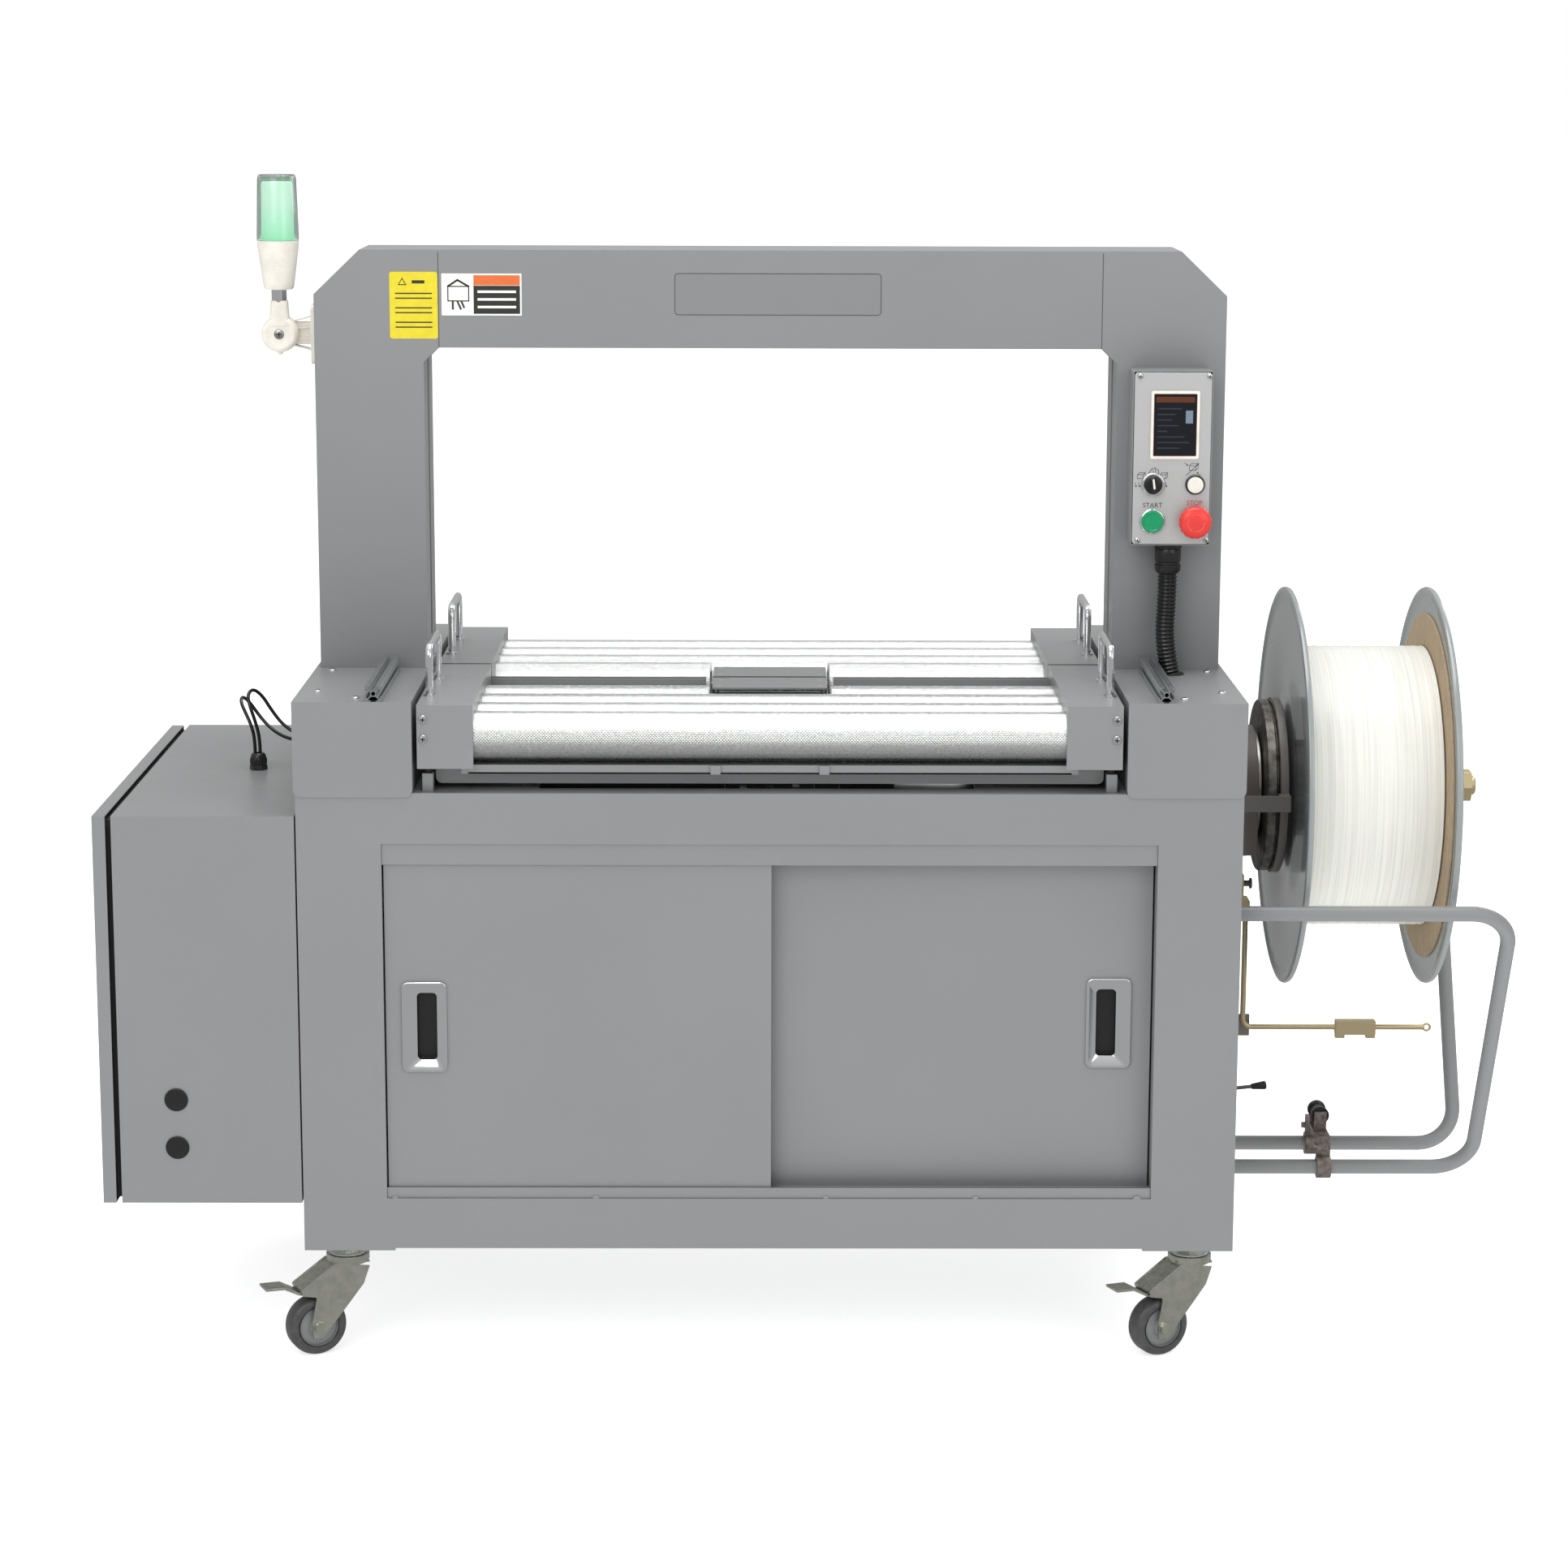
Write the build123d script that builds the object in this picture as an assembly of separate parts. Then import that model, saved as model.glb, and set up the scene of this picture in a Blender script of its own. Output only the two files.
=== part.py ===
from build123d import *
import math
import os

# Roller-table arch strapping machine.  Millimetres, +Z up, +X to the operator's right, front faces -Y.
# Modelled about the middle of the base in X and the strap plane in Y, with the floor at z = 0,
# then shifted so that the origin is the middle of the whole machine's footprint.

# ---------------------------------------------------------------- driving dimensions
FIT = 0.05                 # radial running clearance of a shaft in its bore
GAP = 0.3                  # clearance between curved faces of pieces that move apart
SHEET = 2.0                # cabinet sheet thickness
COVER_T = 1.5              # thinner sheet of covers and boxes

# base cabinet
BASE_W = 1150.0
BASE_D = 640.0
BASE_H = 574.0
CORNER_PLATE = 112.0
CORNER_PLATE_T = 3.0
STILE_W = 103.0            # front frame beside the door opening
RAIL_BOTTOM_H = 64.0
RAIL_TOP_H = 63.0
RETURN_D = 50.0            # folded return round the door opening
DECK_OPEN_X = (-282.0, 250.0)
DECK_OPEN_INSET = 34.0     # deck left in front of and behind its opening
CROSS_BEAM = 40.0
CROSS_BEAM_Y = 100.0

# sliding doors
TRACK_HOOD = 26.0          # height of the strip that hides the door tops
TRACK_LEDGE = 13.5
DOOR_T = 18.0
DOOR_GAP = 5.0             # between the two door planes
DOOR_EDGE = 2.0            # door edge short of the opening
DOOR_LAP = 20.0            # how far the rear door runs behind the front one
DOOR_TRAVEL = 440.0
PULL_W = 56.0
PULL_H = 114.0
PULL_SLOT_W = 24.0
PULL_SLOT_H = 84.0
PULL_DEPTH = 14.0
PULL_EDGE = 19.0           # from the door's outer edge to the pull
PULL_Z = 432.0

# shoulder covers
SHOULDER_W = 144.4
SHOULDER_H = 112.0         # above the deck
SHOULDER_LIP = 5.0         # lap over the base front
RAIL_SIZE = 20.0           # T-slot rails on the shoulders
RAIL_LEN = 240.0
RAIL_INSET = 45.4          # rail centre from the shoulder's inner face
RAIL_BORE_R = 2.5

# arch
COLUMN_W = 136.5
COLUMN_D = 120.0
COLUMN_INSET = 4.0         # column's outer face from the base side
ARCH_RISE = 527.5          # above the shoulder covers
BEAM_H = 121.8
ARCH_CHAMFER_X = 58.0
ARCH_CHAMFER_Z = 55.5
INNER_CHAMFER = 18.0
CORNER_REACH = 19.5        # corner plate past the column's inner face
STRAP_SLOT = 20.0
TRACK_W = 16.0             # strap track across the strap plane
TRACK_T = 14.0
TRACK_GROOVE_W = 10.0
TRACK_GROOVE_D = 6.0
TRACK_R = 50.0
TRACK_NECK = 6.8           # strap track's width where it passes between the table halves

# sealing head and its drive, under the strap slot
HEAD_RISE = 419.0          # its foot above the base floor
HEAD_X = 68.0              # half its length along the strap
HEAD_Y = 56.0
HEAD_OVER = 6.0            # anvil above the roller axes
SEAL_CAM_R = 22.0
CAM_SHAFT_R = 10.0
CAM_PITCH = 34.0
CAM_SHAFT_RISE = 85.0      # cam shaft above the foot
SEAL_MOTOR_R = 42.0

# strap feed
FEED_WHEEL_R = 36.0
DRIVE_WHEEL_R = 30.0
FEED_MOTOR_R = 48.0
POOL_T = 32.0              # slack-strap box across the strap plane
POOL_WALL = 4.0

# roller tables
TABLE_SIDE_GAP = 6.0       # cover to shoulder
TABLE_DROP = 4.0           # cover top below the shoulder top
TABLE_MID_GAP = 5.0        # each half's inner edge from the strap plane
COVER_W = 68.0
COVER_H = 78.0
ROLLER_D = 60.0
ROLLER_WALL = 2.5
ROLLER_CAP = 8.0
ROLLER_VENT_R = 1.5
ROLLER_PITCH = 65.0
ROLLER_COUNT = 4
ROLLER_SINK = 13.0         # roller tops below the cover tops
FRONT_ROLLER_IN = 2.0      # front roller's face behind the cover's front
ROLLER_END = 2.5           # roller past the cover's inner wall
SHORT_ROLLER_GAP = 152.0   # centre gap of the split roller over the sealing head
JOURNAL_R = 6.0
BEARING_R = 12.0
BEARING_W = 8.0
SIDE_PLATE_T = 8.0
SPROCKET_R = 24.0
SPROCKET_W = 10.0
BELT_T = 3.0
HINGE_IN = 12.0            # lift hinge from the strap plane
HINGE_DROP = 7.0           # lift hinge below the cover tops
HINGE_PIN_R = 4.0
HANDLE_R = 4.75
HANDLE_H = 66.0
HANDLE_SPAN = 120.0
HANDLE_Y = 192.0           # handle's middle from the strap plane, front table
HANDLE_Y_REAR = 142.0
HANDLE_IN = 10.5           # handle from the cover's outer side
TRAY_H = 17.0
TRAY_IN = 30.0
BUMPER_R = 5.0
BUMPER_IN = 11.5           # rubber bumper from the cover's outer side
BUMPER_DROP = 8.0          # bumper's foot below the covers
BUMPER_BACK = 22.0         # bumper from the front edge

# electrical cabinet on the left
CAB_W = 222.0
CAB_BOTTOM = 209.0
CAB_TOP = 696.0
CAB_GAP = 2.0              # spacer between cabinet and base
CAB_DOOR_T = 16.0
CAB_SEAL = 7.0             # gap that the door seal fills
PLUG_R = 14.5
GLAND_R = 11.0
GLAND_H = 22.0
GLAND_FROM_BASE = 83.0     # gland's middle from the cabinet's inner side
GLAND_Y = -10.0
INLET_R = 10.0
CABLE_R = 2.25
CABLE_HOLE_R = 8.0
CABLE_HOLE_RISE = 9.5      # cable hole above the deck

# control box on the right column
BOX_W = 100.0
BOX_H = 218.0
BOX_D = 50.0
BOX_FROM_OUTER = 20.5      # from the column's outer face
BOX_BOTTOM = 1002.0
PANEL_T = 2.0
PANEL_MARGIN = 2.0
SCREEN_W = 52.0
SCREEN_H = 76.0
BEZEL = 4.2
SELECTOR_R = 11.0
BUTTON_R = 10.0
START_R = 14.0
ESTOP_R = 20.5
COLLAR_T = 4.0
BUTTON_TRAVEL = 3.0
ESTOP_TRAVEL = 4.0
BUTTON_STEM_R = 7.0
CONDUIT_D = 25.0
CONDUIT_IN = 50.5          # conduit's middle from the control box's left side
CONDUIT_BACK = 25.0        # and behind its open front
CONNECTOR_L = 33.0
CONDUIT_SWAY_X = 4.0       # where it enters the shoulder, from where it leaves the box
CONDUIT_SWAY_Y = -12.0

# signal tower on the left column
TOWER_OUT = 49.0           # knuckle centre from the column's outer face
TOWER_Z = 1256.0
KNUCKLE_R = 23.0
KNUCKLE_T = 19.8
TOWER_TUBE_R = 10.0
TOWER_NECK_H = 42.0
TOWER_TUBE_H = 14.0
TOWER_HOUSING_H = 61.0
TOWER_LENS_H = 82.0
TOWER_R = 26.5

# strap reel on the right
REEL_Z = 676.0
REEL_IN = 92.0             # left flange from the base side
REEL_OUT = 275.0           # right flange from the base side
FLANGE_R = 257.0
FLANGE_T = 2.0
RIM_R = 4.0
COIL_R = 181.0
CORE_R = 100.0
CORE_T = 3.0
CARD_R = 223.0
CARD_T = 3.0
SPINDLE_R = 12.5
SPINDLE_END = 320.0        # nut end from the base side
BRAKE_R = 111.0
BRAKE_X = 57.0             # drum's left face from the base side
BRAKE_T = 28.0
HOUSING_R = 78.0
HOUSING_L = 36.0

# guard loops, brake lever and strap guide on the right
GUARD_R = 9.5
GUARD_OUT = 342.0
GUARD_BEND = 50.0
GUARD_LOW_Y = 55.0
GUARD_LOW_Z = 178.0
GUARD_HIGH_Y = 266.0
GUARD_HIGH_Z = 565.0
LEVER_R = 3.5
LEVER_X = 47.0             # lever's upright from the base side
LEVER_LEN = 239.0
LEVER_Z = 352.0
LEVER_PIVOT_Z = 545.0
SIDE_LEVER_IN = 15.0       # its pivot inside the base side
SIDE_LEVER_Z = 263.0
SIDE_LEVER_LEN = 96.0
GUIDE_X = 150.0            # strap guide from the base side
SPOOL_R = 12.0
SPOOL_LEN = 34.0
SPOOL_RISE = 58.0          # spool above the lower guard tubes

# casters
CASTER_H = 148.0
WHEEL_R = 37.5
WHEEL_W = 30.0
TRAIL = 44.0
AXLE_R = 5.0
STEM_INSET_X = 46.0        # stem from the base side
STEM_INSET_Y = 64.0        # stem from the base front or back
CASTER_TURN = 25.0         # how far the casters are swivelled from straight left
STEM_R = 8.0
PEDAL_REACH = 112.0
PEDAL_W = 28.0
PEDAL_PIN_R = 3.0
PEDAL_BACK = 2.0           # pedal pivot short of the axle
PEDAL_RISE = 51.0          # pedal pivot above the axle

# ---------------------------------------------------------------- places that follow from them
HALF_W = BASE_W / 2
HALF_D = BASE_D / 2
BASE_Z = CASTER_H + CORNER_PLATE_T
DECK_Z = BASE_Z + BASE_H
OPEN_X = HALF_W - STILE_W
OPEN_Z0 = BASE_Z + RAIL_BOTTOM_H
OPEN_Z1 = DECK_Z - RAIL_TOP_H
SHOULDER_Z = DECK_Z + SHOULDER_H
SHOULDER_OUT = HALF_W + SHEET
SHOULDER_IN = SHOULDER_OUT - SHOULDER_W
SHOULDER_Y = HALF_D + SHEET
COLUMN_OUT = HALF_W - COLUMN_INSET
COLUMN_IN = COLUMN_OUT - COLUMN_W
COLUMN_Y = COLUMN_D / 2
ARCH_TOP = SHOULDER_Z + ARCH_RISE
BEAM_Z = ARCH_TOP - BEAM_H
BEAM_X = COLUMN_IN - CORNER_REACH
TABLE_TOP = SHOULDER_Z - TABLE_DROP
TABLE_X1 = SHOULDER_IN - TABLE_SIDE_GAP
TABLE_X0 = TABLE_X1 - COVER_W
ROLLER_Z = TABLE_TOP - ROLLER_SINK - ROLLER_D / 2
ROLLER_X = TABLE_X0 + ROLLER_END
ROLLER_Y = [HALF_D - FRONT_ROLLER_IN - ROLLER_D / 2 - ROLLER_PITCH * n for n in range(ROLLER_COUNT)]
SIDE_PLATE_X = TABLE_X0 + COVER_T + 6.0
SPROCKET_X = SIDE_PLATE_X + SIDE_PLATE_T + 6.0
HINGE_Z = TABLE_TOP - HINGE_DROP
HANDLE_X = TABLE_X1 - HANDLE_IN
CAB_X1 = -HALF_W - CAB_GAP
CAB_X0 = CAB_X1 - CAB_W
CAB_DOOR_X1 = CAB_X0 - CAB_SEAL
CAB_DOOR_X0 = CAB_DOOR_X1 - CAB_DOOR_T
CAB_HINGE_X = CAB_X0 - CAB_SEAL / 2
CAB_HINGE_Y = HALF_D - 4.0
BOX_X1 = COLUMN_OUT - BOX_FROM_OUTER
BOX_X0 = BOX_X1 - BOX_W
BOX_Y0 = -COLUMN_Y - BOX_D
PANEL_Y = BOX_Y0 - PANEL_T
BOX_TOP = BOX_BOTTOM + BOX_H
CONTROL_X = (BOX_X0 + 27.0, BOX_X0 + 79.5)
SELECTOR_Z = BOX_BOTTOM + 76.5
START_Z = BOX_BOTTOM + 30.8
SCREEN_X = BOX_X0 + 53.0
SCREEN_Z = BOX_BOTTOM + 151.0
TOWER_X = -COLUMN_OUT - TOWER_OUT
REEL_X0 = HALF_W + REEL_IN
REEL_X1 = HALF_W + REEL_OUT
GUARD_X = HALF_W + GUARD_OUT
STEM_X = HALF_W - STEM_INSET_X
STEM_Y = HALF_D - STEM_INSET_Y
DOOR_Z0 = OPEN_Z0 + 4.5
DOOR_Z1 = OPEN_Z1 - 6.0
DOOR_Y = -HALF_D + 5.5                      # front face of the front door
DOOR_REAR_Y = DOOR_Y + DOOR_T + DOOR_GAP    # front face of the rear door
HEAD_Z0 = BASE_Z + HEAD_RISE
HEAD_TOP = ROLLER_Z + HEAD_OVER
CAM_SHAFT_Z = HEAD_Z0 + CAM_SHAFT_RISE
BUMPER_Z = TABLE_TOP - COVER_H - BUMPER_DROP
CABLE_HOLE_Z = DECK_Z + CABLE_HOLE_RISE
GLAND_X = CAB_X1 - GLAND_FROM_BASE
CONDUIT_TOP_X = BOX_X0 + CONDUIT_IN
CONDUIT_TOP_Y = BOX_Y0 + CONDUIT_BACK
CONNECTOR_Z = BOX_BOTTOM - CONNECTOR_L
CONDUIT_HOLE_X = CONDUIT_TOP_X + CONDUIT_SWAY_X
CONDUIT_HOLE_Y = CONDUIT_TOP_Y + CONDUIT_SWAY_Y
SPOOL_Z = GUARD_LOW_Z + SPOOL_RISE
PEDAL_PIVOT = (TRAIL - PEDAL_BACK, WHEEL_R + PEDAL_RISE)
PEDAL_HALF = PEDAL_W / 2

# origin: middle of the footprint of the whole machine
X_LOW = CAB_DOOR_X0
X_HIGH = GUARD_X + GUARD_R
X_SHIFT = -(X_LOW + X_HIGH) / 2


# ---------------------------------------------------------------- helpers
def block(x0, x1, y0, y1, z0, z1):
    return Pos((x0 + x1) / 2, (y0 + y1) / 2, (z0 + z1) / 2) * Box(x1 - x0, y1 - y0, z1 - z0)


def rod_x(r, x0, x1, y, z):
    return Pos((x0 + x1) / 2, y, z) * Rot(0, 90, 0) * Cylinder(r, x1 - x0)


def rod_y(r, y0, y1, x, z):
    return Pos(x, (y0 + y1) / 2, z) * Rot(90, 0, 0) * Cylinder(r, y1 - y0)


def rod_z(r, z0, z1, x, y):
    return Pos(x, y, (z0 + z1) / 2) * Cylinder(r, z1 - z0)


def prism_xz(points, y0, y1):
    face = Plane.XZ.offset(-y1) * Polygon(*points, align=None)
    return extrude(face, amount=y1 - y0)


def prism_yz(points, x0, x1):
    face = Plane.YZ.offset(x0) * Polygon(*points, align=None)
    return extrude(face, amount=x1 - x0)


def prism_xy(points, z0, z1):
    face = Plane.XY.offset(z0) * Polygon(*points, align=None)
    return extrude(face, amount=z1 - z0)


def plate_xz(w, h, r, x, z, y0, y1):
    face = Plane.XZ.offset(-y1) * Pos(x, z) * RectangleRounded(w, h, r)
    return extrude(face, amount=y1 - y0)


def shell_box(x0, x1, y0, y1, z0, z1, t):
    return block(x0, x1, y0, y1, z0, z1) - block(x0 + t, x1 - t, y0 + t, y1 - t, z0 + t, z1 - t)


def tube(points, radii, r, bore=0.0):
    path = FilletPolyline(*points, radius=radii)
    start = Plane(origin=path @ 0, z_dir=path % 0)
    profile = start * Circle(r)
    if bore:
        profile = profile - start * Circle(bore)
    return sweep(profile, path=path)


def ring_x(r, bore, x0, x1, y, z):
    return rod_x(r, x0, x1, y, z) - rod_x(bore, x0 - 1, x1 + 1, y, z)


def ring_y(r, bore, y0, y1, x, z):
    return rod_y(r, y0, y1, x, z) - rod_y(bore, y0 - 1, y1 + 1, x, z)


def flip_x(shape):
    return mirror(shape, about=Plane.YZ)


def flip_y(shape):
    return mirror(shape, about=Plane.XZ)


def both_sides(shape):
    return [shape, flip_x(shape)]


def screw_head(x, y, z, normal, r=5.0, h=2.4):
    # a low domed screw head whose flat side lies on the face at (x, y, z)
    head = Cylinder(r, h, align=(Align.CENTER, Align.CENTER, Align.MIN))
    head = fillet(head.edges().sort_by(Axis.Z)[-1], h * 0.6)
    head -= Pos(0, 0, h) * Box(r, 1.2, 1.2)
    head -= Pos(0, 0, h) * Box(1.2, r, 1.2)
    place = Plane(origin=(x, y, z), z_dir=normal)
    return place * head


def save(name, *pieces):
    solids = []
    for piece in pieces:
        for solid in piece.solids():
            solids.append(Pos(X_SHIFT, 0, 0) * solid)
    export_step(Compound(children=solids), "parts/" + name + ".step")


# ---------------------------------------------------------------- base
def opening_frame(y0, y1):
    ring = block(-HALF_W, HALF_W, y0, y1, BASE_Z, DECK_Z)
    return ring - block(-OPEN_X, OPEN_X, y0 - 1, y1 + 1, OPEN_Z0, OPEN_Z1)


def base_frame():
    front = opening_frame(-HALF_D, -HALF_D + SHEET)
    sleeve = block(-OPEN_X - SHEET, OPEN_X + SHEET, -HALF_D + SHEET, -HALF_D + SHEET + RETURN_D,
                   OPEN_Z0 - SHEET, OPEN_Z1 + SHEET)
    front += sleeve - block(-OPEN_X, OPEN_X, -HALF_D, 0, OPEN_Z0, OPEN_Z1)
    back = opening_frame(HALF_D - SHEET, HALF_D)
    side = block(HALF_W - SHEET, HALF_W, -HALF_D + SHEET, HALF_D - SHEET, BASE_Z, DECK_Z)
    left = flip_x(side)
    side -= rod_x(SPINDLE_R + 5, HALF_W - 5, HALF_W + 1, 0, REEL_Z)
    side -= block(HALF_W - 5, HALF_W + 1, -5, 5, SIDE_LEVER_Z - 10, SIDE_LEVER_Z + 14)
    floor = block(-HALF_W + SHEET, HALF_W - SHEET, -HALF_D + SHEET, HALF_D - SHEET, BASE_Z, BASE_Z + 3)
    beams = []
    for y in (-CROSS_BEAM_Y, CROSS_BEAM_Y):
        beam = block(-HALF_W + SHEET, HALF_W - SHEET, y - CROSS_BEAM / 2, y + CROSS_BEAM / 2,
                     HEAD_Z0 - CROSS_BEAM, HEAD_Z0)
        hollow = block(-HALF_W, HALF_W, y - CROSS_BEAM / 2 + 3, y + CROSS_BEAM / 2 - 3,
                       HEAD_Z0 - CROSS_BEAM + 3, HEAD_Z0 - 3)
        beams.append(beam - hollow)
    plates = []
    for sx in (-1, 1):
        for sy in (-1, 1):
            cx = sx * (HALF_W - CORNER_PLATE / 2)
            cy = sy * (HALF_D - CORNER_PLATE / 2)
            plates.append(Pos(cx, cy, CASTER_H + CORNER_PLATE_T / 2)
                          * Box(CORNER_PLATE, CORNER_PLATE, CORNER_PLATE_T))
    panel_x = OPEN_X + 18
    rear_panel = block(-panel_x, panel_x, HALF_D, HALF_D + COVER_T, OPEN_Z0 - 15, OPEN_Z1 + 15)
    for row in range(8):
        z = OPEN_Z1 - 60 - row * 14
        rear_panel -= block(-120, 120, HALF_D - 1, HALF_D + 5, z, z + 4)
    save("base_frame", front, back, side, left, floor, *beams, *plates, rear_panel)


def deck_plate():
    deck = block(-HALF_W + SHEET, HALF_W - SHEET, -HALF_D + SHEET, HALF_D - SHEET, DECK_Z - 3, DECK_Z)
    inset = HALF_D - DECK_OPEN_INSET
    deck -= block(DECK_OPEN_X[0], DECK_OPEN_X[1], -inset, inset, DECK_Z - 5, DECK_Z + 1)
    for x in (-COLUMN_IN - COLUMN_W / 2, COLUMN_IN + COLUMN_W / 2):
        deck -= rod_z(30, DECK_Z - 5, DECK_Z + 1, x, 0)
    blocks = []
    for sx in (-1, 1):
        for sy in (-1, 1):
            x = sx * (TABLE_X1 - BUMPER_IN)
            y = sy * (HALF_D - BUMPER_BACK)
            pad = block(x - 6.5, x + 6.5, y - 9, y + 9, DECK_Z, BUMPER_Z)
            blocks.append(pad)
            hinge_x0 = TABLE_X1 + 1.2
            y0, y1 = sorted((sy * (HINGE_IN - 6), sy * (HINGE_IN + 12)))
            bracket = block(hinge_x0, hinge_x0 + 3.6, y0, y1, DECK_Z, HINGE_Z + 6)
            pin = rod_x(HINGE_PIN_R, TABLE_X1 - 14, hinge_x0, sy * HINGE_IN, HINGE_Z)
            hinge = bracket + pin
            blocks.append(hinge if sx > 0 else flip_x(hinge))
    save("deck_plate", deck, *blocks)


def door_tracks():
    y0 = -HALF_D + SHEET
    fins = (y0, DOOR_Y + DOOR_T + DOOR_GAP / 2 - 1, DOOR_REAR_Y + DOOR_T + 1.5)
    hood = block(-OPEN_X, OPEN_X, y0, fins[2] + COVER_T, OPEN_Z1 - 3, OPEN_Z1)
    ledge = block(-OPEN_X, OPEN_X, y0, fins[2] + COVER_T, OPEN_Z0, OPEN_Z0 + 2)
    for n, y in enumerate(fins):
        drop = TRACK_HOOD if n == 0 else 18.0
        lift = TRACK_LEDGE if n == 0 else 9.0
        hood += block(-OPEN_X, OPEN_X, y, y + COVER_T, OPEN_Z1 - drop, OPEN_Z1 - 1)
        ledge += block(-OPEN_X, OPEN_X, y, y + COVER_T, OPEN_Z0 + 1, OPEN_Z0 + lift)
    save("door_tracks", hood, ledge)


def door(x0, x1, y, pull_x):
    skin = block(x0, x1, y, y + DOOR_T, DOOR_Z0, DOOR_Z1)
    pan = skin - block(x0 + COVER_T, x1 - COVER_T, y + COVER_T, y + DOOR_T + 1, DOOR_Z0 + COVER_T,
                       DOOR_Z1 - COVER_T)
    body_w = PULL_W - 10
    body_h = PULL_H - 14
    pan -= plate_xz(body_w + 0.4, body_h + 0.4, 5, pull_x, PULL_Z, y - 1, y + 5)
    pull = plate_xz(PULL_W, PULL_H, 7, pull_x, PULL_Z, y - 2, y)
    pull += plate_xz(body_w, body_h, 5, pull_x, PULL_Z, y, y + PULL_DEPTH)
    pull -= plate_xz(PULL_SLOT_W, PULL_SLOT_H, 5, pull_x, PULL_Z, y - 3, y + PULL_DEPTH - 1.5)
    return pan, pull


def doors():
    outer = OPEN_X - DOOR_EDGE
    left = door(-outer, DOOR_EDGE, DOOR_Y, -outer + PULL_EDGE + PULL_W / 2)
    right = door(-DOOR_LAP, outer, DOOR_REAR_Y, outer - PULL_EDGE - PULL_W / 2 - 5)
    save("door_left", *left)
    save("door_right", *right)


# ---------------------------------------------------------------- shoulders and rails
def shoulder_cover():
    cover = block(SHOULDER_IN, SHOULDER_OUT, -SHOULDER_Y, SHOULDER_Y, DECK_Z - SHOULDER_LIP, SHOULDER_Z)
    cover = fillet(cover.edges().filter_by(Axis.Y).group_by(Axis.Z)[0], 10)
    cover -= block(SHOULDER_IN + COVER_T, SHOULDER_OUT - COVER_T, -SHOULDER_Y + COVER_T,
                   SHOULDER_Y - COVER_T, DECK_Z - 9, SHOULDER_Z - COVER_T)
    cover -= block(SHOULDER_IN - 1, HALF_W + 0.2, -HALF_D - 0.2, HALF_D + 0.2, DECK_Z - 9, DECK_Z + 0.3)
    cover -= block(HALF_W - 1, SHOULDER_OUT + 1, -SHOULDER_Y + COVER_T, SHOULDER_Y - COVER_T,
                   DECK_Z - 9, DECK_Z + 0.3)
    cover -= block(COLUMN_IN - 0.2, COLUMN_OUT + 0.3, -COLUMN_Y - 0.3, COLUMN_Y + 0.3,
                   SHOULDER_Z - 5, SHOULDER_Z + 1)
    return cover


def shoulder_covers():
    right = shoulder_cover()
    half = STRAP_SLOT / 2
    right -= block(SHOULDER_IN - 1, SHOULDER_IN + COVER_T + 0.2, -half, half, ROLLER_Z - 8, SHOULDER_Z + 1)
    left = flip_x(right)
    right -= rod_z(CONDUIT_D / 2 + 3.5, SHOULDER_Z - 5, SHOULDER_Z + 1, CONDUIT_HOLE_X,
                   CONDUIT_HOLE_Y)
    left -= rod_x(CABLE_HOLE_R, -SHOULDER_OUT - 1, -SHOULDER_OUT + 3, 0, CABLE_HOLE_Z)
    save("shoulder_covers", right, left)


def t_slot_rail():
    h = RAIL_SIZE / 2
    face = RectangleRounded(RAIL_SIZE, RAIL_SIZE, 1.2)
    slot = Polygon((-3.1, h + 1), (-3.1, h - 1.8), (-5.6, h - 1.8), (-5.6, h - 3.4), (-2.7, h - 6.2),
                   (2.7, h - 6.2), (5.6, h - 3.4), (5.6, h - 1.8), (3.1, h - 1.8), (3.1, h + 1),
                   align=None)
    for turn in range(4):
        face -= Rot(0, 0, 90 * turn) * slot
    face -= Circle(RAIL_BORE_R)
    x = SHOULDER_IN + RAIL_INSET
    place = Plane(origin=(x, -HALF_D, SHOULDER_Z + h), x_dir=(1, 0, 0), z_dir=(0, 1, 0))
    return extrude(place * face, amount=RAIL_LEN)


# ---------------------------------------------------------------- arch
def column_outline(t):
    # outline of the right column with its corner piece, drawn in by t
    k = t * 0.42
    return [(COLUMN_IN + t, SHOULDER_Z - SHOULDER_H + t),
            (COLUMN_OUT - t, SHOULDER_Z - SHOULDER_H + t),
            (COLUMN_OUT - t, ARCH_TOP - ARCH_CHAMFER_Z - k),
            (COLUMN_OUT - ARCH_CHAMFER_X - k, ARCH_TOP - t),
            (BEAM_X + t, ARCH_TOP - t),
            (BEAM_X + t, BEAM_Z + t),
            (BEAM_X + (COLUMN_IN - INNER_CHAMFER - BEAM_X) + k, BEAM_Z + t),
            (COLUMN_IN + t, BEAM_Z - INNER_CHAMFER + k)]


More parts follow.
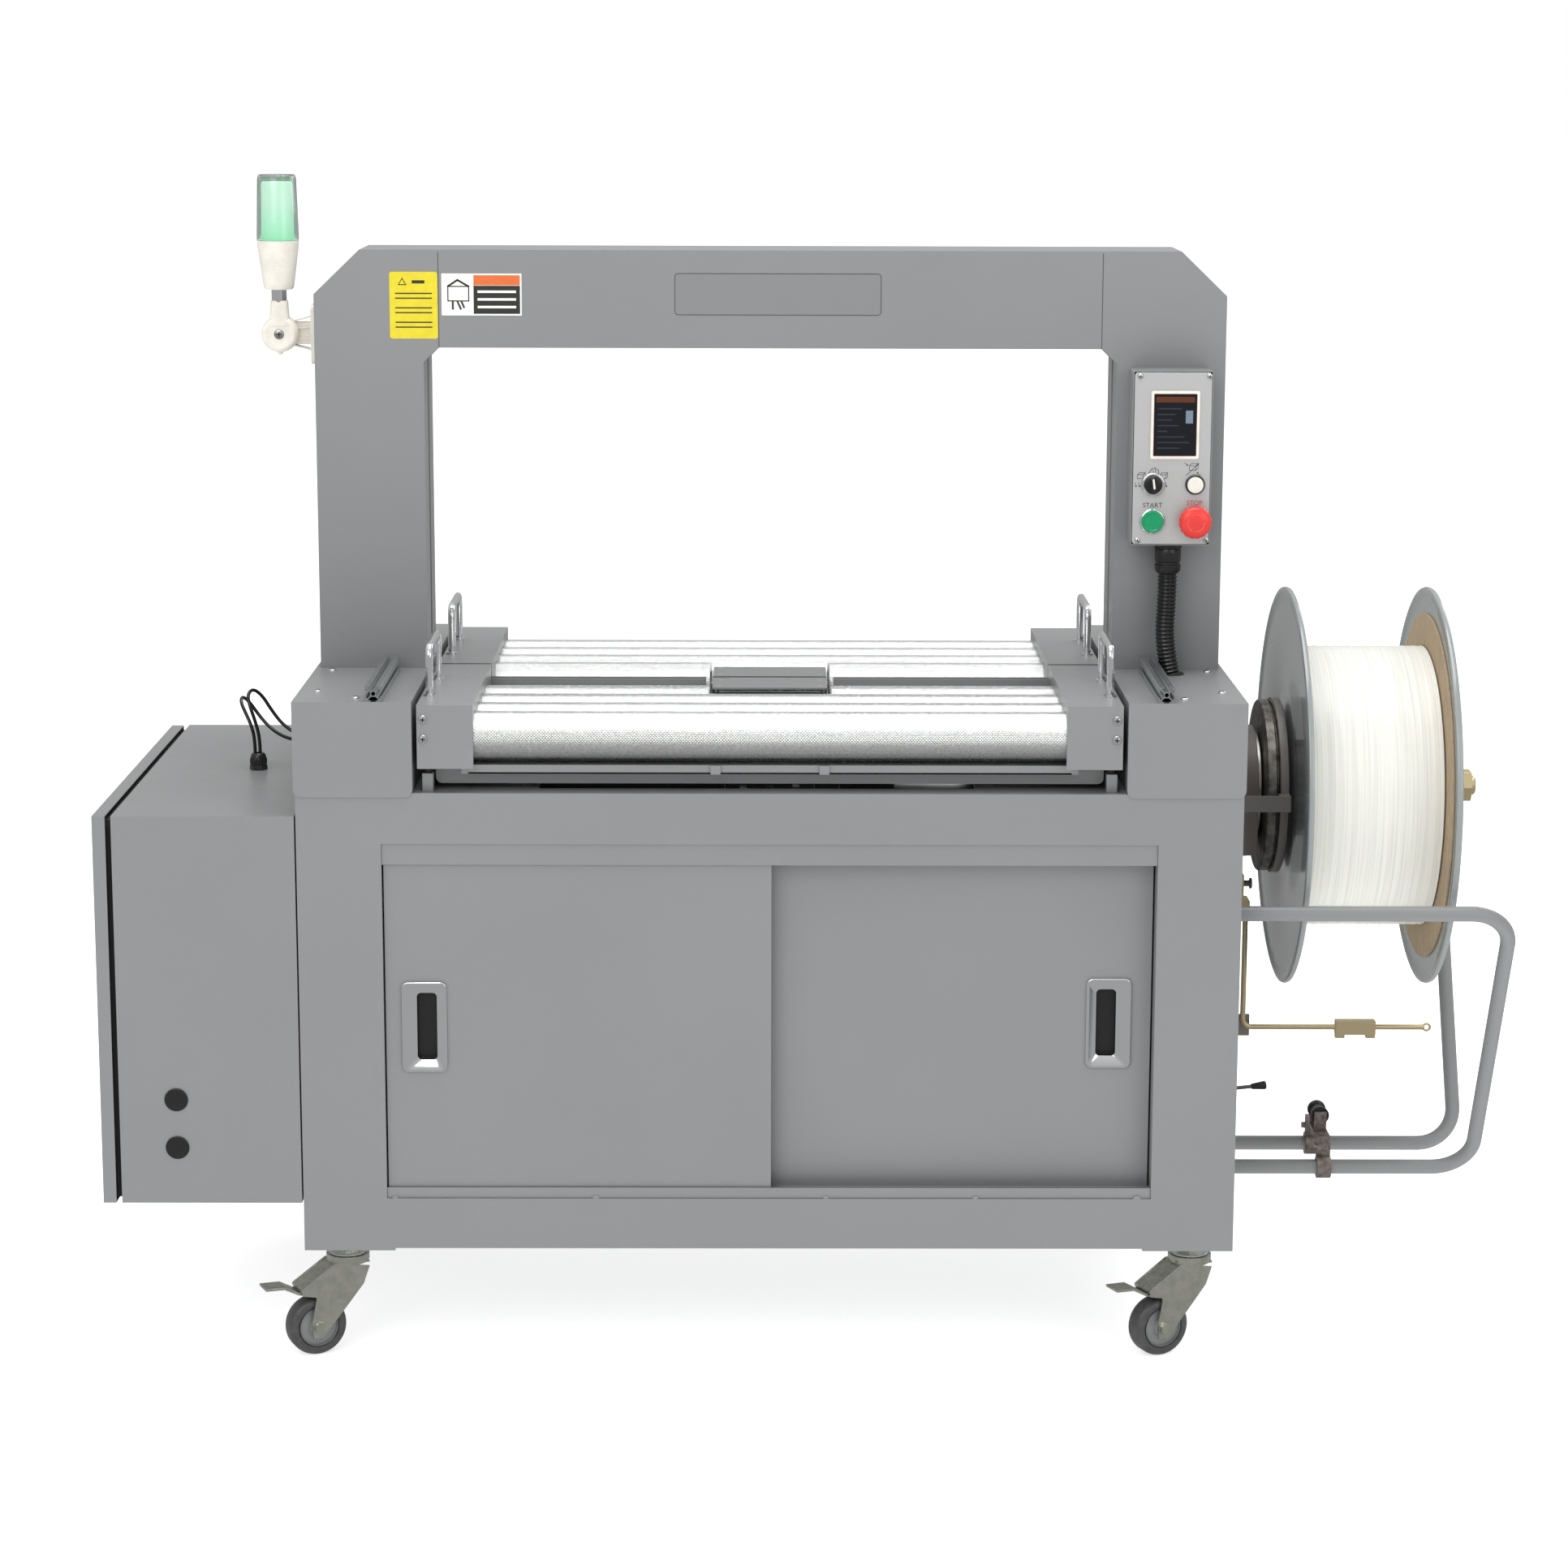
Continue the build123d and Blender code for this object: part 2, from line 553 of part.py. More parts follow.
def arch_frame():
    column = prism_xz(column_outline(0), -COLUMN_Y, COLUMN_Y)
    column -= prism_xz(column_outline(SHEET), -COLUMN_Y + SHEET, COLUMN_Y - SHEET)
    half = STRAP_SLOT / 2
    # the strap slot runs up the inner face, through the small chamfer and along the underside
    column -= block(COLUMN_IN - 1, COLUMN_IN + SHEET + 1, -half, half, DECK_Z + 20, BEAM_Z)
    column -= block(BEAM_X - 1, COLUMN_IN + SHEET + 1, -half, half, BEAM_Z - INNER_CHAMFER - SHEET,
                    BEAM_Z + SHEET + 1)
    column -= block(BEAM_X - 1, BEAM_X + SHEET + 1, -half, half, BEAM_Z - 1, BEAM_Z + 40)
    beam = shell_box(-BEAM_X, BEAM_X, -COLUMN_Y, COLUMN_Y, BEAM_Z, ARCH_TOP, SHEET)
    beam -= block(-BEAM_X - 1, BEAM_X + 1, -half, half, BEAM_Z - 1, BEAM_Z + SHEET + 1)
    beam -= block(-BEAM_X - 1, BEAM_X + 1, -half, half, BEAM_Z + 1, BEAM_Z + 40) \
        - block(-BEAM_X + SHEET + 1, BEAM_X - SHEET - 1, -half, half, BEAM_Z, BEAM_Z + 41)
    left = flip_x(column) - rod_x(CABLE_HOLE_R, -COLUMN_OUT - 1, -COLUMN_OUT + 4, 0, CABLE_HOLE_Z)
    save("arch_frame", column, left, beam)


def strap_track():
    x1 = COLUMN_IN + SHEET + 2 + TRACK_T
    z0 = ROLLER_Z - 4
    z1 = BEAM_Z + SHEET + 2 + TRACK_T
    mid_z = (z0 + z1) / 2
    ring = plate_xz(2 * x1, z1 - z0, TRACK_R, 0, mid_z, -TRACK_W / 2, TRACK_W / 2)
    ring -= plate_xz(2 * (x1 - TRACK_T), z1 - z0 - 2 * TRACK_T, TRACK_R - TRACK_T, 0, mid_z,
                     -TRACK_W, TRACK_W)
    grooved = plate_xz(2 * (x1 - TRACK_T + TRACK_GROOVE_D), z1 - z0 - 2 * (TRACK_T - TRACK_GROOVE_D),
                       TRACK_R - TRACK_T + TRACK_GROOVE_D, 0, mid_z, -TRACK_GROOVE_W / 2,
                       TRACK_GROOVE_W / 2)
    ring -= grooved
    # the lower run narrows to pass between the table halves, and stops either side of the head
    ring -= block(-HEAD_X, HEAD_X, -30, 30, z0 - 5, z0 + TRACK_T + 5)
    for y in (-1, 1):
        y0, y1 = sorted((y * TRACK_NECK / 2, y * 30))
        ring -= block(-COLUMN_IN + 2, COLUMN_IN - 2, y0, y1, z0 - 5, z0 + TRACK_R)
    ring -= block(-COLUMN_IN + 30, COLUMN_IN - 30, -30, 30, z0 - 5, z0 + 4)
    save("strap_track", ring)


# ---------------------------------------------------------------- sealing head and strap feed
def sealing_head():
    cheek = block(HEAD_X - 10, HEAD_X - 2, -HEAD_Y, HEAD_Y, HEAD_Z0 + 10, HEAD_TOP - 12)
    cheek -= rod_x(CAM_SHAFT_R + 0.2, HEAD_X - 20, HEAD_X + 5, 0, CAM_SHAFT_Z)
    foot = block(-HEAD_X, HEAD_X, -CROSS_BEAM_Y - 15, CROSS_BEAM_Y + 15, HEAD_Z0, HEAD_Z0 + 10)
    anvil = block(-HEAD_X + 2, HEAD_X - 2, -14, 14, HEAD_TOP - 12, HEAD_TOP)
    anvil -= block(-HEAD_X, HEAD_X, -7, 7, HEAD_TOP - 3, HEAD_TOP + 1)
    # three cams on one shaft lift the cutter and the two grippers
    rams = []
    cams = rod_x(CAM_SHAFT_R, -HEAD_X - 6, HEAD_X + 22, 0, CAM_SHAFT_Z)
    for n in range(3):
        x = (n - 1) * CAM_PITCH
        ram = block(x - 13, x + 13, -12, 12, CAM_SHAFT_Z + SEAL_CAM_R + 12, HEAD_TOP - 16)
        ram += rod_z(6, CAM_SHAFT_Z + SEAL_CAM_R + 8, CAM_SHAFT_Z + SEAL_CAM_R + 13, x, 0)
        rams.append(ram)
        turned = Pos(x, 0, CAM_SHAFT_Z) * Rot(120 * n, 0, 0)
        cams += turned * Pos(0, 0, 5) * Rot(0, 90, 0) * Cylinder(SEAL_CAM_R, 9)
    gearbox_x = HEAD_X + 22
    motor_x = gearbox_x + 70
    gearbox = block(gearbox_x, motor_x, -38, 38, CAM_SHAFT_Z - 45, CAM_SHAFT_Z + 45)
    motor = rod_x(SEAL_MOTOR_R, motor_x, motor_x + 130, 0, CAM_SHAFT_Z)
    motor += rod_x(SEAL_MOTOR_R - 6, motor_x + 130, motor_x + 158, 0, CAM_SHAFT_Z)
    bracket = block(HEAD_X, motor_x + 148, -38, 38, HEAD_Z0 + 2, HEAD_Z0 + 8)
    bracket += block(gearbox_x + 8, motor_x - 8, -30, 30, HEAD_Z0 + 8, CAM_SHAFT_Z - 45)
    bracket += block(motor_x + 58, motor_x + 98, -12, 12, HEAD_Z0 + 8, CAM_SHAFT_Z - SEAL_MOTOR_R)
    save("sealing_head", foot, cheek, flip_x(cheek), anvil, *rams, cams, gearbox, motor, bracket)


def feed_unit():
    y = 30.0
    z = BASE_Z + 3
    plate = block(190, 470, y, y + 10, z, z + 330)
    plate += block(190, 470, y, y + 90, z, z + 8)
    pieces = [plate]
    # two pairs of wheels pinch the strap: the lower wheel of each pair sits on its motor's shaft
    for x, r in ((260, FEED_WHEEL_R), (390, DRIVE_WHEEL_R)):
        strap_z = z + 210
        for wheel_z in (strap_z - r - 2, strap_z + r + 4):
            pieces.append(ring_y(r, 10, -12, 12, x, wheel_z))
            pieces.append(rod_y(10 - GAP, -14, y, x, wheel_z))
        motor = rod_y(FEED_MOTOR_R, y + 10, y + 150, x, strap_z - r - 2)
        pieces.append(motor + rod_y(FEED_MOTOR_R - 8, y + 150, y + 175, x, strap_z - r - 2))
    guide = block(300, 350, -8, 8, z + 196, z + 226) - block(290, 360, -4, 4, z + 206, z + 214)
    pieces.append(guide + rod_y(7, 8, y, 325, z + 211))
    # flat box that holds the slack strap
    half = POOL_T / 2
    pool = shell_box(-400, 150, -half, half, z + 40, z + 330, POOL_WALL)
    pool -= block(140, 160, -half + POOL_WALL, half - POOL_WALL, z + 200, z + 225)
    pieces.append(pool)
    for x in (-380, 100):
        pieces.append(block(x, x + 30, -half, half, z, z + 40))
    save("feed_unit", *pieces)


# ---------------------------------------------------------------- electrical cabinet
def elec_cabinet():
    body = block(CAB_X0, CAB_X1, -HALF_D, HALF_D, CAB_BOTTOM, CAB_TOP)
    body -= block(CAB_X0 - 1, CAB_X1 - SHEET, -HALF_D + SHEET, HALF_D - SHEET, CAB_BOTTOM + SHEET,
                  CAB_TOP - SHEET)
    lip = block(CAB_X0, CAB_X0 + SHEET, -HALF_D, HALF_D, CAB_BOTTOM, CAB_TOP)
    lip -= block(CAB_X0 - 1, CAB_X0 + 5, -HALF_D + 14, HALF_D - 14, CAB_BOTTOM + 14, CAB_TOP - 14)
    body += lip
    for z in (CAB_BOTTOM + 60, CAB_TOP - 60):
        body += rod_z(2.6, z - 25, z + 25, CAB_HINGE_X, CAB_HINGE_Y) \
            + block(CAB_HINGE_X, CAB_X0 + 1, CAB_HINGE_Y - 2, CAB_HINGE_Y + 2, z - 25, z - 12)
    spacers = []
    for y in (-HALF_D + 60, HALF_D - 60):
        for z in (CAB_BOTTOM + 60, CAB_TOP - 60):
            spacers.append(rod_x(12, CAB_X1, CAB_X1 + CAB_GAP, y, z))
    save("elec_cabinet", body, *spacers)


def elec_door():
    y1 = CAB_HINGE_Y
    skin = block(CAB_DOOR_X0, CAB_DOOR_X1, -HALF_D, y1, CAB_BOTTOM, CAB_TOP)
    skin -= block(CAB_DOOR_X0 + COVER_T, CAB_DOOR_X1 + 1, -HALF_D + COVER_T, y1 - COVER_T,
                  CAB_BOTTOM + COVER_T, CAB_TOP - COVER_T)
    for z in (CAB_BOTTOM + 60, CAB_TOP - 60):
        knuckle = rod_z(3.3, z - 11, z + 24, CAB_HINGE_X, CAB_HINGE_Y)
        knuckle += block(CAB_DOOR_X1 - 1, CAB_HINGE_X, y1 - 6, y1, z - 11, z + 24)
        knuckle -= rod_z(2.6 + FIT, z - 12, z + 26, CAB_HINGE_X, CAB_HINGE_Y)
        skin += knuckle
    seal = block(CAB_DOOR_X1 - 6, CAB_X0 - GAP, -HALF_D + 10, y1 - 14, CAB_BOTTOM + 10, CAB_TOP - 10)
    seal -= block(CAB_DOOR_X1 - 8, CAB_X0 + 1, -HALF_D + 18, y1 - 22, CAB_BOTTOM + 18, CAB_TOP - 18)
    latch = []
    for z in (CAB_BOTTOM + 110, CAB_TOP - 110):
        cam = rod_x(11, CAB_DOOR_X0, CAB_DOOR_X0 + 14, -HALF_D + 42, z)
        skin -= rod_x(11.2, CAB_DOOR_X0 - 1, CAB_DOOR_X0 + 5, -HALF_D + 42, z)
        latch.append(cam)
    save("elec_door", skin, seal, *latch)


def elec_components():
    x1 = CAB_X1 - SHEET - 18
    x0 = x1 - 2
    z0 = CAB_BOTTOM
    back = block(x0, x1, -290, 290, z0 + 26, CAB_TOP - 26)
    pieces = [back]
    for y in (-270, 270):
        for z in (z0 + 46, CAB_TOP - 46):
            pieces.append(rod_x(6, x1, CAB_X1 - SHEET, y, z))
    for n in range(2):
        z = z0 + 180 + n * 160
        pieces.append(block(x0 - 8, x0, -250, 250, z - 17, z + 17))
    for n in range(4):
        y = -240 + n * 52
        pieces.append(block(x0 - 90, x0 - 8, y, y + 45, z0 + 138, z0 + 222))
    pieces.append(block(x0 - 78, x0 - 8, 0, 110, z0 + 135, z0 + 225))
    pieces.append(block(x0 - 70, x0 - 8, -240, -110, z0 + 295, z0 + 385))
    pieces.append(block(x0 - 74, x0 - 8, -90, -18, z0 + 298, z0 + 382))
    pieces.append(block(x0 - 52, x0 - 8, 20, 240, z0 + 320, z0 + 362))
    trafo = block(x0 - 86, x0, 130, 240, z0 + 40, z0 + 120)
    pieces.append(trafo)
    duct = block(x0 - 50, x0, -250, 100, z0 + 60, z0 + 100)
    duct -= block(x0 - 52, x0 - 2, -248, 98, z0 + 62, z0 + 98)
    pieces.append(duct)
    save("elec_components", *pieces)


def hex_nut(across, h):
    return extrude(RegularPolygon(across / 2, 6, major_radius=False), amount=h)


def cable_fittings():
    pieces = []
    for z in (CAB_BOTTOM + 131.8, CAB_BOTTOM + 71.0):
        plug = rod_y(PLUG_R, -HALF_D - 1.8, -HALF_D, CAB_X0 + 69.5, z)
        pieces.append(fillet(plug.edges().sort_by(Axis.Y)[0], 1.0))
    gland = Pos(GLAND_X, GLAND_Y, CAB_TOP) * hex_nut(2 * GLAND_R - 2, 7)
    gland += rod_z(GLAND_R - 0.6, CAB_TOP + 7, CAB_TOP + GLAND_H - 4, GLAND_X, GLAND_Y)
    top = Pos(GLAND_X, GLAND_Y, CAB_TOP + GLAND_H - 4) * Cone(GLAND_R - 0.6, 7.5, 4,
                                                   align=(Align.CENTER, Align.CENTER, Align.MIN))
    gland += top
    gland -= rod_z(6.4, CAB_TOP + GLAND_H - 6, CAB_TOP + GLAND_H + 1, GLAND_X, GLAND_Y)
    pieces.append(gland)
    # mains inlet gland under the cabinet
    inlet_x = (CAB_X0 + CAB_X1) / 2
    inlet_y = HALF_D - 60
    inlet = Pos(inlet_x, inlet_y, CAB_BOTTOM - 6) * hex_nut(24, 6)
    inlet += rod_z(INLET_R, CAB_BOTTOM - 20, CAB_BOTTOM - 6, inlet_x, inlet_y)
    inlet -= rod_z(INLET_R / 2, CAB_BOTTOM - 22, CAB_BOTTOM - 4, inlet_x, inlet_y)
    pieces.append(inlet)
    grommet = ring_x(CABLE_HOLE_R + 2.5, CABLE_HOLE_R - 1.5, -SHOULDER_OUT - 2, -SHOULDER_OUT, 0,
                     CABLE_HOLE_Z)
    grommet += ring_x(CABLE_HOLE_R, CABLE_HOLE_R - 1.5, -SHOULDER_OUT, -SHOULDER_OUT + 4, 0,
                      CABLE_HOLE_Z)
    pieces.append(grommet)
    # conduit connector under the control box
    cx, cy = CONDUIT_TOP_X, CONDUIT_TOP_Y
    body = rod_z(CONDUIT_D / 2 + 4, CONNECTOR_Z, BOX_BOTTOM - 6, cx, cy)
    body += Pos(cx, cy, BOX_BOTTOM - 6) * hex_nut(30, 6)
    pieces.append(body)
    save("cable_fittings", *pieces)


# ---------------------------------------------------------------- cords
def route_radii(points):
    radii = []
    for a, b, c in zip(points, points[1:], points[2:]):
        one = Vector(*b) - Vector(*a)
        two = Vector(*c) - Vector(*b)
        turn = math.radians(one.get_angle(two))
        radii.append(0.45 * min(one.length, two.length) / math.tan(turn / 2))
    return radii


def cord(name, points, r):
    radii = route_radii(points)
    piece = tube(points, radii, r)
    path = FilletPolyline(*points, radius=radii)
    print(name, "length", round(path.length, 1), "volume ratio",
          round(piece.volume / (math.pi * r * r * path.length), 4),
          "radii", [round(v, 1) for v in radii])
    save(name, piece)


CONDUIT_ROUTE = [(CONDUIT_TOP_X, CONDUIT_TOP_Y, CONNECTOR_Z),
                 (CONDUIT_TOP_X, CONDUIT_TOP_Y, 930.0),
                 (CONDUIT_TOP_X - 3.5, CONDUIT_TOP_Y - 6.0, 886.0),
                 (CONDUIT_TOP_X + 3.5, CONDUIT_TOP_Y - 11.5, 840.0),
                 (CONDUIT_TOP_X + 14.0, CONDUIT_TOP_Y - 14.0, 798.0)]
CABLE_1_ROUTE = [(-657.6, -10.0, 716.0),
                 (-657.6, -10.0, 736.0),
                 (-662.5, -11.5, 758.0),
                 (-669.5, -10.0, 778.0),
                 (-673.5, -2.0, 792.0),
                 (-668.0, 9.0, 798.5),
                 (-657.0, 15.0, 789.0),
                 (-645.0, 15.0, 769.0),
                 (-630.0, 11.5, 750.0),
                 (-610.0, 7.5, 738.0),
                 (-588.0, 4.5, 734.5),
                 (-566.0, 3.5, 734.5)]
CABLE_2_ROUTE = [(-664.0, -10.5, 716.0),
                 (-664.0, -10.5, 734.0),
                 (-668.0, -8.5, 752.0),
                 (-676.0, -3.0, 768.0),
                 (-683.5, 6.5, 781.0),
                 (-683.0, 19.0, 787.0),
                 (-675.0, 27.0, 778.0),
                 (-664.0, 26.0, 762.0),
                 (-650.0, 19.0, 747.0),
                 (-632.0, 10.0, 736.0),
                 (-611.0, 1.5, 731.5),
                 (-588.0, -2.8, 733.0),
                 (-566.0, -3.5, 734.5)]


# ---------------------------------------------------------------- control box
def control_box():
    body = block(BOX_X0, BOX_X1, BOX_Y0, -COLUMN_Y, BOX_BOTTOM, BOX_TOP)
    body = fillet(body.edges().filter_by(Axis.Y), 3)
    inner = block(BOX_X0 + COVER_T, BOX_X1 - COVER_T, BOX_Y0 - 1, -COLUMN_Y - COVER_T,
                  BOX_BOTTOM + COVER_T, BOX_TOP - COVER_T)
    body -= inner
    save("control_box", body)


def control_panel():
    m = PANEL_MARGIN
    w = BOX_W - 2 * m
    h = BOX_H - 2 * m
    panel = plate_xz(w, h, 3, BOX_X0 + BOX_W / 2, BOX_BOTTOM + BOX_H / 2, PANEL_Y, BOX_Y0)
    panel -= plate_xz(SCREEN_W, SCREEN_H, 1, SCREEN_X, SCREEN_Z, PANEL_Y - 1, BOX_Y0 + 1)
    bezel = plate_xz(SCREEN_W + 2 * BEZEL, SCREEN_H + 2 * BEZEL, 2.5, SCREEN_X, SCREEN_Z,
                     PANEL_Y - 2, PANEL_Y)
    bezel -= plate_xz(SCREEN_W, SCREEN_H, 1, SCREEN_X, SCREEN_Z, PANEL_Y - 3, PANEL_Y + 1)
    display = plate_xz(SCREEN_W, SCREEN_H, 1, SCREEN_X, SCREEN_Z, PANEL_Y - 0.8, BOX_Y0 + 10)
    pieces = [bezel, display]
    left, right = CONTROL_X
    stem = BUTTON_STEM_R + FIT
    for x, z, r, out in ((left, SELECTOR_Z, SELECTOR_R, 15.0), (right, SELECTOR_Z, BUTTON_R, 12.2),
                         (left, START_Z, START_R, 16.0)):
        panel -= rod_y(stem, PANEL_Y - 1, BOX_Y0 + 1, x, z)
        pieces.append(ring_y(out, r + GAP, PANEL_Y - COLLAR_T, PANEL_Y, x, z))
        pieces.append(ring_y(13, stem, BOX_Y0, BOX_Y0 + 14, x, z))
    panel -= rod_y(stem, PANEL_Y - 1, BOX_Y0 + 1, right, START_Z)
    pieces.append(ring_y(13, stem, BOX_Y0, BOX_Y0 + 14, right, START_Z))
    save("control_panel", panel, *pieces)


def controls():
    left, right = CONTROL_X
    knob = rod_y(SELECTOR_R, PANEL_Y - 6, PANEL_Y - 0.6, left, SELECTOR_Z)
    grip = plate_xz(7, 2 * SELECTOR_R - 2, 3, left, SELECTOR_Z, PANEL_Y - 17, PANEL_Y - 5)
    stem = rod_y(BUTTON_STEM_R, PANEL_Y - 1, BOX_Y0 + 16, left, SELECTOR_Z)
    save("selector_knob", knob + grip + stem)
    for name, x, z, r, out in (("white_button", right, SELECTOR_Z, BUTTON_R, 7.5),
                               ("start_button", left, START_Z, START_R, 6.5)):
        cap = rod_y(r, PANEL_Y - out, PANEL_Y - BUTTON_TRAVEL - 0.6, x, z)
        cap = fillet(cap.edges().sort_by(Axis.Y)[0], 1.2)
        cap += rod_y(BUTTON_STEM_R, PANEL_Y - BUTTON_TRAVEL - 1, BOX_Y0 + 10, x, z)
        save(name, cap)
    head = rod_y(ESTOP_R, PANEL_Y - 22, PANEL_Y - 8, right, START_Z)
    head = fillet(head.edges().sort_by(Axis.Y)[0], 5)
    head += rod_y(12, PANEL_Y - 9, PANEL_Y - ESTOP_TRAVEL - 1, right, START_Z)
    head += rod_y(BUTTON_STEM_R, PANEL_Y - ESTOP_TRAVEL - 2, BOX_Y0 + 10, right, START_Z)
    save("estop_button", head)


# ---------------------------------------------------------------- signal tower
def tower_bracket():
    x1 = -COLUMN_OUT
    disc = rod_y(KNUCKLE_R, 0.2, KNUCKLE_T, TOWER_X, TOWER_Z)
    arm = block(TOWER_X, x1 - 5, 4, KNUCKLE_T - 2, TOWER_Z - 15, TOWER_Z + 15)
    rib = prism_xz([(TOWER_X + 10, TOWER_Z - 18), (x1 - 8, TOWER_Z - 30), (x1 - 8, TOWER_Z + 30),
                    (TOWER_X + 10, TOWER_Z + 18)], 9, 13)
    plate = block(x1 - 9, x1, -22, 22, TOWER_Z - 37.5, TOWER_Z + 37.5)
    plate = fillet(plate.edges().filter_by(Axis.X), 6)
    bolt = rod_y(4, -KNUCKLE_T - 1.5, KNUCKLE_T + 3, TOWER_X, TOWER_Z)
    bracket = disc + arm + rib + plate
    bracket -= rod_y(4, -1, KNUCKLE_T + 1, TOWER_X, TOWER_Z)
    save("tower_bracket", bracket, bolt)


def signal_tower():
    y = -KNUCKLE_T / 2
    disc = rod_y(KNUCKLE_R, -KNUCKLE_T, 0, TOWER_X, TOWER_Z)
    neck_top = TOWER_Z + TOWER_NECK_H
    neck = Pos(TOWER_X, y, (TOWER_Z + neck_top) / 2) * Box(24, KNUCKLE_T, TOWER_NECK_H)
    disc += neck
    disc -= rod_y(4 + FIT, -KNUCKLE_T - 1, 1, TOWER_X, TOWER_Z)
    tube_top = neck_top + TOWER_TUBE_H
    pole = rod_z(TOWER_TUBE_R - 0.4, neck_top, tube_top, TOWER_X, y)
    body_top = tube_top + TOWER_HOUSING_H
    body = Pos(TOWER_X, y, tube_top) * Cone(TOWER_R - 7.5, TOWER_R, TOWER_HOUSING_H,
                                            align=(Align.CENTER, Align.CENTER, Align.MIN))
    save("tower_base", disc, pole, body)
    lens = Pos(TOWER_X, y, body_top) * Cone(TOWER_R, TOWER_R - 2.2, TOWER_LENS_H,
                                            align=(Align.CENTER, Align.CENTER, Align.MIN))
    lens -= Pos(TOWER_X, y, body_top - 0.01) * Cone(TOWER_R - 2, TOWER_R - 4.2, TOWER_LENS_H - 3,
                                                    align=(Align.CENTER, Align.CENTER, Align.MIN))
    diffuser = Pos(TOWER_X, y, body_top) * Cone(TOWER_R - 5.5, TOWER_R - 7, TOWER_LENS_H - 8,
                                                align=(Align.CENTER, Align.CENTER, Align.MIN))
    save("tower_lens", lens, diffuser)


# ---------------------------------------------------------------- reel and brake
def flange(x, side, boss_w):
    disc = ring_x(FLANGE_R - RIM_R, SPINDLE_R, x - FLANGE_T / 2, x + FLANGE_T / 2, 0, REEL_Z)
    rim = Pos(x, 0, REEL_Z) * Rot(0, 90, 0) * Torus(FLANGE_R - RIM_R, RIM_R)
    hub_x = sorted((x, x + side * boss_w))
    boss = ring_x(40, SPINDLE_R, hub_x[0], hub_x[1], 0, REEL_Z)
    return disc + rim + boss


def reel():
    left = flange(REEL_X0, -1, REEL_IN - BRAKE_X - BRAKE_T)
    drum = ring_x(CORE_R - CORE_T - GAP, CORE_R - 12, REEL_X0, REEL_X1 - FLANGE_T / 2, 0, REEL_Z)
    right = flange(REEL_X1, 1, 8.0)
    shaft = rod_x(SPINDLE_R, HALF_W - 55, HALF_W + SPINDLE_END, 0, REEL_Z)
    for x0, x1 in ((REEL_X1 + 8, REEL_X1 + 20), (HALF_W + SPINDLE_END - 16, HALF_W + SPINDLE_END - 4)):
        nut = Pos(x0, 0, REEL_Z) * Rot(0, 90, 0) * hex_nut(38, x1 - x0)
        shaft += nut
    bx = HALF_W + BRAKE_X
    discs = rod_x(BRAKE_R, bx, bx + BRAKE_T * 0.45, 0, REEL_Z) \
        + rod_x(BRAKE_R - 2, bx + BRAKE_T * 0.45, bx + BRAKE_T * 0.55, 0, REEL_Z) \
        + rod_x(BRAKE_R, bx + BRAKE_T * 0.55, bx + BRAKE_T, 0, REEL_Z)
    discs -= rod_x(SPINDLE_R, bx - 1, bx + BRAKE_T + 1, 0, REEL_Z)
    save("reel_flanges", left + drum, right, shaft, discs)
    coil = ring_x(COIL_R, CORE_R, REEL_X0 + FLANGE_T / 2 + 1, REEL_X1 - FLANGE_T / 2 - CARD_T - 1, 0,
                  REEL_Z)
    save("strap_coil", coil)
    card = ring_x(CARD_R, CORE_R - CORE_T, REEL_X1 - FLANGE_T / 2 - CARD_T - 0.2,
                  REEL_X1 - FLANGE_T / 2 - 0.2, 0, REEL_Z)
    card += ring_x(CORE_R, CORE_R - CORE_T, REEL_X0 + FLANGE_T / 2 + 1,
                   REEL_X1 - FLANGE_T / 2 - CARD_T, 0, REEL_Z)
    save("coil_cardboard", card)


def brake_unit():
    x0 = HALF_W
    housing = rod_x(HOUSING_R, x0 + 3, x0 + HOUSING_L, 0, REEL_Z)
    housing += block(x0 + 3, x0 + HOUSING_L, -HOUSING_R, HOUSING_R, REEL_Z - HOUSING_R, REEL_Z)
    housing += rod_x(HOUSING_R - 20, x0 + HOUSING_L, x0 + HOUSING_L + 12, 0, REEL_Z)
    housing -= rod_x(SPINDLE_R + FIT, x0, x0 + 80, 0, REEL_Z)
    bearing = ring_x(34, SPINDLE_R + FIT, x0 - 45, x0 - 3, 0, REEL_Z)
    # brake band round the upper half of the drum, anchored at the front
    bx = HALF_W + BRAKE_X + BRAKE_T * 0.55 + 1
    band = ring_x(BRAKE_R + GAP + 2.0, BRAKE_R + GAP, bx, bx + 10, 0, REEL_Z)
    band -= block(bx - 1, bx + 11, 0, 200, REEL_Z - 200, REEL_Z)
    arm = block(x0, bx, -BRAKE_R - 22, -BRAKE_R - 16, REEL_Z - 10, REEL_Z + 10)
    arm += block(bx - 4, bx + 10, -BRAKE_R - 22, -BRAKE_R - GAP - 1.5, REEL_Z - 10, REEL_Z + 10)
    stud = rod_x(6, x0, x0 + LEVER_X - 9, 0, LEVER_PIVOT_Z)
    stud += rod_x(4, x0 + LEVER_X - 9, x0 + LEVER_X + 4, 0, LEVER_PIVOT_Z)
    stud += rod_x(7, x0 + LEVER_X + 4, x0 + LEVER_X + 7, 0, LEVER_PIVOT_Z)
    stop = block(x0, x0 + LEVER_X + 10, 8, 14, LEVER_Z - 14, LEVER_Z + 14)
    pin_x = x0 - SIDE_LEVER_IN
    fork = rod_y(3, -9, 9, pin_x, SIDE_LEVER_Z)
    for y in (-9, 6):
        fork += block(pin_x - 8, x0 - SHEET, y, y + 3, SIDE_LEVER_Z - 10, SIDE_LEVER_Z + 10)
    save("brake_unit", housing, bearing, band + arm, stud, stop, fork)


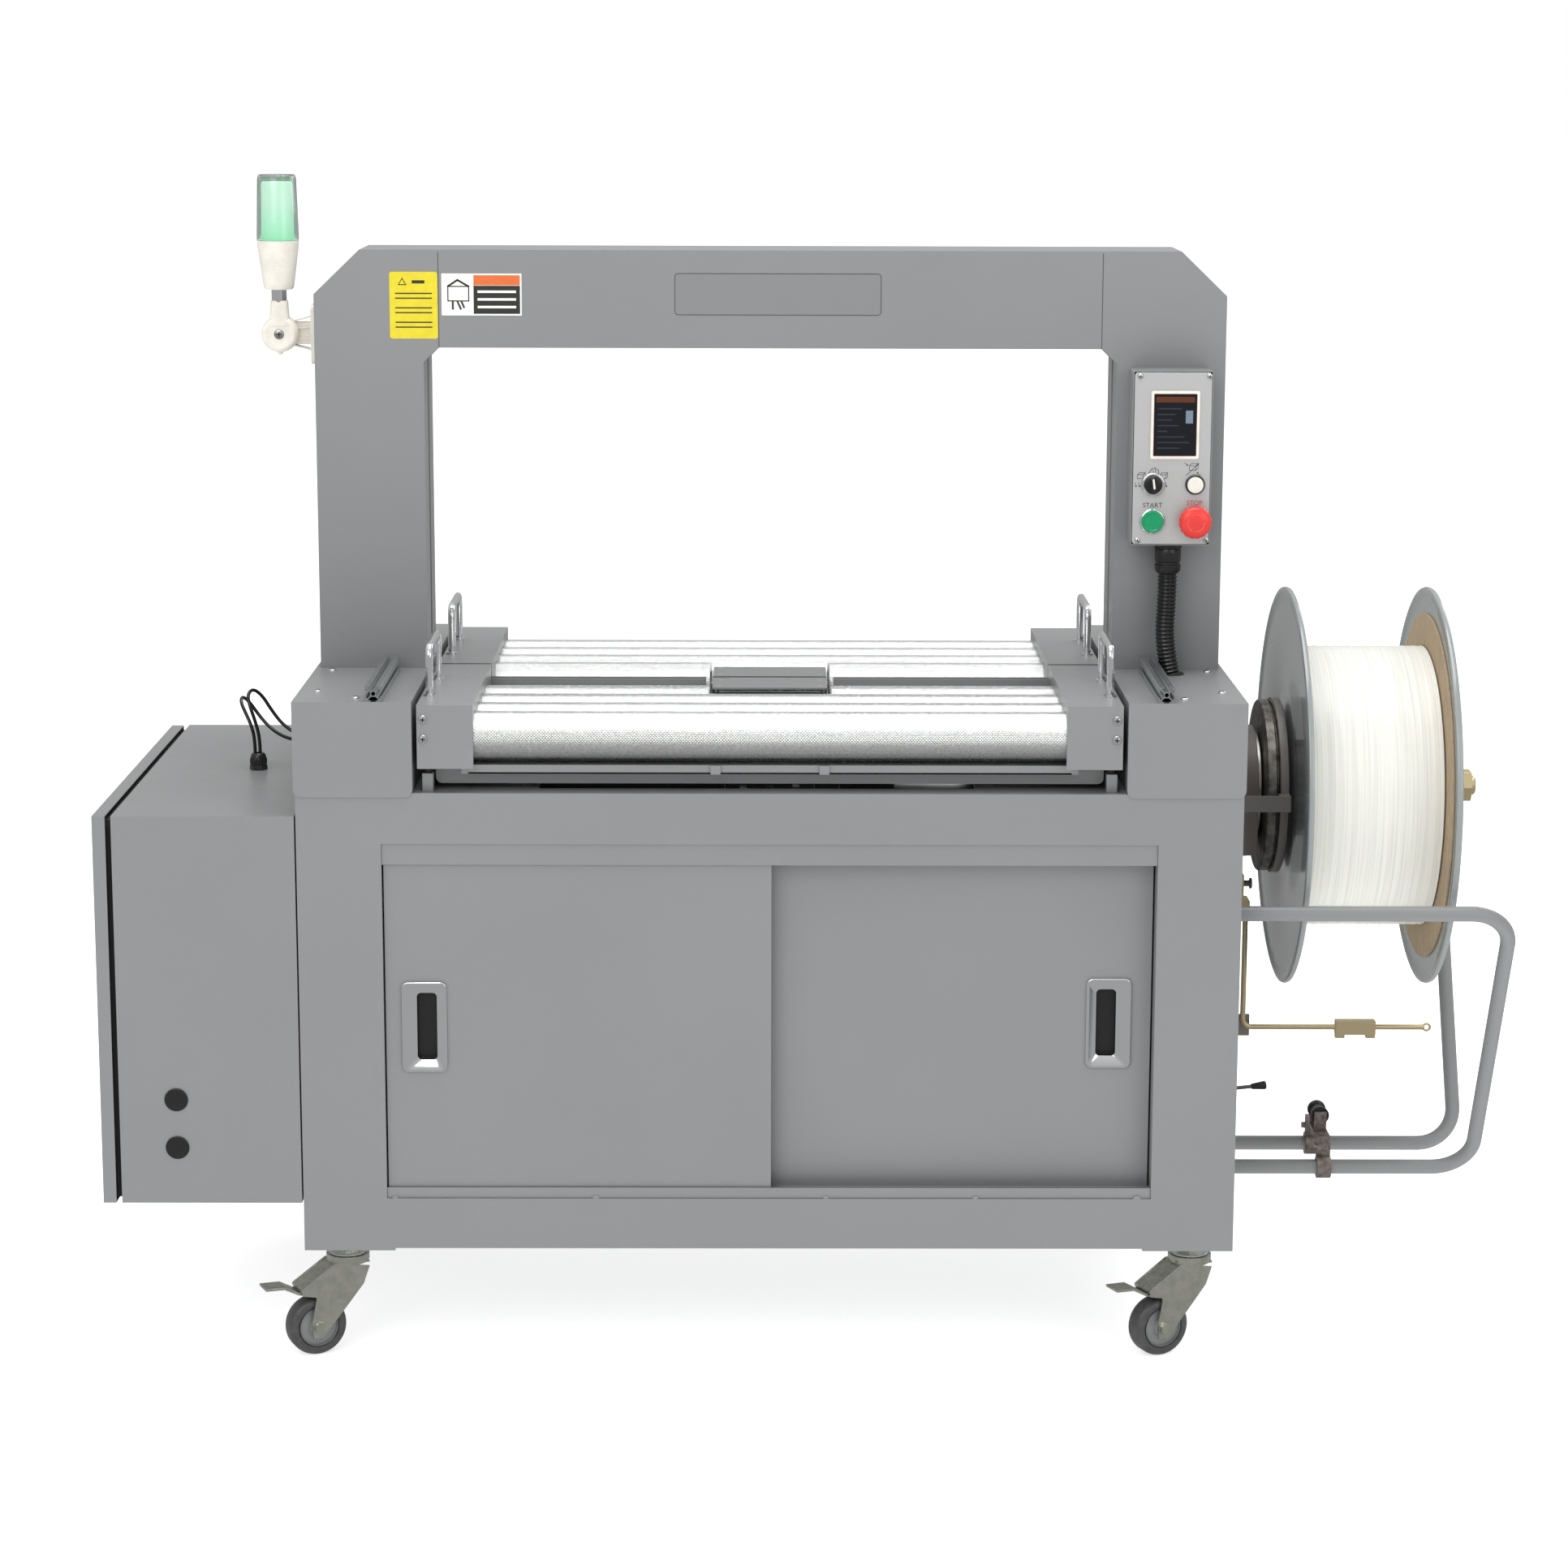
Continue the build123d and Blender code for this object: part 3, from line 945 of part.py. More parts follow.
def brake_lever():
    x = HALF_W + LEVER_X
    tip = HALF_W + LEVER_X + LEVER_LEN
    rod = tube([(x, 0, LEVER_PIVOT_Z - 26), (x, 0, LEVER_Z), (tip, 0, LEVER_Z)], 12, LEVER_R)
    crank = prism_yz([(-16, LEVER_PIVOT_Z - 34), (16, LEVER_PIVOT_Z - 34), (16, LEVER_PIVOT_Z + 14),
                      (-16, LEVER_PIVOT_Z + 14)], x - 8, x + 3)
    crank -= block(x - 5, x + 4, -20, 20, LEVER_PIVOT_Z - 20, LEVER_PIVOT_Z + 20)
    crank -= rod_x(4 + FIT, x - 20, x + 20, 0, LEVER_PIVOT_Z)
    crank -= rod_x(3, x - 20, x + 20, 9, LEVER_PIVOT_Z + 6)
    crank += rod_z(LEVER_R + 2, LEVER_PIVOT_Z - 40, LEVER_PIVOT_Z - 24, x, 0)
    slider = block(tip - 117, tip - 65, -8, 8, LEVER_Z - 9, LEVER_Z + 9)
    for lug in (tip - 117, tip - 77):
        slider += block(lug, lug + 12, -5, 5, LEVER_Z - 14, LEVER_Z - 9)
    ring = Pos(tip + 3, 0, LEVER_Z) * Rot(90, 0, 0) * Torus(4.5, 1.5)
    save("brake_lever", rod + crank + slider + ring)


def side_lever():
    up = (Align.CENTER, Align.CENTER, Align.MIN)
    x0 = HALF_W - SIDE_LEVER_IN
    lean = Pos(x0, 0, SIDE_LEVER_Z) * Rot(0, 84, 0)
    rod = lean * Cylinder(2.5, SIDE_LEVER_LEN - 10, align=up)
    knob = lean * Pos(0, 0, SIDE_LEVER_LEN - 20) * Cone(3.6, 5.6, 20, align=up)
    hub = ring_y(8, 3 + FIT, -5, 5, x0, SIDE_LEVER_Z)
    rod -= rod_y(7, -10, 10, x0, SIDE_LEVER_Z)
    save("side_lever", rod + knob + hub)


# ---------------------------------------------------------------- guard, strap guide
def guard_tubes():
    points = [(HALF_W, -GUARD_LOW_Y, GUARD_LOW_Z), (GUARD_X, -GUARD_LOW_Y, GUARD_LOW_Z),
              (GUARD_X, -GUARD_HIGH_Y, GUARD_HIGH_Z), (HALF_W, -GUARD_HIGH_Y, GUARD_HIGH_Z)]
    front = tube(points, GUARD_BEND, GUARD_R, GUARD_R - 1.5)
    save("guard_tubes", front, flip_y(front))


def strap_guide():
    x = HALF_W + GUIDE_X
    pieces = []
    for side in (-1, 1):
        y = side * GUARD_LOW_Y
        clamp = rod_x(15, x - 9, x + 9, y, GUARD_LOW_Z)
        clamp += block(x - 9, x + 9, min(y, y - side * 8), max(y, y - side * 8), GUARD_LOW_Z,
                       GUARD_LOW_Z + 34)
        clamp -= rod_x(GUARD_R + FIT, x - 12, x + 12, y, GUARD_LOW_Z)
        pieces.append(clamp)
        pieces.append(rod_x(4, x - 14, x - 9, y - side * 4, GUARD_LOW_Z + 26))
    half = SPOOL_LEN / 2
    bridge = block(x - 9, x + 9, -GUARD_LOW_Y, GUARD_LOW_Y, GUARD_LOW_Z + 34, GUARD_LOW_Z + 40)
    for side in (-1, 1):
        y0, y1 = sorted((side * (half + 0.5), side * (half + 4.5)))
        bridge += block(x - 8, x + 8, y0, y1, GUARD_LOW_Z + 38, SPOOL_Z + 6)
    bridge += rod_y(4, -half - 4, half + 4, x, SPOOL_Z)
    save("strap_guide_bracket", *pieces, bridge)
    spool = ring_y(SPOOL_R - 3, 4 + FIT, -half, half, x, SPOOL_Z)
    for side in (-1, 1):
        y0, y1 = sorted((side * half, side * (half - 4)))
        spool += ring_y(SPOOL_R, 4 + FIT, y0, y1, x, SPOOL_Z)
    save("guide_roller", spool)


# ---------------------------------------------------------------- roller tables
def table_half():
    # the front half; the rear half is its mirror image apart from the handles
    y0 = -HALF_D
    y1 = -TABLE_MID_GAP
    z0 = TABLE_TOP - COVER_H
    cover = block(TABLE_X0, TABLE_X1, y0, y1, z0, TABLE_TOP)
    cover -= block(TABLE_X0 + COVER_T, TABLE_X1 - COVER_T, y0 + COVER_T, y1 + 1, z0 - 1,
                   TABLE_TOP - COVER_T)
    for y in ROLLER_Y:
        cover -= rod_x(ROLLER_D / 2 + 1.5, TABLE_X0 - 1, TABLE_X0 + COVER_T + 1, -y, ROLLER_Z)
    cover -= block(TABLE_X0 - 1, TABLE_X0 + COVER_T + 0.5, y0 + COVER_T, y1 + 1, z0 - 1, ROLLER_Z)
    cover -= rod_x(HINGE_PIN_R + 1, TABLE_X1 - 5, TABLE_X1 + 1, -HINGE_IN, HINGE_Z)
    side = block(SIDE_PLATE_X, SIDE_PLATE_X + SIDE_PLATE_T, y0 + 6, y1 - 3, z0 + 4, TABLE_TOP - 4)
    boss = rod_x(HINGE_PIN_R + 5, SIDE_PLATE_X, TABLE_X1 - COVER_T - 0.5, -HINGE_IN, HINGE_Z - 1)
    cut = block(SIDE_PLATE_X - 1, TABLE_X1, y1 - 3, y1 + 20, z0, TABLE_TOP + 5)
    cut += block(SIDE_PLATE_X - 1, TABLE_X1, y0, y1, TABLE_TOP - COVER_T, TABLE_TOP + 10)
    side += boss - cut
    side -= rod_x(HINGE_PIN_R + FIT, TABLE_X1 - 15, TABLE_X1 + 1, -HINGE_IN, HINGE_Z)
    bearings = []
    for y in ROLLER_Y:
        side -= rod_x(BEARING_R, SIDE_PLATE_X - 1, SIDE_PLATE_X + SIDE_PLATE_T + 1, -y, ROLLER_Z)
        bearings.append(ring_x(BEARING_R, JOURNAL_R + FIT, SIDE_PLATE_X, SIDE_PLATE_X + BEARING_W, -y,
                               ROLLER_Z))
    bumper_x = TABLE_X1 - BUMPER_IN
    bumper = rod_z(BUMPER_R, BUMPER_Z, z0 + 4, bumper_x, y0 + BUMPER_BACK)
    shelf_x = SIDE_PLATE_X + SIDE_PLATE_T
    shelf = block(shelf_x, TABLE_X1 - COVER_T - 0.5, y0 + 8, y0 + 40, z0 + 4, z0 + 8)
    cross = block(-SIDE_PLATE_X, SIDE_PLATE_X, y0 + 12, y0 + 15, z0 - 8, ROLLER_Z - ROLLER_D / 2 - 2)
    for x in (-66, 66):
        cross += block(x - 6, x + 6, y0 + 9, y0 + 12, z0 - 8, z0 + 3)
    low_z = z0 - TRAY_H - 6
    tray = block(-TABLE_X1 + 20, TABLE_X1 - 20, y0 + TRAY_IN, y0 + TRAY_IN + 4, low_z, low_z + TRAY_H)
    tray = fillet(tray.edges().filter_by(Axis.Y).group_by(Axis.Z)[0], 8)
    tray += block(-SIDE_PLATE_X, SIDE_PLATE_X, y0 + 12, y0 + TRAY_IN + 4, z0 - 8, z0 - 6)
    tray += block(-SIDE_PLATE_X, SIDE_PLATE_X, y0 + TRAY_IN + 4, y0 + TRAY_IN + 90, z0 - 8, z0 - 6)
    for x in (-SIDE_PLATE_X - SIDE_PLATE_T, SIDE_PLATE_X):
        tray += block(x, x + SIDE_PLATE_T, y0 + 12, y0 + TRAY_IN + 90, z0 - 8, z0 + 4)
    # strip along the strap slot, cut away over the sealing head
    lip_z = TABLE_TOP - 18.0
    lip = block(HEAD_X + 14, SIDE_PLATE_X, y1 - 4, y1 - 1, lip_z - 22, lip_z)
    lip += block(HEAD_X + 14, SIDE_PLATE_X, y1 - 30, y1 - 4, lip_z - 22, lip_z - 20)
    screws = []
    for sx in (-1, 1):
        for z in (TABLE_TOP - 17.5, TABLE_TOP - 41.5):
            screws.append(screw_head(sx * (TABLE_X1 - 7.5), y0, z, (0, -1, 0)))
    reach = SHORT_ROLLER_GAP / 2 - 3
    plate = block(-reach, reach, y1 - 78, y1 - 4, lip_z - 1.5, lip_z)
    for sx in (-1, 1):
        x0, x1 = sorted((sx * (reach - 6), sx * (reach - 3)))
        foot = block(x0, x1, y1 - 74, y1 - 50, lip_z - 6, lip_z - 1)
        plate += foot
    belt_x = -SPROCKET_X - SPROCKET_W
    last = -ROLLER_Y[-1]
    first = -ROLLER_Y[0]
    outer = stadium(first, last, SPROCKET_R + GAP + BELT_T, belt_x)
    inner = stadium(first, last, SPROCKET_R + GAP, belt_x)
    belt = outer - inner
    return ([cover, flip_x(cover), side, flip_x(side), *bearings, *[flip_x(b) for b in bearings]],
            [bumper, flip_x(bumper), shelf, flip_x(shelf), cross, tray, lip, flip_x(lip)],
            screws, plate, belt)


def stadium(y0, y1, r, x):
    shape = block(x, x + SPROCKET_W, y0, y1, ROLLER_Z - r, ROLLER_Z + r)
    return shape + rod_x(r, x, x + SPROCKET_W, y0, ROLLER_Z) + rod_x(r, x, x + SPROCKET_W, y1, ROLLER_Z)


def handle(x, y):
    h = HANDLE_H - HANDLE_R
    half = HANDLE_SPAN / 2
    bar = tube([(x, y - half, TABLE_TOP), (x, y - half, TABLE_TOP + h), (x, y + half, TABLE_TOP + h),
                (x, y + half, TABLE_TOP)], 14, HANDLE_R)
    for foot in (y - half, y + half):
        bar += rod_z(HANDLE_R + 3, TABLE_TOP, TABLE_TOP + 2.5, x, foot)
    return bar


def tables():
    frame, cross, screws, plate, belt = table_half()
    front = [*frame, *cross, *screws, plate, belt]
    save("table_front", *front)
    save("table_rear", *[flip_y(piece) for piece in front])
    grip = handle(HANDLE_X, -HANDLE_Y)
    save("table_front_handles", grip, flip_x(grip))
    grip = handle(HANDLE_X, HANDLE_Y_REAR)
    save("table_rear_handles", grip, flip_x(grip))


def roller_tube(x0, x1, y):
    # a tube with a disc pressed into each end, and a vent hole through each disc
    tube_wall = ring_x(ROLLER_D / 2, ROLLER_D / 2 - ROLLER_WALL, x0, x1, y, ROLLER_Z)
    for cap_x in (x0, x1 - ROLLER_CAP):
        tube_wall += rod_x(ROLLER_D / 2 - ROLLER_WALL, cap_x, cap_x + ROLLER_CAP, y, ROLLER_Z)
    return tube_wall - rod_x(ROLLER_VENT_R, x0 - 1, x1 + 1, y, ROLLER_Z + ROLLER_D / 4)


def roller(y, split):
    half_gap = SHORT_ROLLER_GAP / 2
    spans = [(-ROLLER_X, ROLLER_X)]
    if split:
        spans = [(-ROLLER_X, -half_gap), (half_gap, ROLLER_X)]
    belt_x = -SPROCKET_X - SPROCKET_W
    body = rod_x(JOURNAL_R, belt_x, SIDE_PLATE_X + SIDE_PLATE_T + 3, y, ROLLER_Z)
    for x0, x1 in spans:
        body += roller_tube(x0, x1, y)
    return body + rod_x(SPROCKET_R, belt_x, -SPROCKET_X, y, ROLLER_Z)


def rollers():
    for n, y in enumerate(ROLLER_Y):
        split = n == ROLLER_COUNT - 1
        body = roller(-y, split)
        save("roller_front_" + str(n + 1), body)
        save("roller_rear_" + str(n + 1), flip_y(body))


# ---------------------------------------------------------------- casters
def caster(x, y, pedal):
    place = Pos(x, y, 0) * Rot(0, 0, 180 + CASTER_TURN)
    half = WHEEL_W / 2
    cheek_in = half + 1.5
    cheek_out = cheek_in + 2.5
    head_z = CASTER_H - 30
    outline = [(-22, head_z - 8), (-14, head_z - 30), (TRAIL - 4, WHEEL_R - 13), (TRAIL + 9, WHEEL_R - 13),
               (TRAIL + 10, WHEEL_R + 10), (TRAIL + 4, WHEEL_R + 40), (TRAIL + 22, WHEEL_R + 44),
               (TRAIL + 24, WHEEL_R + 52), (24, head_z)]
    cheek = prism_xz(outline, cheek_in, cheek_out)
    fork = cheek + flip_y(cheek)
    crown = block(-22, 24, -cheek_out, cheek_out, head_z - 3, head_z)
    crown += rod_z(25, head_z - 3, head_z, 0, 0)
    crown += prism_xz([(22, head_z - 3), (TRAIL + 24, WHEEL_R + 49), (TRAIL + 24, WHEEL_R + 52),
                       (22, head_z)], -cheek_out, cheek_out)
    fork += crown
    fork += rod_z(27, head_z, head_z + 8, 0, 0)
    axle = rod_y(AXLE_R, -cheek_out - 1, cheek_out + 1, TRAIL, WHEEL_R)
    axle += rod_y(AXLE_R + 3, cheek_out, cheek_out + 4, TRAIL, WHEEL_R)
    axle += rod_y(AXLE_R + 3, -cheek_out - 4, -cheek_out, TRAIL, WHEEL_R)
    fork += axle
    if pedal:
        fork += rod_y(PEDAL_PIN_R, -cheek_out, cheek_out, PEDAL_PIVOT[0], PEDAL_PIVOT[1])
    fork -= rod_z(STEM_R + FIT, head_z - 10, head_z + 20, 0, 0)
    stem = rod_z(STEM_R, head_z - 6, CASTER_H, 0, 0) + rod_z(STEM_R + 5, head_z - 6, head_z - 3.2, 0, 0)
    nut = Pos(0, 0, head_z + 8.3) * hex_nut(30, 12)
    stem += nut + rod_z(12, head_z + 20.3, CASTER_H, 0, 0)
    wheel = rod_y(WHEEL_R, -half, half, TRAIL, WHEEL_R)
    wheel = fillet(wheel.edges().filter_by(GeomType.CIRCLE), 6)
    wheel -= rod_y(AXLE_R + FIT, -half - 1, half + 1, TRAIL, WHEEL_R)
    for side in (-1, 1):
        y0, y1 = sorted((side * (half - 5), side * (half + 1)))
        wheel -= ring_y(WHEEL_R - 11, 11, y0, y1, TRAIL, WHEEL_R)
    lever = None
    if pedal:
        px, pz = PEDAL_PIVOT
        bar = prism_xz([(px - 6, pz - 4), (px + 8, pz - 10), (px + 14, pz - 10), (px + 28, pz - 6.5),
                        (px + 46, pz + 3), (PEDAL_REACH, pz + 4), (PEDAL_REACH, pz + 7),
                        (px + 44, pz + 6), (px + 27, pz - 3.5), (px + 5, pz + 4.5), (px - 6, pz + 4.5)],
                       -PEDAL_HALF, PEDAL_HALF)
        bar -= rod_y(PEDAL_PIN_R + FIT, -30, 30, px, pz)
        lever = place * bar
    return place * fork, place * stem, place * wheel, lever


def casters():
    stems = []
    for name, sx, sy in (("front_left", -1, -1), ("front_right", 1, -1), ("rear_left", -1, 1),
                         ("rear_right", 1, 1)):
        fork, stem, wheel, pedal = caster(sx * STEM_X, sy * STEM_Y, sy < 0)
        stems.append(stem)
        save("caster_fork_" + name, fork)
        save("caster_wheel_" + name, wheel)
        if pedal:
            save("caster_pedal_" + name, pedal)
    save("caster_stems", *stems)


# ---------------------------------------------------------------- fasteners
def screws():
    heads = []
    edge_x = SHOULDER_OUT - 23
    for x, y in ((edge_x, 81.5), (edge_x, HALF_D - 76), (SHOULDER_IN + 70, HALF_D - 28)):
        for sx in (-1, 1):
            for sy in (-1, 1):
                heads.append(screw_head(sx * x, sy * y, SHOULDER_Z, (0, 0, 1)))
    for x in (BOX_X0 + 9, BOX_X1 - 5):
        for z in (BOX_BOTTOM + 6.5, BOX_TOP - 6.5):
            heads.append(screw_head(x, PANEL_Y, z, (0, -1, 0), r=3.6))
    panel_x = OPEN_X + 10
    for x in (-panel_x, 0, panel_x):
        for z in (OPEN_Z0 - 8, OPEN_Z1 + 8):
            heads.append(screw_head(x, HALF_D + COVER_T, z, (0, 1, 0), h=1.2))
    save("screws", *heads)


# ---------------------------------------------------------------- build
def build():
    os.makedirs("parts", exist_ok=True)
    base_frame()
    deck_plate()
    door_tracks()
    doors()
    shoulder_covers()
    rail = t_slot_rail()
    save("guide_rails", rail, flip_x(rail))
    arch_frame()
    strap_track()
    sealing_head()
    feed_unit()
    elec_cabinet()
    elec_door()
    elec_components()
    cable_fittings()
    cord("conduit", CONDUIT_ROUTE, CONDUIT_D / 2)
    cord("signal_cable_1", CABLE_1_ROUTE, CABLE_R)
    cord("signal_cable_2", CABLE_2_ROUTE, CABLE_R)
    control_box()
    control_panel()
    controls()
    tower_bracket()
    signal_tower()
    reel()
    brake_unit()
    brake_lever()
    side_lever()
    guard_tubes()
    strap_guide()
    tables()
    rollers()
    casters()
    screws()


build()
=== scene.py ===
import math

import bmesh
import bpy
from mathutils import Matrix, Vector


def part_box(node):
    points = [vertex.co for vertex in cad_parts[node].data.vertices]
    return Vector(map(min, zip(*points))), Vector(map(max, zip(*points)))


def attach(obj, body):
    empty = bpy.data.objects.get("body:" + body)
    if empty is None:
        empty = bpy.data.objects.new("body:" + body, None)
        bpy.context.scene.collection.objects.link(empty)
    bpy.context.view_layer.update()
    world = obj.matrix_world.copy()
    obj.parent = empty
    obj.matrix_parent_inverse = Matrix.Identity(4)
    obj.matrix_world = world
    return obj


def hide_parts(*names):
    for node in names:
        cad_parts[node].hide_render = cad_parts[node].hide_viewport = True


bl_info = {
    "name": "Arch strapping machine", "version": (1, 0, 0), "blender": (4, 5, 0),
    "location": "3D View > Sidebar > Strapping",
    "description": "Adds the visible pieces and finishes of a roller-table arch strapping machine",
    "category": "Add Mesh",
}

MM = 0.001
WELD_REACH = 0.01 * MM  # corners nearer than this are one corner
EDGE_ANGLE = 38  # an edge sharper than this, in degrees, is rounded
FLAT_ANGLE = 1.0  # faces nearer than this, in degrees, are one flat face
REEL_RADIUS = 257 * MM  # rim of the reel, from its axis
ROOT = "machine_frame"

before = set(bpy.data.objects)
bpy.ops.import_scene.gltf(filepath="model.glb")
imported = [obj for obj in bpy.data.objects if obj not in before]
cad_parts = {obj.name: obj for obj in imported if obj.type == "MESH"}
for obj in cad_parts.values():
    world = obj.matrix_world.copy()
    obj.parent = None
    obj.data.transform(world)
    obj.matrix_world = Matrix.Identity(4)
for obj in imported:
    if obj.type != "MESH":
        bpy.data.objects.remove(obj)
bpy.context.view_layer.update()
DECK_LOW, DECK_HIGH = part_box("deck_plate")
MID_X = (DECK_LOW.x + DECK_HIGH.x) / 2
CORNERS = ("front_left", "front_right", "rear_left", "rear_right")


# ------------------------------------------------------------------ colour and sizes
def linear(hex_colour):
    """Turns an sRGB hex value into Blender's linear colour."""
    channels = [int(hex_colour[n : n + 2], 16) / 255 for n in (1, 3, 5)]
    return tuple(c / 12.92 if c <= 0.04045 else ((c + 0.055) / 1.055) ** 2.4 for c in channels)


def colour_property(name, description, hex_colour):
    return bpy.props.FloatVectorProperty(
        name=name, description=description, subtype="COLOR", size=3, min=0, max=1,
        default=linear(hex_colour),
    )


def length_property(name, description, default_mm):
    return bpy.props.FloatProperty(
        name=name, description=description, default=default_mm * MM, unit="LENGTH",
    )


class StrappingSizes(bpy.types.PropertyGroup):
    """Sizes of the surface detail that a user may want to change."""

    edge_radius: length_property("Fold radius", "Outside radius of a folded sheet edge", 1.8)
    small_edge: length_property("Small edge", "Radius of edges on small parts", 0.5)
    knurl_pitch: length_property("Knurl pitch", "Distance between the diamonds on a roller", 3.6)
    knurl_depth: length_property("Knurl depth", "Height of the diamonds on a roller", 0.55)
    rib_pitch: length_property("Conduit rib pitch", "Distance between conduit ribs", 4.8)
    rib_depth: length_property("Conduit rib depth", "Depth of the groove between ribs", 1.5)
    label_thickness: length_property("Label thickness", "Thickness of a printed film", 0.3)


class StrappingColours(bpy.types.PropertyGroup):
    """Colours of the main finishes."""

    paint: colour_property("Paint", "Powder coat of cabinets, covers and arch", "#848586")
    panel: colour_property("Control plate", "Plate that carries the screen and buttons", "#B7B8B7")
    tyre: colour_property("Tyre", "Polyurethane tread of the casters", "#454546")
    start: colour_property("Start button", "Cap of the start button", "#12915F")
    stop: colour_property("Stop button", "Mushroom head of the stop button", "#DE3A35")
    strap: colour_property("Strap", "Polypropylene strap on the reel", "#E4E4DD")
    light: colour_property("Signal light", "Lit end of the signal light", "#B6F2D2")
    card: colour_property("Cardboard", "Core and disc of the strap coil", "#AC987D")


# ------------------------------------------------------------------ nodes and materials
def add_node(tree, kind, inputs=(), **settings):
    """Adds a node; inputs maps a socket to its value or to the output that feeds it."""
    node = tree.nodes.new(kind)
    for name, value in settings.items():
        setattr(node, name, value)
    for socket, value in dict(inputs).items():
        if isinstance(value, bpy.types.NodeSocket):
            tree.links.new(value, node.inputs[socket])
        else:
            node.inputs[socket].default_value = value
    return node


def new_material(name, colour, roughness, **sockets):
    """A named material with its constants set straight on the shader."""
    material = bpy.data.materials.get(name)
    if material:
        return material, None, None
    material = bpy.data.materials.new(name)
    material.use_nodes = True
    tree = material.node_tree
    shader = tree.nodes["Principled BSDF"]
    shader.inputs["Base Color"].default_value = (*colour, 1)
    shader.inputs["Roughness"].default_value = roughness
    for socket, value in sockets.items():
        shader.inputs[socket.replace("_", " ")].default_value = value
    material.diffuse_color = (*colour, 1)
    return material, tree, shader


def noise_of(tree, size_mm, detail=3.0, stretch=(1, 1, 1)):
    """Noise whose blobs are size_mm across, in the object's own metres."""
    place = add_node(tree, "ShaderNodeTexCoord")
    stretched = add_node(
        tree, "ShaderNodeMapping", {"Vector": place.outputs["Object"], "Scale": stretch},
    )
    noise = add_node(
        tree, "ShaderNodeTexNoise",
        {
            "Vector": stretched.outputs["Vector"], "Scale": 1 / (size_mm * MM), "Detail": detail,
            "Roughness": 0.55,
        },
    )
    return noise.outputs["Fac"]


def mottle(tree, shader, fac, dark, light, low=0.35, high=0.65):
    """Lets the colour drift between two tones."""
    ramp = add_node(tree, "ShaderNodeMapRange", {"Value": fac, "From Min": low, "From Max": high})
    mix = add_node(
        tree, "ShaderNodeMix",
        {"Factor": ramp.outputs["Result"], "A": (*dark, 1), "B": (*light, 1)}, data_type="RGBA",
    )
    tree.links.new(mix.outputs["Result"], shader.inputs["Base Color"])
    return mix


def wear(tree, shader, fac, smooth, rough):
    """Lets the roughness drift between two values."""
    span = add_node(tree, "ShaderNodeMapRange", {"Value": fac, "To Min": smooth, "To Max": rough})
    tree.links.new(span.outputs["Result"], shader.inputs["Roughness"])


def relief(tree, shader, height, depth_mm, strength=1.0):
    """Bump whose height is depth_mm."""
    bump = add_node(
        tree, "ShaderNodeBump", {"Height": height, "Distance": depth_mm * MM, "Strength": strength},
    )
    tree.links.new(bump.outputs["Normal"], shader.inputs["Normal"])
    return bump


def shade(colour, factor):
    return tuple(min(1.0, c * factor) for c in colour)


def powder_coat():
    # Polyester powder coat, sprayed and baked: satin, with a faint orange peel about 2 mm across
    # and a slow drift of tone, so wide panels aren't one flat colour.
    paint = bpy.context.scene.strapping_colours.paint
    material, tree, shader = new_material("powder_coat_grey", paint, 0.36, IOR=1.5)
    if tree:
        slow = noise_of(tree, 260, 2)
        mottle(tree, shader, slow, shade(paint, 0.985), shade(paint, 1.015))
        wear(tree, shader, noise_of(tree, 60), 0.31, 0.41)
        relief(tree, shader, noise_of(tree, 2.2, 1), 0.035, 0.55)
    return material


def knurled_nickel():
    # Nickel-plated steel tube with a pressed diamond knurl: bright, each diamond a small mirror.
    # The knurl is drawn coarser than the real 1.2 mm so that it shows.
    sizes = bpy.context.scene.strapping_sizes
    material, tree, shader = new_material("knurled_nickel", linear("#E8E9E8"), 0.24, Metallic=1.0)
    if tree:
        uv = add_node(tree, "ShaderNodeUVMap", uv_map="unrolled")
        split = add_node(tree, "ShaderNodeSeparateXYZ", {"Vector": uv.outputs["UV"]})
        turns = []
        for operation in ("ADD", "SUBTRACT"):
            both = add_node(
                tree, "ShaderNodeMath", {0: split.outputs["X"], 1: split.outputs["Y"]},
                operation=operation,
            )
            turn = add_node(
                tree, "ShaderNodeMath", {0: both.outputs[0], 1: math.pi / sizes.knurl_pitch},
                operation="MULTIPLY",
            )
            wave = add_node(tree, "ShaderNodeMath", {0: turn.outputs[0]}, operation="SINE")
            turns.append(add_node(tree, "ShaderNodeMath", {0: wave.outputs[0]}, operation="ABSOLUTE"))
        diamonds = add_node(
            tree, "ShaderNodeMath", {0: turns[0].outputs[0], 1: turns[1].outputs[0]},
            operation="MULTIPLY",
        )
        relief(tree, shader, diamonds.outputs[0], sizes.knurl_depth / MM, 0.8)
        wear(tree, shader, noise_of(tree, 5, 4), 0.16, 0.36)
        mottle(tree, shader, noise_of(tree, 3, 4), linear("#DDDFDD"), linear("#FCFDFC"), 0.3, 0.7)
    return material


def chrome_plate():
    # Decorative chrome over polished steel: a clear mirror with the faintest haze.
    material, tree, shader = new_material("chrome_plate", linear("#E3E5E6"), 0.06, Metallic=1.0)
    if tree:
        wear(tree, shader, noise_of(tree, 14), 0.04, 0.1)
    return material


def turned_steel():
    # Bare mild steel off the lathe: fine rings, soft streaked shine.
    material, tree, shader = new_material("turned_steel", linear("#B4B3AF"), 0.32, Metallic=1.0)
    if tree:
        wear(tree, shader, noise_of(tree, 4), 0.24, 0.42)
        relief(tree, shader, noise_of(tree, 0.9, 1), 0.03, 0.4)
    return material


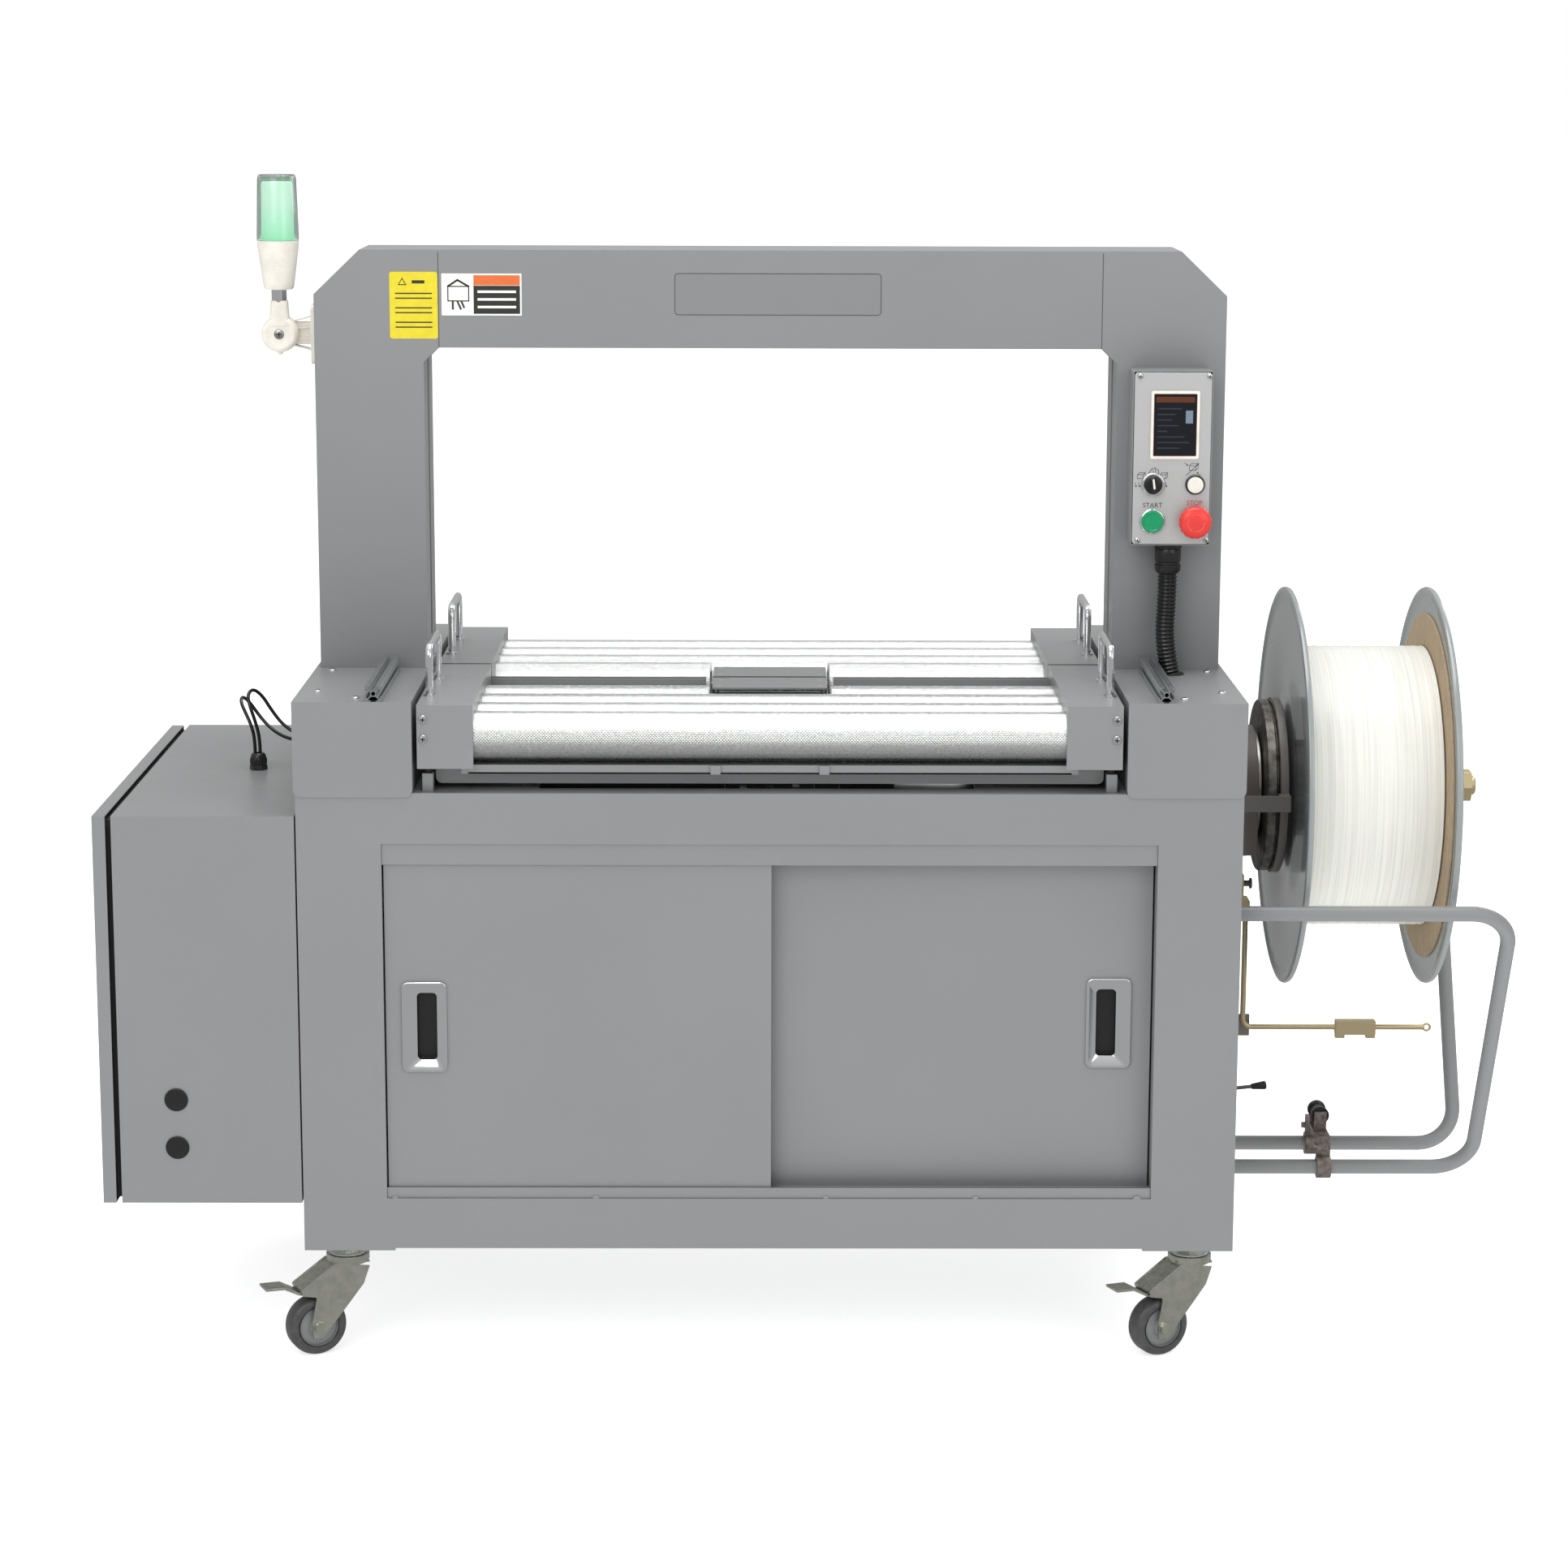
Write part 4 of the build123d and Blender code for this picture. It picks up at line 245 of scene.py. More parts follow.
def cast_iron_disc():
    # Cast and skimmed brake discs: grey-brown, dull, with darker blotches of old grease.
    material, tree, shader = new_material("cast_iron", linear("#77736E"), 0.45, Metallic=0.9)
    if tree:
        mottle(tree, shader, noise_of(tree, 16, 4), linear("#5A5652"), linear("#8F8B85"))
        wear(tree, shader, noise_of(tree, 6), 0.34, 0.6)
        relief(tree, shader, noise_of(tree, 1.6, 3), 0.08, 0.6)
    return material


def cast_bracket():
    # Sand-cast clamp with a brownish zinc wash: rough skin, half dull.
    material, tree, shader = new_material("cast_bracket", linear("#857B75"), 0.46, Metallic=0.75)
    if tree:
        mottle(tree, shader, noise_of(tree, 9, 4), linear("#6A605B"), linear("#9C938D"))
        relief(tree, shader, noise_of(tree, 1.2, 3), 0.12, 0.8)
    return material


def bright_zinc():
    # Pressed sheet with clear zinc passivation: cool grey with warm green and straw tints.
    material, tree, shader = new_material("bright_zinc", linear("#C9CAC0"), 0.27, Metallic=1.0)
    if tree:
        mottle(tree, shader, noise_of(tree, 13, 2), linear("#BFC3B4"), linear("#D2D0C6"))
        wear(tree, shader, noise_of(tree, 7), 0.2, 0.36)
        relief(tree, shader, noise_of(tree, 9, 2), 0.04, 0.3)
    return material


def yellow_zinc():
    # Yellow-passivated zinc: gold that shifts to olive and rose in patches.
    material, tree, shader = new_material("yellow_zinc", linear("#B9A255"), 0.3, Metallic=1.0)
    if tree:
        mix = mottle(tree, shader, noise_of(tree, 7, 3), linear("#9A8F45"), linear("#CDB05E"))
        patch = add_node(
            tree, "ShaderNodeMapRange",
            {"Value": noise_of(tree, 11, 2), "From Min": 0.56, "From Max": 0.7},
        )
        rose = add_node(
            tree, "ShaderNodeMix",
            {
                "Factor": patch.outputs["Result"], "A": mix.outputs["Result"],
                "B": (*linear("#B0817A"), 1),
            },
            data_type="RGBA",
        )
        tree.links.new(rose.outputs["Result"], shader.inputs["Base Color"])
        wear(tree, shader, noise_of(tree, 5), 0.24, 0.4)
    return material


def anodised_aluminium():
    # Extruded profile, clear anodised: silky, with fine lines along the extrusion.
    material, tree, shader = new_material("anodised_aluminium", linear("#B2B7B8"), 0.34, Metallic=1.0)
    if tree:
        lines = noise_of(tree, 1.0, 2, (1, 0.02, 1))
        wear(tree, shader, lines, 0.28, 0.42)
        relief(tree, shader, lines, 0.02, 0.5)
    return material


def ground_steel():
    # Machined steel of the sealing head and feed, with a thin film of oil.
    material, tree, shader = new_material("ground_steel", linear("#8D8F90"), 0.34, Metallic=1.0)
    if tree:
        wear(tree, shader, noise_of(tree, 10, 4), 0.24, 0.5)
        relief(tree, shader, noise_of(tree, 1.4, 2), 0.03, 0.5)
    return material


def plate_print(name, colour, roughness=0.35):
    # Screen-printed polyester film: flat ink under a thin clear coat.
    material, tree, shader = new_material(
        name, colour, roughness, IOR=1.52, Coat_Weight=0.3, Coat_Roughness=0.15,
    )
    if tree:
        mottle(tree, shader, noise_of(tree, 9, 2), shade(colour, 0.96), shade(colour, 1.03))
    return material


def control_plate_finish():
    # Aluminium plate with a light grey satin print: even, very fine grain.
    panel = bpy.context.scene.strapping_colours.panel
    material, tree, shader = new_material("control_plate", panel, 0.38, IOR=1.5, Metallic=0.25)
    if tree:
        mottle(tree, shader, noise_of(tree, 1.1, 2), shade(panel, 0.96), shade(panel, 1.04))
        relief(tree, shader, noise_of(tree, 0.9, 1), 0.015, 0.4)
    return material


def moulded(name, colour, roughness=0.3, texture_mm=0.8, **sockets):
    # Injection-moulded plastic: even colour, with the mould's fine texture.
    material, tree, shader = new_material(name, colour, roughness, IOR=1.5, **sockets)
    if tree:
        mottle(tree, shader, noise_of(tree, 18, 2), shade(colour, 0.95), shade(colour, 1.05))
        wear(tree, shader, noise_of(tree, 6), max(0.04, roughness - 0.05), roughness + 0.07)
        relief(tree, shader, noise_of(tree, texture_mm, 1), 0.02, 0.35)
    return material


def black_nylon():
    return moulded("black_nylon", linear("#1B1A1A"), 0.3)


def cable_pvc():
    # Soft PVC sheath, extruded: glossy black with a narrow highlight.
    return moulded("cable_pvc", linear("#131314"), 0.16)


def warm_white_abs():
    return moulded("warm_white_abs", linear("#E0DCD2"), 0.28)


def clear_polycarbonate():
    # Clear moulded cover of the signal light: glass-like, faint green edge.
    material, tree, shader = new_material(
        "clear_polycarbonate", linear("#DCEEE4"), 0.04, IOR=1.42, Transmission_Weight=1.0,
    )
    if tree:
        wear(tree, shader, noise_of(tree, 20), 0.02, 0.07)
    return material


def lit_diffuser():
    # Opal inner tube of the light: mint green where the lamp sits at the foot, paler above.
    colours = bpy.context.scene.strapping_colours
    material, tree, shader = new_material("lit_diffuser", linear("#DDF6E8"), 0.45, IOR=1.45)
    if tree:
        low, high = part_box("tower_lens")
        place = add_node(tree, "ShaderNodeTexCoord")
        split = add_node(tree, "ShaderNodeSeparateXYZ", {"Vector": place.outputs["Object"]})
        rise = add_node(
            tree, "ShaderNodeMapRange",
            {
                "Value": split.outputs["Z"], "From Min": low.z,
                "From Max": low.z + (high.z - low.z) * 0.6,
            },
        )
        mix = add_node(
            tree, "ShaderNodeMix",
            {"Factor": rise.outputs["Result"], "A": (*colours.light, 1), "B": (*linear("#E4F4EB"), 1)},
            data_type="RGBA",
        )
        tree.links.new(mix.outputs["Result"], shader.inputs["Base Color"])
        tree.links.new(mix.outputs["Result"], shader.inputs["Emission Color"])
        shader.inputs["Emission Strength"].default_value = 0.45
    return material


def strap_polypropylene():
    # Extruded strap wound in close turns: milky white, with fine lines where the turns' edges meet
    # and a little light carried under the surface. The lines are real grooves in the bump, darkened by
    # painted shade, with painted light on the ridges between them.
    colour = bpy.context.scene.strapping_colours.strap
    material, tree, shader = new_material(
        "strap_polypropylene", colour, 0.33, IOR=1.49, Subsurface_Weight=0.15,
        Subsurface_Scale=0.01,
    )
    if tree:
        turns = noise_of(tree, 2.2, 4, (1, 0.01, 0.01))
        bands = noise_of(tree, 26, 2, (1, 0.05, 0.05))
        # The colour follows the groove depth: painted shade in the grooves, painted light on the ridges.
        mottle(tree, shader, turns, shade(colour, 0.86), shade(colour, 1.06), 0.25, 0.6)
        wear(tree, shader, bands, 0.26, 0.42)
        relief(tree, shader, turns, 0.25, 0.6)
    return material


def brown_cardboard():
    # Corrugated board and a wound paper core: matt, with fibres and faint flute lines.
    colour = bpy.context.scene.strapping_colours.card
    material, tree, shader = new_material("brown_cardboard", colour, 0.85, IOR=1.4)
    if tree:
        mottle(tree, shader, noise_of(tree, 5, 5, (1, 1, 0.2)), shade(colour, 0.86), shade(colour, 1.1))
        relief(tree, shader, noise_of(tree, 3, 3, (1, 1, 0.15)), 0.12, 0.7)
    return material


def tyre_polyurethane():
    # Poured polyurethane tread, dark grey: smooth with a soft shine and a little dust.
    colour = bpy.context.scene.strapping_colours.tyre
    material, tree, shader = new_material("tyre_polyurethane", colour, 0.36, IOR=1.5)
    if tree:
        mottle(tree, shader, noise_of(tree, 10, 4), shade(colour, 0.85), shade(colour, 1.2))
        wear(tree, shader, noise_of(tree, 8, 3), 0.3, 0.5)
    return material


# ------------------------------------------------------------------ mesh building
def slab(bm, low, high, material_index=0):
    """A box between two corners."""
    low, high = Vector(low), Vector(high)
    size = high - low
    made = bmesh.ops.create_cube(bm, size=1.0)
    for vert in made["verts"]:
        vert.co = low + Vector(
            ((vert.co.x + 0.5) * size.x, (vert.co.y + 0.5) * size.y, (vert.co.z + 0.5) * size.z)
        )
    for face in {f for v in made["verts"] for f in v.link_faces}:
        face.material_index = material_index
    return made["verts"]


def in_mm(profile):
    """Turns (distance, radius) points written in mm into metres."""
    return [(a * MM, r * MM) for a, r in profile]


def across(axis):
    """Two directions square to an axis."""
    axis = Vector(axis).normalized()
    side = Vector((0, 0, 1)) if abs(axis.z) < 0.9 else Vector((1, 0, 0))
    first = side.cross(axis).normalized()
    return first, axis.cross(first).normalized()


def lathe(bm, profile, origin, axis, segments=48, material_index=0, wobble=None, uv=None):
    """Turns a profile of (distance along the axis, radius) points. A radius of 0 closes an end.
    wobble(angle, n) scales the radius of profile point n."""
    origin = Vector(origin)
    axis = Vector(axis).normalized()
    one, two = across(axis)
    rings = []
    for n, (along, radius) in enumerate(profile):
        centre = origin + axis * along
        if radius <= 0:
            rings.append([bm.verts.new(centre)])
            continue
        ring = []
        for k in range(segments):
            angle = 2 * math.pi * k / segments
            r = radius * (wobble(angle, n) if wobble else 1)
            ring.append(
                bm.verts.new(centre + one * (r * math.cos(angle)) + two * (r * math.sin(angle)))
            )
        rings.append(ring)
    reach = max(r for _, r in profile)
    for n, (a, b) in enumerate(zip(rings, rings[1:])):
        for k in range(segments):
            k2 = (k + 1) % segments
            if len(a) == 1 and len(b) == 1:
                continue
            if len(a) == 1:
                corners, marks = (a[0], b[k2], b[k]), ((n, k), (n + 1, k + 1), (n + 1, k))
            elif len(b) == 1:
                corners, marks = (a[k], a[k2], b[0]), ((n, k), (n, k + 1), (n + 1, k))
            else:
                corners = (a[k], a[k2], b[k2], b[k])
                marks = ((n, k), (n, k + 1), (n + 1, k + 1), (n + 1, k))
            face = bm.faces.new(corners)
            face.material_index = material_index
            if uv is not None:
                for loop, (row, step) in zip(face.loops, marks):
                    loop[uv].uv = (profile[row][0], step / segments * 2 * math.pi * reach)
    return rings


def ring_profile(outer, inner, low, high, edge=0.0):
    """Closed profile of a ring, with its outer edges broken by edge."""
    return [
        (low, inner), (low, outer - edge), (low + edge, outer), (high - edge, outer),
        (high, outer - edge), (high, inner), (low, inner),
    ]


def prism(bm, outline, one, two, base, depth, material_index=0):
    """Extrudes an outline of (a, b) points, placed at base + a*one + b*two, through the vector depth."""
    base, depth, one, two = Vector(base), Vector(depth), Vector(one), Vector(two)
    near = [bm.verts.new(base + one * a + two * b) for a, b in outline]
    far = [bm.verts.new(v.co + depth) for v in near]
    faces = [bm.faces.new(near[::-1]), bm.faces.new(far)]
    for k in range(len(near)):
        k2 = (k + 1) % len(near)
        faces.append(bm.faces.new((near[k], near[k2], far[k2], far[k])))
    for face in faces:
        face.material_index = material_index
    return faces


def bridge(bm, loops, closed=True, material_index=0):
    """Skins a row of loops that have the same number of points."""
    rows = [[bm.verts.new(p) for p in loop] for loop in loops]
    count = len(rows[0])
    for a, b in zip(rows, rows[1:]):
        for k in range(count if closed else count - 1):
            k2 = (k + 1) % count
            bm.faces.new((a[k], a[k2], b[k2], b[k])).material_index = material_index
    return rows


def rounded_rectangle(width, height, radius, steps=5):
    points = []
    for cx, cy, start in ((1, 1, 0), (-1, 1, 90), (-1, -1, 180), (1, -1, 270)):
        for k in range(steps + 1):
            angle = math.radians(start + 90 * k / steps)
            x = cx * (width / 2 - radius) + radius * math.cos(angle)
            y = cy * (height / 2 - radius) + radius * math.sin(angle)
            points.append((x, y))
    return points


def facing_front(outline, x, y, z):
    """Places an outline in the XZ plane at y."""
    return [Vector((x + a, y, z + b)) for a, b in outline]


def hexagon(across_flats):
    radius = across_flats / math.sqrt(3)
    return [(radius * math.cos(math.pi / 3 * k), radius * math.sin(math.pi / 3 * k)) for k in range(6)]


def finish_mesh(name, bm, materials, body, edge=0.0, sharp=32, replaces=()):
    """Makes the object, smooths its faces up to sharp degrees and puts it on its body."""
    bmesh.ops.remove_doubles(bm, verts=bm.verts, dist=1e-6)
    bmesh.ops.recalc_face_normals(bm, faces=bm.faces)
    for face in bm.faces:
        face.smooth = True
    for line in bm.edges:
        if len(line.link_faces) == 2 and line.calc_face_angle(0) > math.radians(sharp):
            line.smooth = edge > 0
    mesh = bpy.data.meshes.new(name)
    bm.to_mesh(mesh)
    bm.free()
    piece = bpy.data.objects.new(name, mesh)
    bpy.context.scene.collection.objects.link(piece)
    for material in materials if isinstance(materials, (list, tuple)) else [materials]:
        mesh.materials.append(material)
    if edge > 0:
        round_edges(piece, edge)
    return settle(piece, body, replaces)


def settle(piece, body, replaces=()):
    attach(piece, body)
    if replaces:
        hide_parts(*replaces)
    return piece


def round_edges(piece, width, segments=3):
    bevel = piece.modifiers.new("folded edge", "BEVEL")
    bevel.width = width
    bevel.segments = segments
    bevel.limit_method = "ANGLE"
    bevel.angle_limit = math.radians(EDGE_ANGLE)
    bevel.use_clamp_overlap = True
    bevel.harden_normals = True


def dress(node, material, edge=0.0):
    """Gives a CAD node its material, and rounds its folded edges without touching its mesh."""
    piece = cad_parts[node]
    piece.data.materials.clear()
    piece.data.materials.append(material)
    if edge > 0:
        weld = piece.modifiers.new("weld", "WELD")
        weld.merge_threshold = WELD_REACH
        flat = piece.modifiers.new("flat faces", "DECIMATE")
        flat.decimate_type = "DISSOLVE"
        flat.angle_limit = math.radians(FLAT_ANGLE)
        round_edges(piece, edge)
    return piece


def middle(node):
    low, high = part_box(node)
    return (low + high) / 2


# ------------------------------------------------------------------ places taken from the frame
def span(node):
    """Lowest and highest corner of a CAD node."""
    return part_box(node)


def islands(node):
    """Boxes of the separate solids of a CAD node."""
    bm = bmesh.new()
    bm.from_mesh(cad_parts[node].data)
    bmesh.ops.remove_doubles(bm, verts=bm.verts, dist=WELD_REACH)
    left = set(bm.verts)
    found = []
    while left:
        seed = left.pop()
        stack, group = [seed], [seed]
        while stack:
            for line in stack.pop().link_edges:
                for vert in line.verts:
                    if vert in left:
                        left.discard(vert)
                        stack.append(vert)
                        group.append(vert)
        low = Vector([min(v.co[k] for v in group) for k in range(3)])
        high = Vector([max(v.co[k] for v in group) for k in range(3)])
        found.append((low, high))
    bm.free()
    return sorted(found, key=lambda box: tuple(round(c, 4) for c in box[0]))


def outward(low, high):
    """Axis along a thin solid's thickness, pointing away from the machine's middle."""
    size, centre = high - low, (low + high) / 2
    thin = min(range(3), key=lambda k: size[k])
    away = Vector((0, 0, 0))
    away[thin] = 1.0 if thin == 2 or centre[thin] > (MID_X if thin == 0 else 0) else -1.0
    return away, thin


# ------------------------------------------------------------------ operators: sheet metal
class STRAPPING_OT_sheet_metal(bpy.types.Operator):
    """Paints the welded cabinet, arch, shoulder covers, tracks and electrical cabinet"""

    bl_idname = "strapping.sheet_metal"
    bl_label = "Sheet metal"

    def execute(self, context):
        paint = powder_coat()
        edge = context.scene.strapping_sizes.edge_radius
        for node, share in (
            ("base_frame", 0.5), ("deck_plate", 0.4), ("door_tracks", 0.35),
            ("shoulder_covers", 0.7), ("arch_frame", 1.0), ("elec_cabinet", 0.45),
            ("elec_door", 0.7), ("control_box", 0.5), ("guard_tubes", 0),
        ):
            dress(node, paint, edge * share)
        return {"FINISHED"}


class STRAPPING_OT_arch_trim(bpy.types.Operator):
    """Adds the seams of the arch beam, its blank nameplate and two plain labels"""

    bl_idname = "strapping.arch_trim"
    bl_label = "Arch seams and labels"

    def execute(self, context):
        low, high = span("arch_frame")
        film = context.scene.strapping_sizes.label_thickness
        face = low.y
        seam = moulded("joint_shadow", linear("#4B4D4D"), 0.6)
        bm = bmesh.new()
        beam_drop, beam_reach, line = 121.8 * MM, 415 * MM, 0.5 * MM
        for side in (-1, 1):
            x = MID_X + side * beam_reach
            slab(
                bm, (x - line, face - 0.15 * MM, high.z - beam_drop),
                (x + line, face + MM, high.z - 3 * MM),
            )
        finish_mesh("arch_seams", bm, seam, ROOT)

        rim = plate_print("nameplate_rim", linear("#3E444B"))
        field = new_material("nameplate_field", linear("#808182"), 0.36)[0]
        bm = bmesh.new()
        centre = Vector((MID_X + 9.2 * MM, face, high.z - 54.5 * MM))
        width, height, corner, border = 258.5 * MM, 52 * MM, 5 * MM, 0.9 * MM
        for n, (inset, rise) in enumerate(((0, film), (border, film + 0.1 * MM))):
            outline = rounded_rectangle(width - 2 * inset, height - 2 * inset, corner - inset)
            base = centre + Vector((0, 0, 0))
            prism(bm, outline, (1, 0, 0), (0, 0, 1), base, (0, -rise, 0), n)
        finish_mesh("nameplate", bm, [rim, field], ROOT)

        yellow = plate_print("label_yellow", linear("#DCCB1E"))
        ink = plate_print("label_ink", linear("#2A2A24"))
        white = plate_print("label_white", linear("#EDEDEA"))
        orange = plate_print("label_orange", linear("#D96A2E"))
        bm = bmesh.new()
        x, z = MID_X - 446 * MM, high.z - 69 * MM
        prism(
            bm, rounded_rectangle(60 * MM, 83 * MM, 3 * MM), (1, 0, 0), (0, 0, 1), (x, face, z),
            (0, -film, 0),
        )
        for n in range(9):
            row = z + (14 - 6 * n) * MM
            if n % 3 == 2:
                continue
            slab(
                bm, (x - 23 * MM, face - film - 0.08 * MM, row),
                (x + 23 * MM, face, row + 1.6 * MM), 1,
            )
        triangle = [(-5.5 * MM, -4 * MM), (5.5 * MM, -4 * MM), (0, 5.5 * MM)]
        prism(
            bm, triangle, (1, 0, 0), (0, 0, 1), (x - 14 * MM, face, z + 29 * MM),
            (0, -film - 0.08 * MM, 0), 1,
        )
        inner = [(-3.6 * MM, -2.9 * MM), (3.6 * MM, -2.9 * MM), (0, 3.4 * MM)]
        prism(
            bm, inner, (1, 0, 0), (0, 0, 1), (x - 14 * MM, face, z + 29 * MM),
            (0, -film - 0.14 * MM, 0), 0,
        )
        slab(
            bm, (x - 2 * MM, face - film - 0.08 * MM, z + 27 * MM),
            (x + 14 * MM, face, z + 31 * MM), 1,
        )
        finish_mesh("label_left", bm, [yellow, ink], ROOT)

        bm = bmesh.new()
        x0, x1 = MID_X - 411 * MM, MID_X - 311 * MM
        z0, z1 = high.z - 81.5 * MM, high.z - 29.5 * MM
        mid = x0 + 40 * MM
        slab(bm, (x0, face - film, z0), (x1, face + MM, z1), 0)
        top = face - film - 0.08 * MM
        slab(bm, (mid, top, z0 + 2 * MM), (x1 - 2 * MM, face, z1 - 15 * MM), 1)
        slab(bm, (mid, top, z1 - 14.5 * MM), (x1 - 2 * MM, face, z1 - 2 * MM), 2)
        for n in range(3):
            row = z1 - (21 + 9.5 * n) * MM
            slab(bm, (mid + 5 * MM, top - 0.08 * MM, row - 3 * MM), (x1 - 7 * MM, face, row), 0)
        box_front = [(8, 18), (34, 18), (34, 36), (8, 36)]
        for k, (a, b) in enumerate(box_front):
            c, d = box_front[(k + 1) % 4]
            stroke(bm, (x0, top, z0), (a, b), (c, d), 1.4, 1)
        for a, b, c, d in (
            (8, 36, 20, 44), (34, 36, 20, 44), (14, 8, 14, 17), (24, 8, 20, 17), (28, 10, 25, 17),
        ):
            stroke(bm, (x0, top, z0), (a, b), (c, d), 2.4, 1)
        finish_mesh("label_right", bm, [white, ink, orange], ROOT)
        return {"FINISHED"}


def stroke(bm, origin, start, end, width, material_index=0, depth=0.12):
    """A flat printed line on a face that looks to the front; places are in mm from origin."""
    origin = Vector(origin)
    a = Vector((start[0], 0, start[1])) * MM
    b = Vector((end[0], 0, end[1])) * MM
    along = (b - a).normalized()
    half = Vector((along.z, 0, -along.x)) * (width * MM / 2)
    tip = along * (width * MM * 0.35)
    corners = [a - tip - half, b + tip - half, b + tip + half, a - tip + half]
    near = [bm.verts.new(origin + c + Vector((0, -depth * MM / 2, 0))) for c in corners]
    far = [bm.verts.new(origin + c + Vector((0, depth * MM, 0))) for c in corners]
    faces = [bm.faces.new(near), bm.faces.new(far[::-1])]
    for k in range(4):
        faces.append(bm.faces.new((near[k], near[(k + 1) % 4], far[(k + 1) % 4], far[k])))
    for face in faces:
        face.material_index = material_index


def holed_plate(bm, xs, zs, y0, y1, hole, material_index=0):
    """A plate in the XZ plane cut into cells by xs and zs; the cell numbered hole is left open."""
    cells = {(i, k) for i in range(len(xs) - 1) for k in range(len(zs) - 1)} - {hole}

    def quad(*corners):
        bm.faces.new([bm.verts.new(c) for c in corners]).material_index = material_index

    for i, k in cells:
        a, b, c, d = xs[i], xs[i + 1], zs[k], zs[k + 1]
        quad((a, y0, c), (b, y0, c), (b, y0, d), (a, y0, d))
        quad((a, y1, c), (a, y1, d), (b, y1, d), (b, y1, c))
        for (di, dk), (p, q) in (
            ((-1, 0), ((a, c), (a, d))), ((1, 0), ((b, d), (b, c))), ((0, -1), ((b, c), (a, c))),
            ((0, 1), ((a, d), (b, d))),
        ):
            if (i + di, k + dk) not in cells:
                quad((p[0], y0, p[1]), (q[0], y0, q[1]), (q[0], y1, q[1]), (p[0], y1, p[1]))


class STRAPPING_OT_sliding_doors(bpy.types.Operator):
    """Adds the two sliding doors with their sunk chrome pulls"""

    bl_idname = "strapping.sliding_doors"
    bl_label = "Sliding doors"

    def execute(self, context):
        paint = powder_coat()
        sheet, proud = 1.5 * MM, 2 * MM
        for node, body, side in (("door_left", "left_door", -1), ("door_right", "right_door", 1)):
            low, high = span(node)
            y0 = low.y + proud
            pull_edge = 19 * MM if side < 0 else 24 * MM
            pull_w, pull_h = 56 * MM, 114 * MM
            edge = low.x if side < 0 else high.x
            pull_x = edge - side * (pull_edge + pull_w / 2)
            pull_z = low.z + 212.5 * MM
            bm = bmesh.new()
            xs = [low.x, pull_x - pull_w / 2 + 4 * MM, pull_x + pull_w / 2 - 4 * MM, high.x]
            zs = [low.z, pull_z - pull_h / 2 + 4 * MM, pull_z + pull_h / 2 - 4 * MM, high.z]
            holed_plate(bm, xs, zs, y0, y0 + sheet, (1, 1))
            back = high.y
            slab(bm, (low.x, y0 + sheet, low.z), (low.x + sheet, back, high.z))
            slab(bm, (high.x - sheet, y0 + sheet, low.z), (high.x, back, high.z))
            slab(bm, (low.x, y0 + sheet, low.z), (high.x, back, low.z + sheet))
            slab(bm, (low.x, y0 + sheet, high.z - sheet), (high.x, back, high.z))
            finish_mesh(node + "_panel", bm, paint, body, 0.6 * MM, replaces=[node])

            bm = bmesh.new()
            slot_w, slot_h, toward = 24 * MM, 84 * MM, -side * 3 * MM
            rings = (
                (pull_w, pull_h, 8, 0, -0.2), (pull_w, pull_h, 8, 0, -2.4),
                (pull_w - 2 * MM, pull_h - 2 * MM, 7, 0, -3.3),
                (pull_w - 7 * MM, pull_h - 7 * MM, 5.5, 0, -3.3),
                (slot_w + 3 * MM, slot_h + 3 * MM, 6, toward, 3.0),
                (slot_w, slot_h, 5, toward, 3.6),
            )
            loops = [
                facing_front(rounded_rectangle(w, h, r * MM), pull_x + dx, y0 + y * MM, pull_z)
                for w, h, r, dx, y in rings
            ]
            bridge(bm, loops)
            inside = [
                facing_front(
                    rounded_rectangle(slot_w, slot_h, 5 * MM), pull_x + toward, y0 + y * MM, pull_z,
                )
                for y in (3.6, 12.5)
            ]
            rows = bridge(bm, inside, material_index=1)
            bm.faces.new(rows[-1]).material_index = 1
            finish_mesh(
                node + "_pull", bm, [chrome_plate(), black_nylon()], body, 0.5 * MM,
            )
        return {"FINISHED"}


class STRAPPING_OT_weld_beads(bpy.types.Operator):
    """Adds the tack welds on the bottom door track"""

    bl_idname = "strapping.weld_beads"
    bl_label = "Weld beads"

    def execute(self, context):
        low, high = span("door_tracks")
        bm = bmesh.new()
        for x, size in ((-214, 3.4), (70, 3.0), (255, 3.2), (455, 4.2), (-462, 3.0)):
            centre = Vector((MID_X + x * MM, low.y - 0.4 * MM, low.z + 0.8 * MM))
            made = bmesh.ops.create_icosphere(bm, subdivisions=3, radius=size * MM)
            for k, vert in enumerate(made["verts"]):
                p = vert.co
                bump = 1 + 0.14 * math.sin(p.x * 1900 + size) * math.cos(p.z * 1700 + x)
                vert.co = centre + Vector((p.x * 1.35 * bump, p.y * 0.5, p.z * 0.85 * bump))
        finish_mesh("weld_beads", bm, powder_coat(), ROOT, sharp=80)
        return {"FINISHED"}


class STRAPPING_OT_door_seal(bpy.types.Operator):
    """Adds the black foam seal behind the electrical cabinet's door"""

    bl_idname = "strapping.door_seal"
    bl_label = "Cabinet door seal"

    def execute(self, context):
        low, high = span("elec_door")
        foam = moulded("seal_foam", linear("#141414"), 0.85)
        bm = bmesh.new()
        x0, x1 = low.x + 15.5 * MM, low.x + 22.4 * MM
        inset, width = 6 * MM, 12 * MM
        y0, y1, z0, z1 = low.y + inset, high.y - inset, low.z + inset, high.z - inset
        slab(bm, (x0, y0, z0), (x1, y1, z0 + width))
        slab(bm, (x0, y0, z1 - width), (x1, y1, z1))
        slab(bm, (x0, y0, z0), (x1, y0 + width, z1))
        slab(bm, (x0, y1 - width, z0), (x1, y1, z1))
        finish_mesh("cabinet_seal", bm, foam, "cabinet_door", 0.8 * MM)
        return {"FINISHED"}


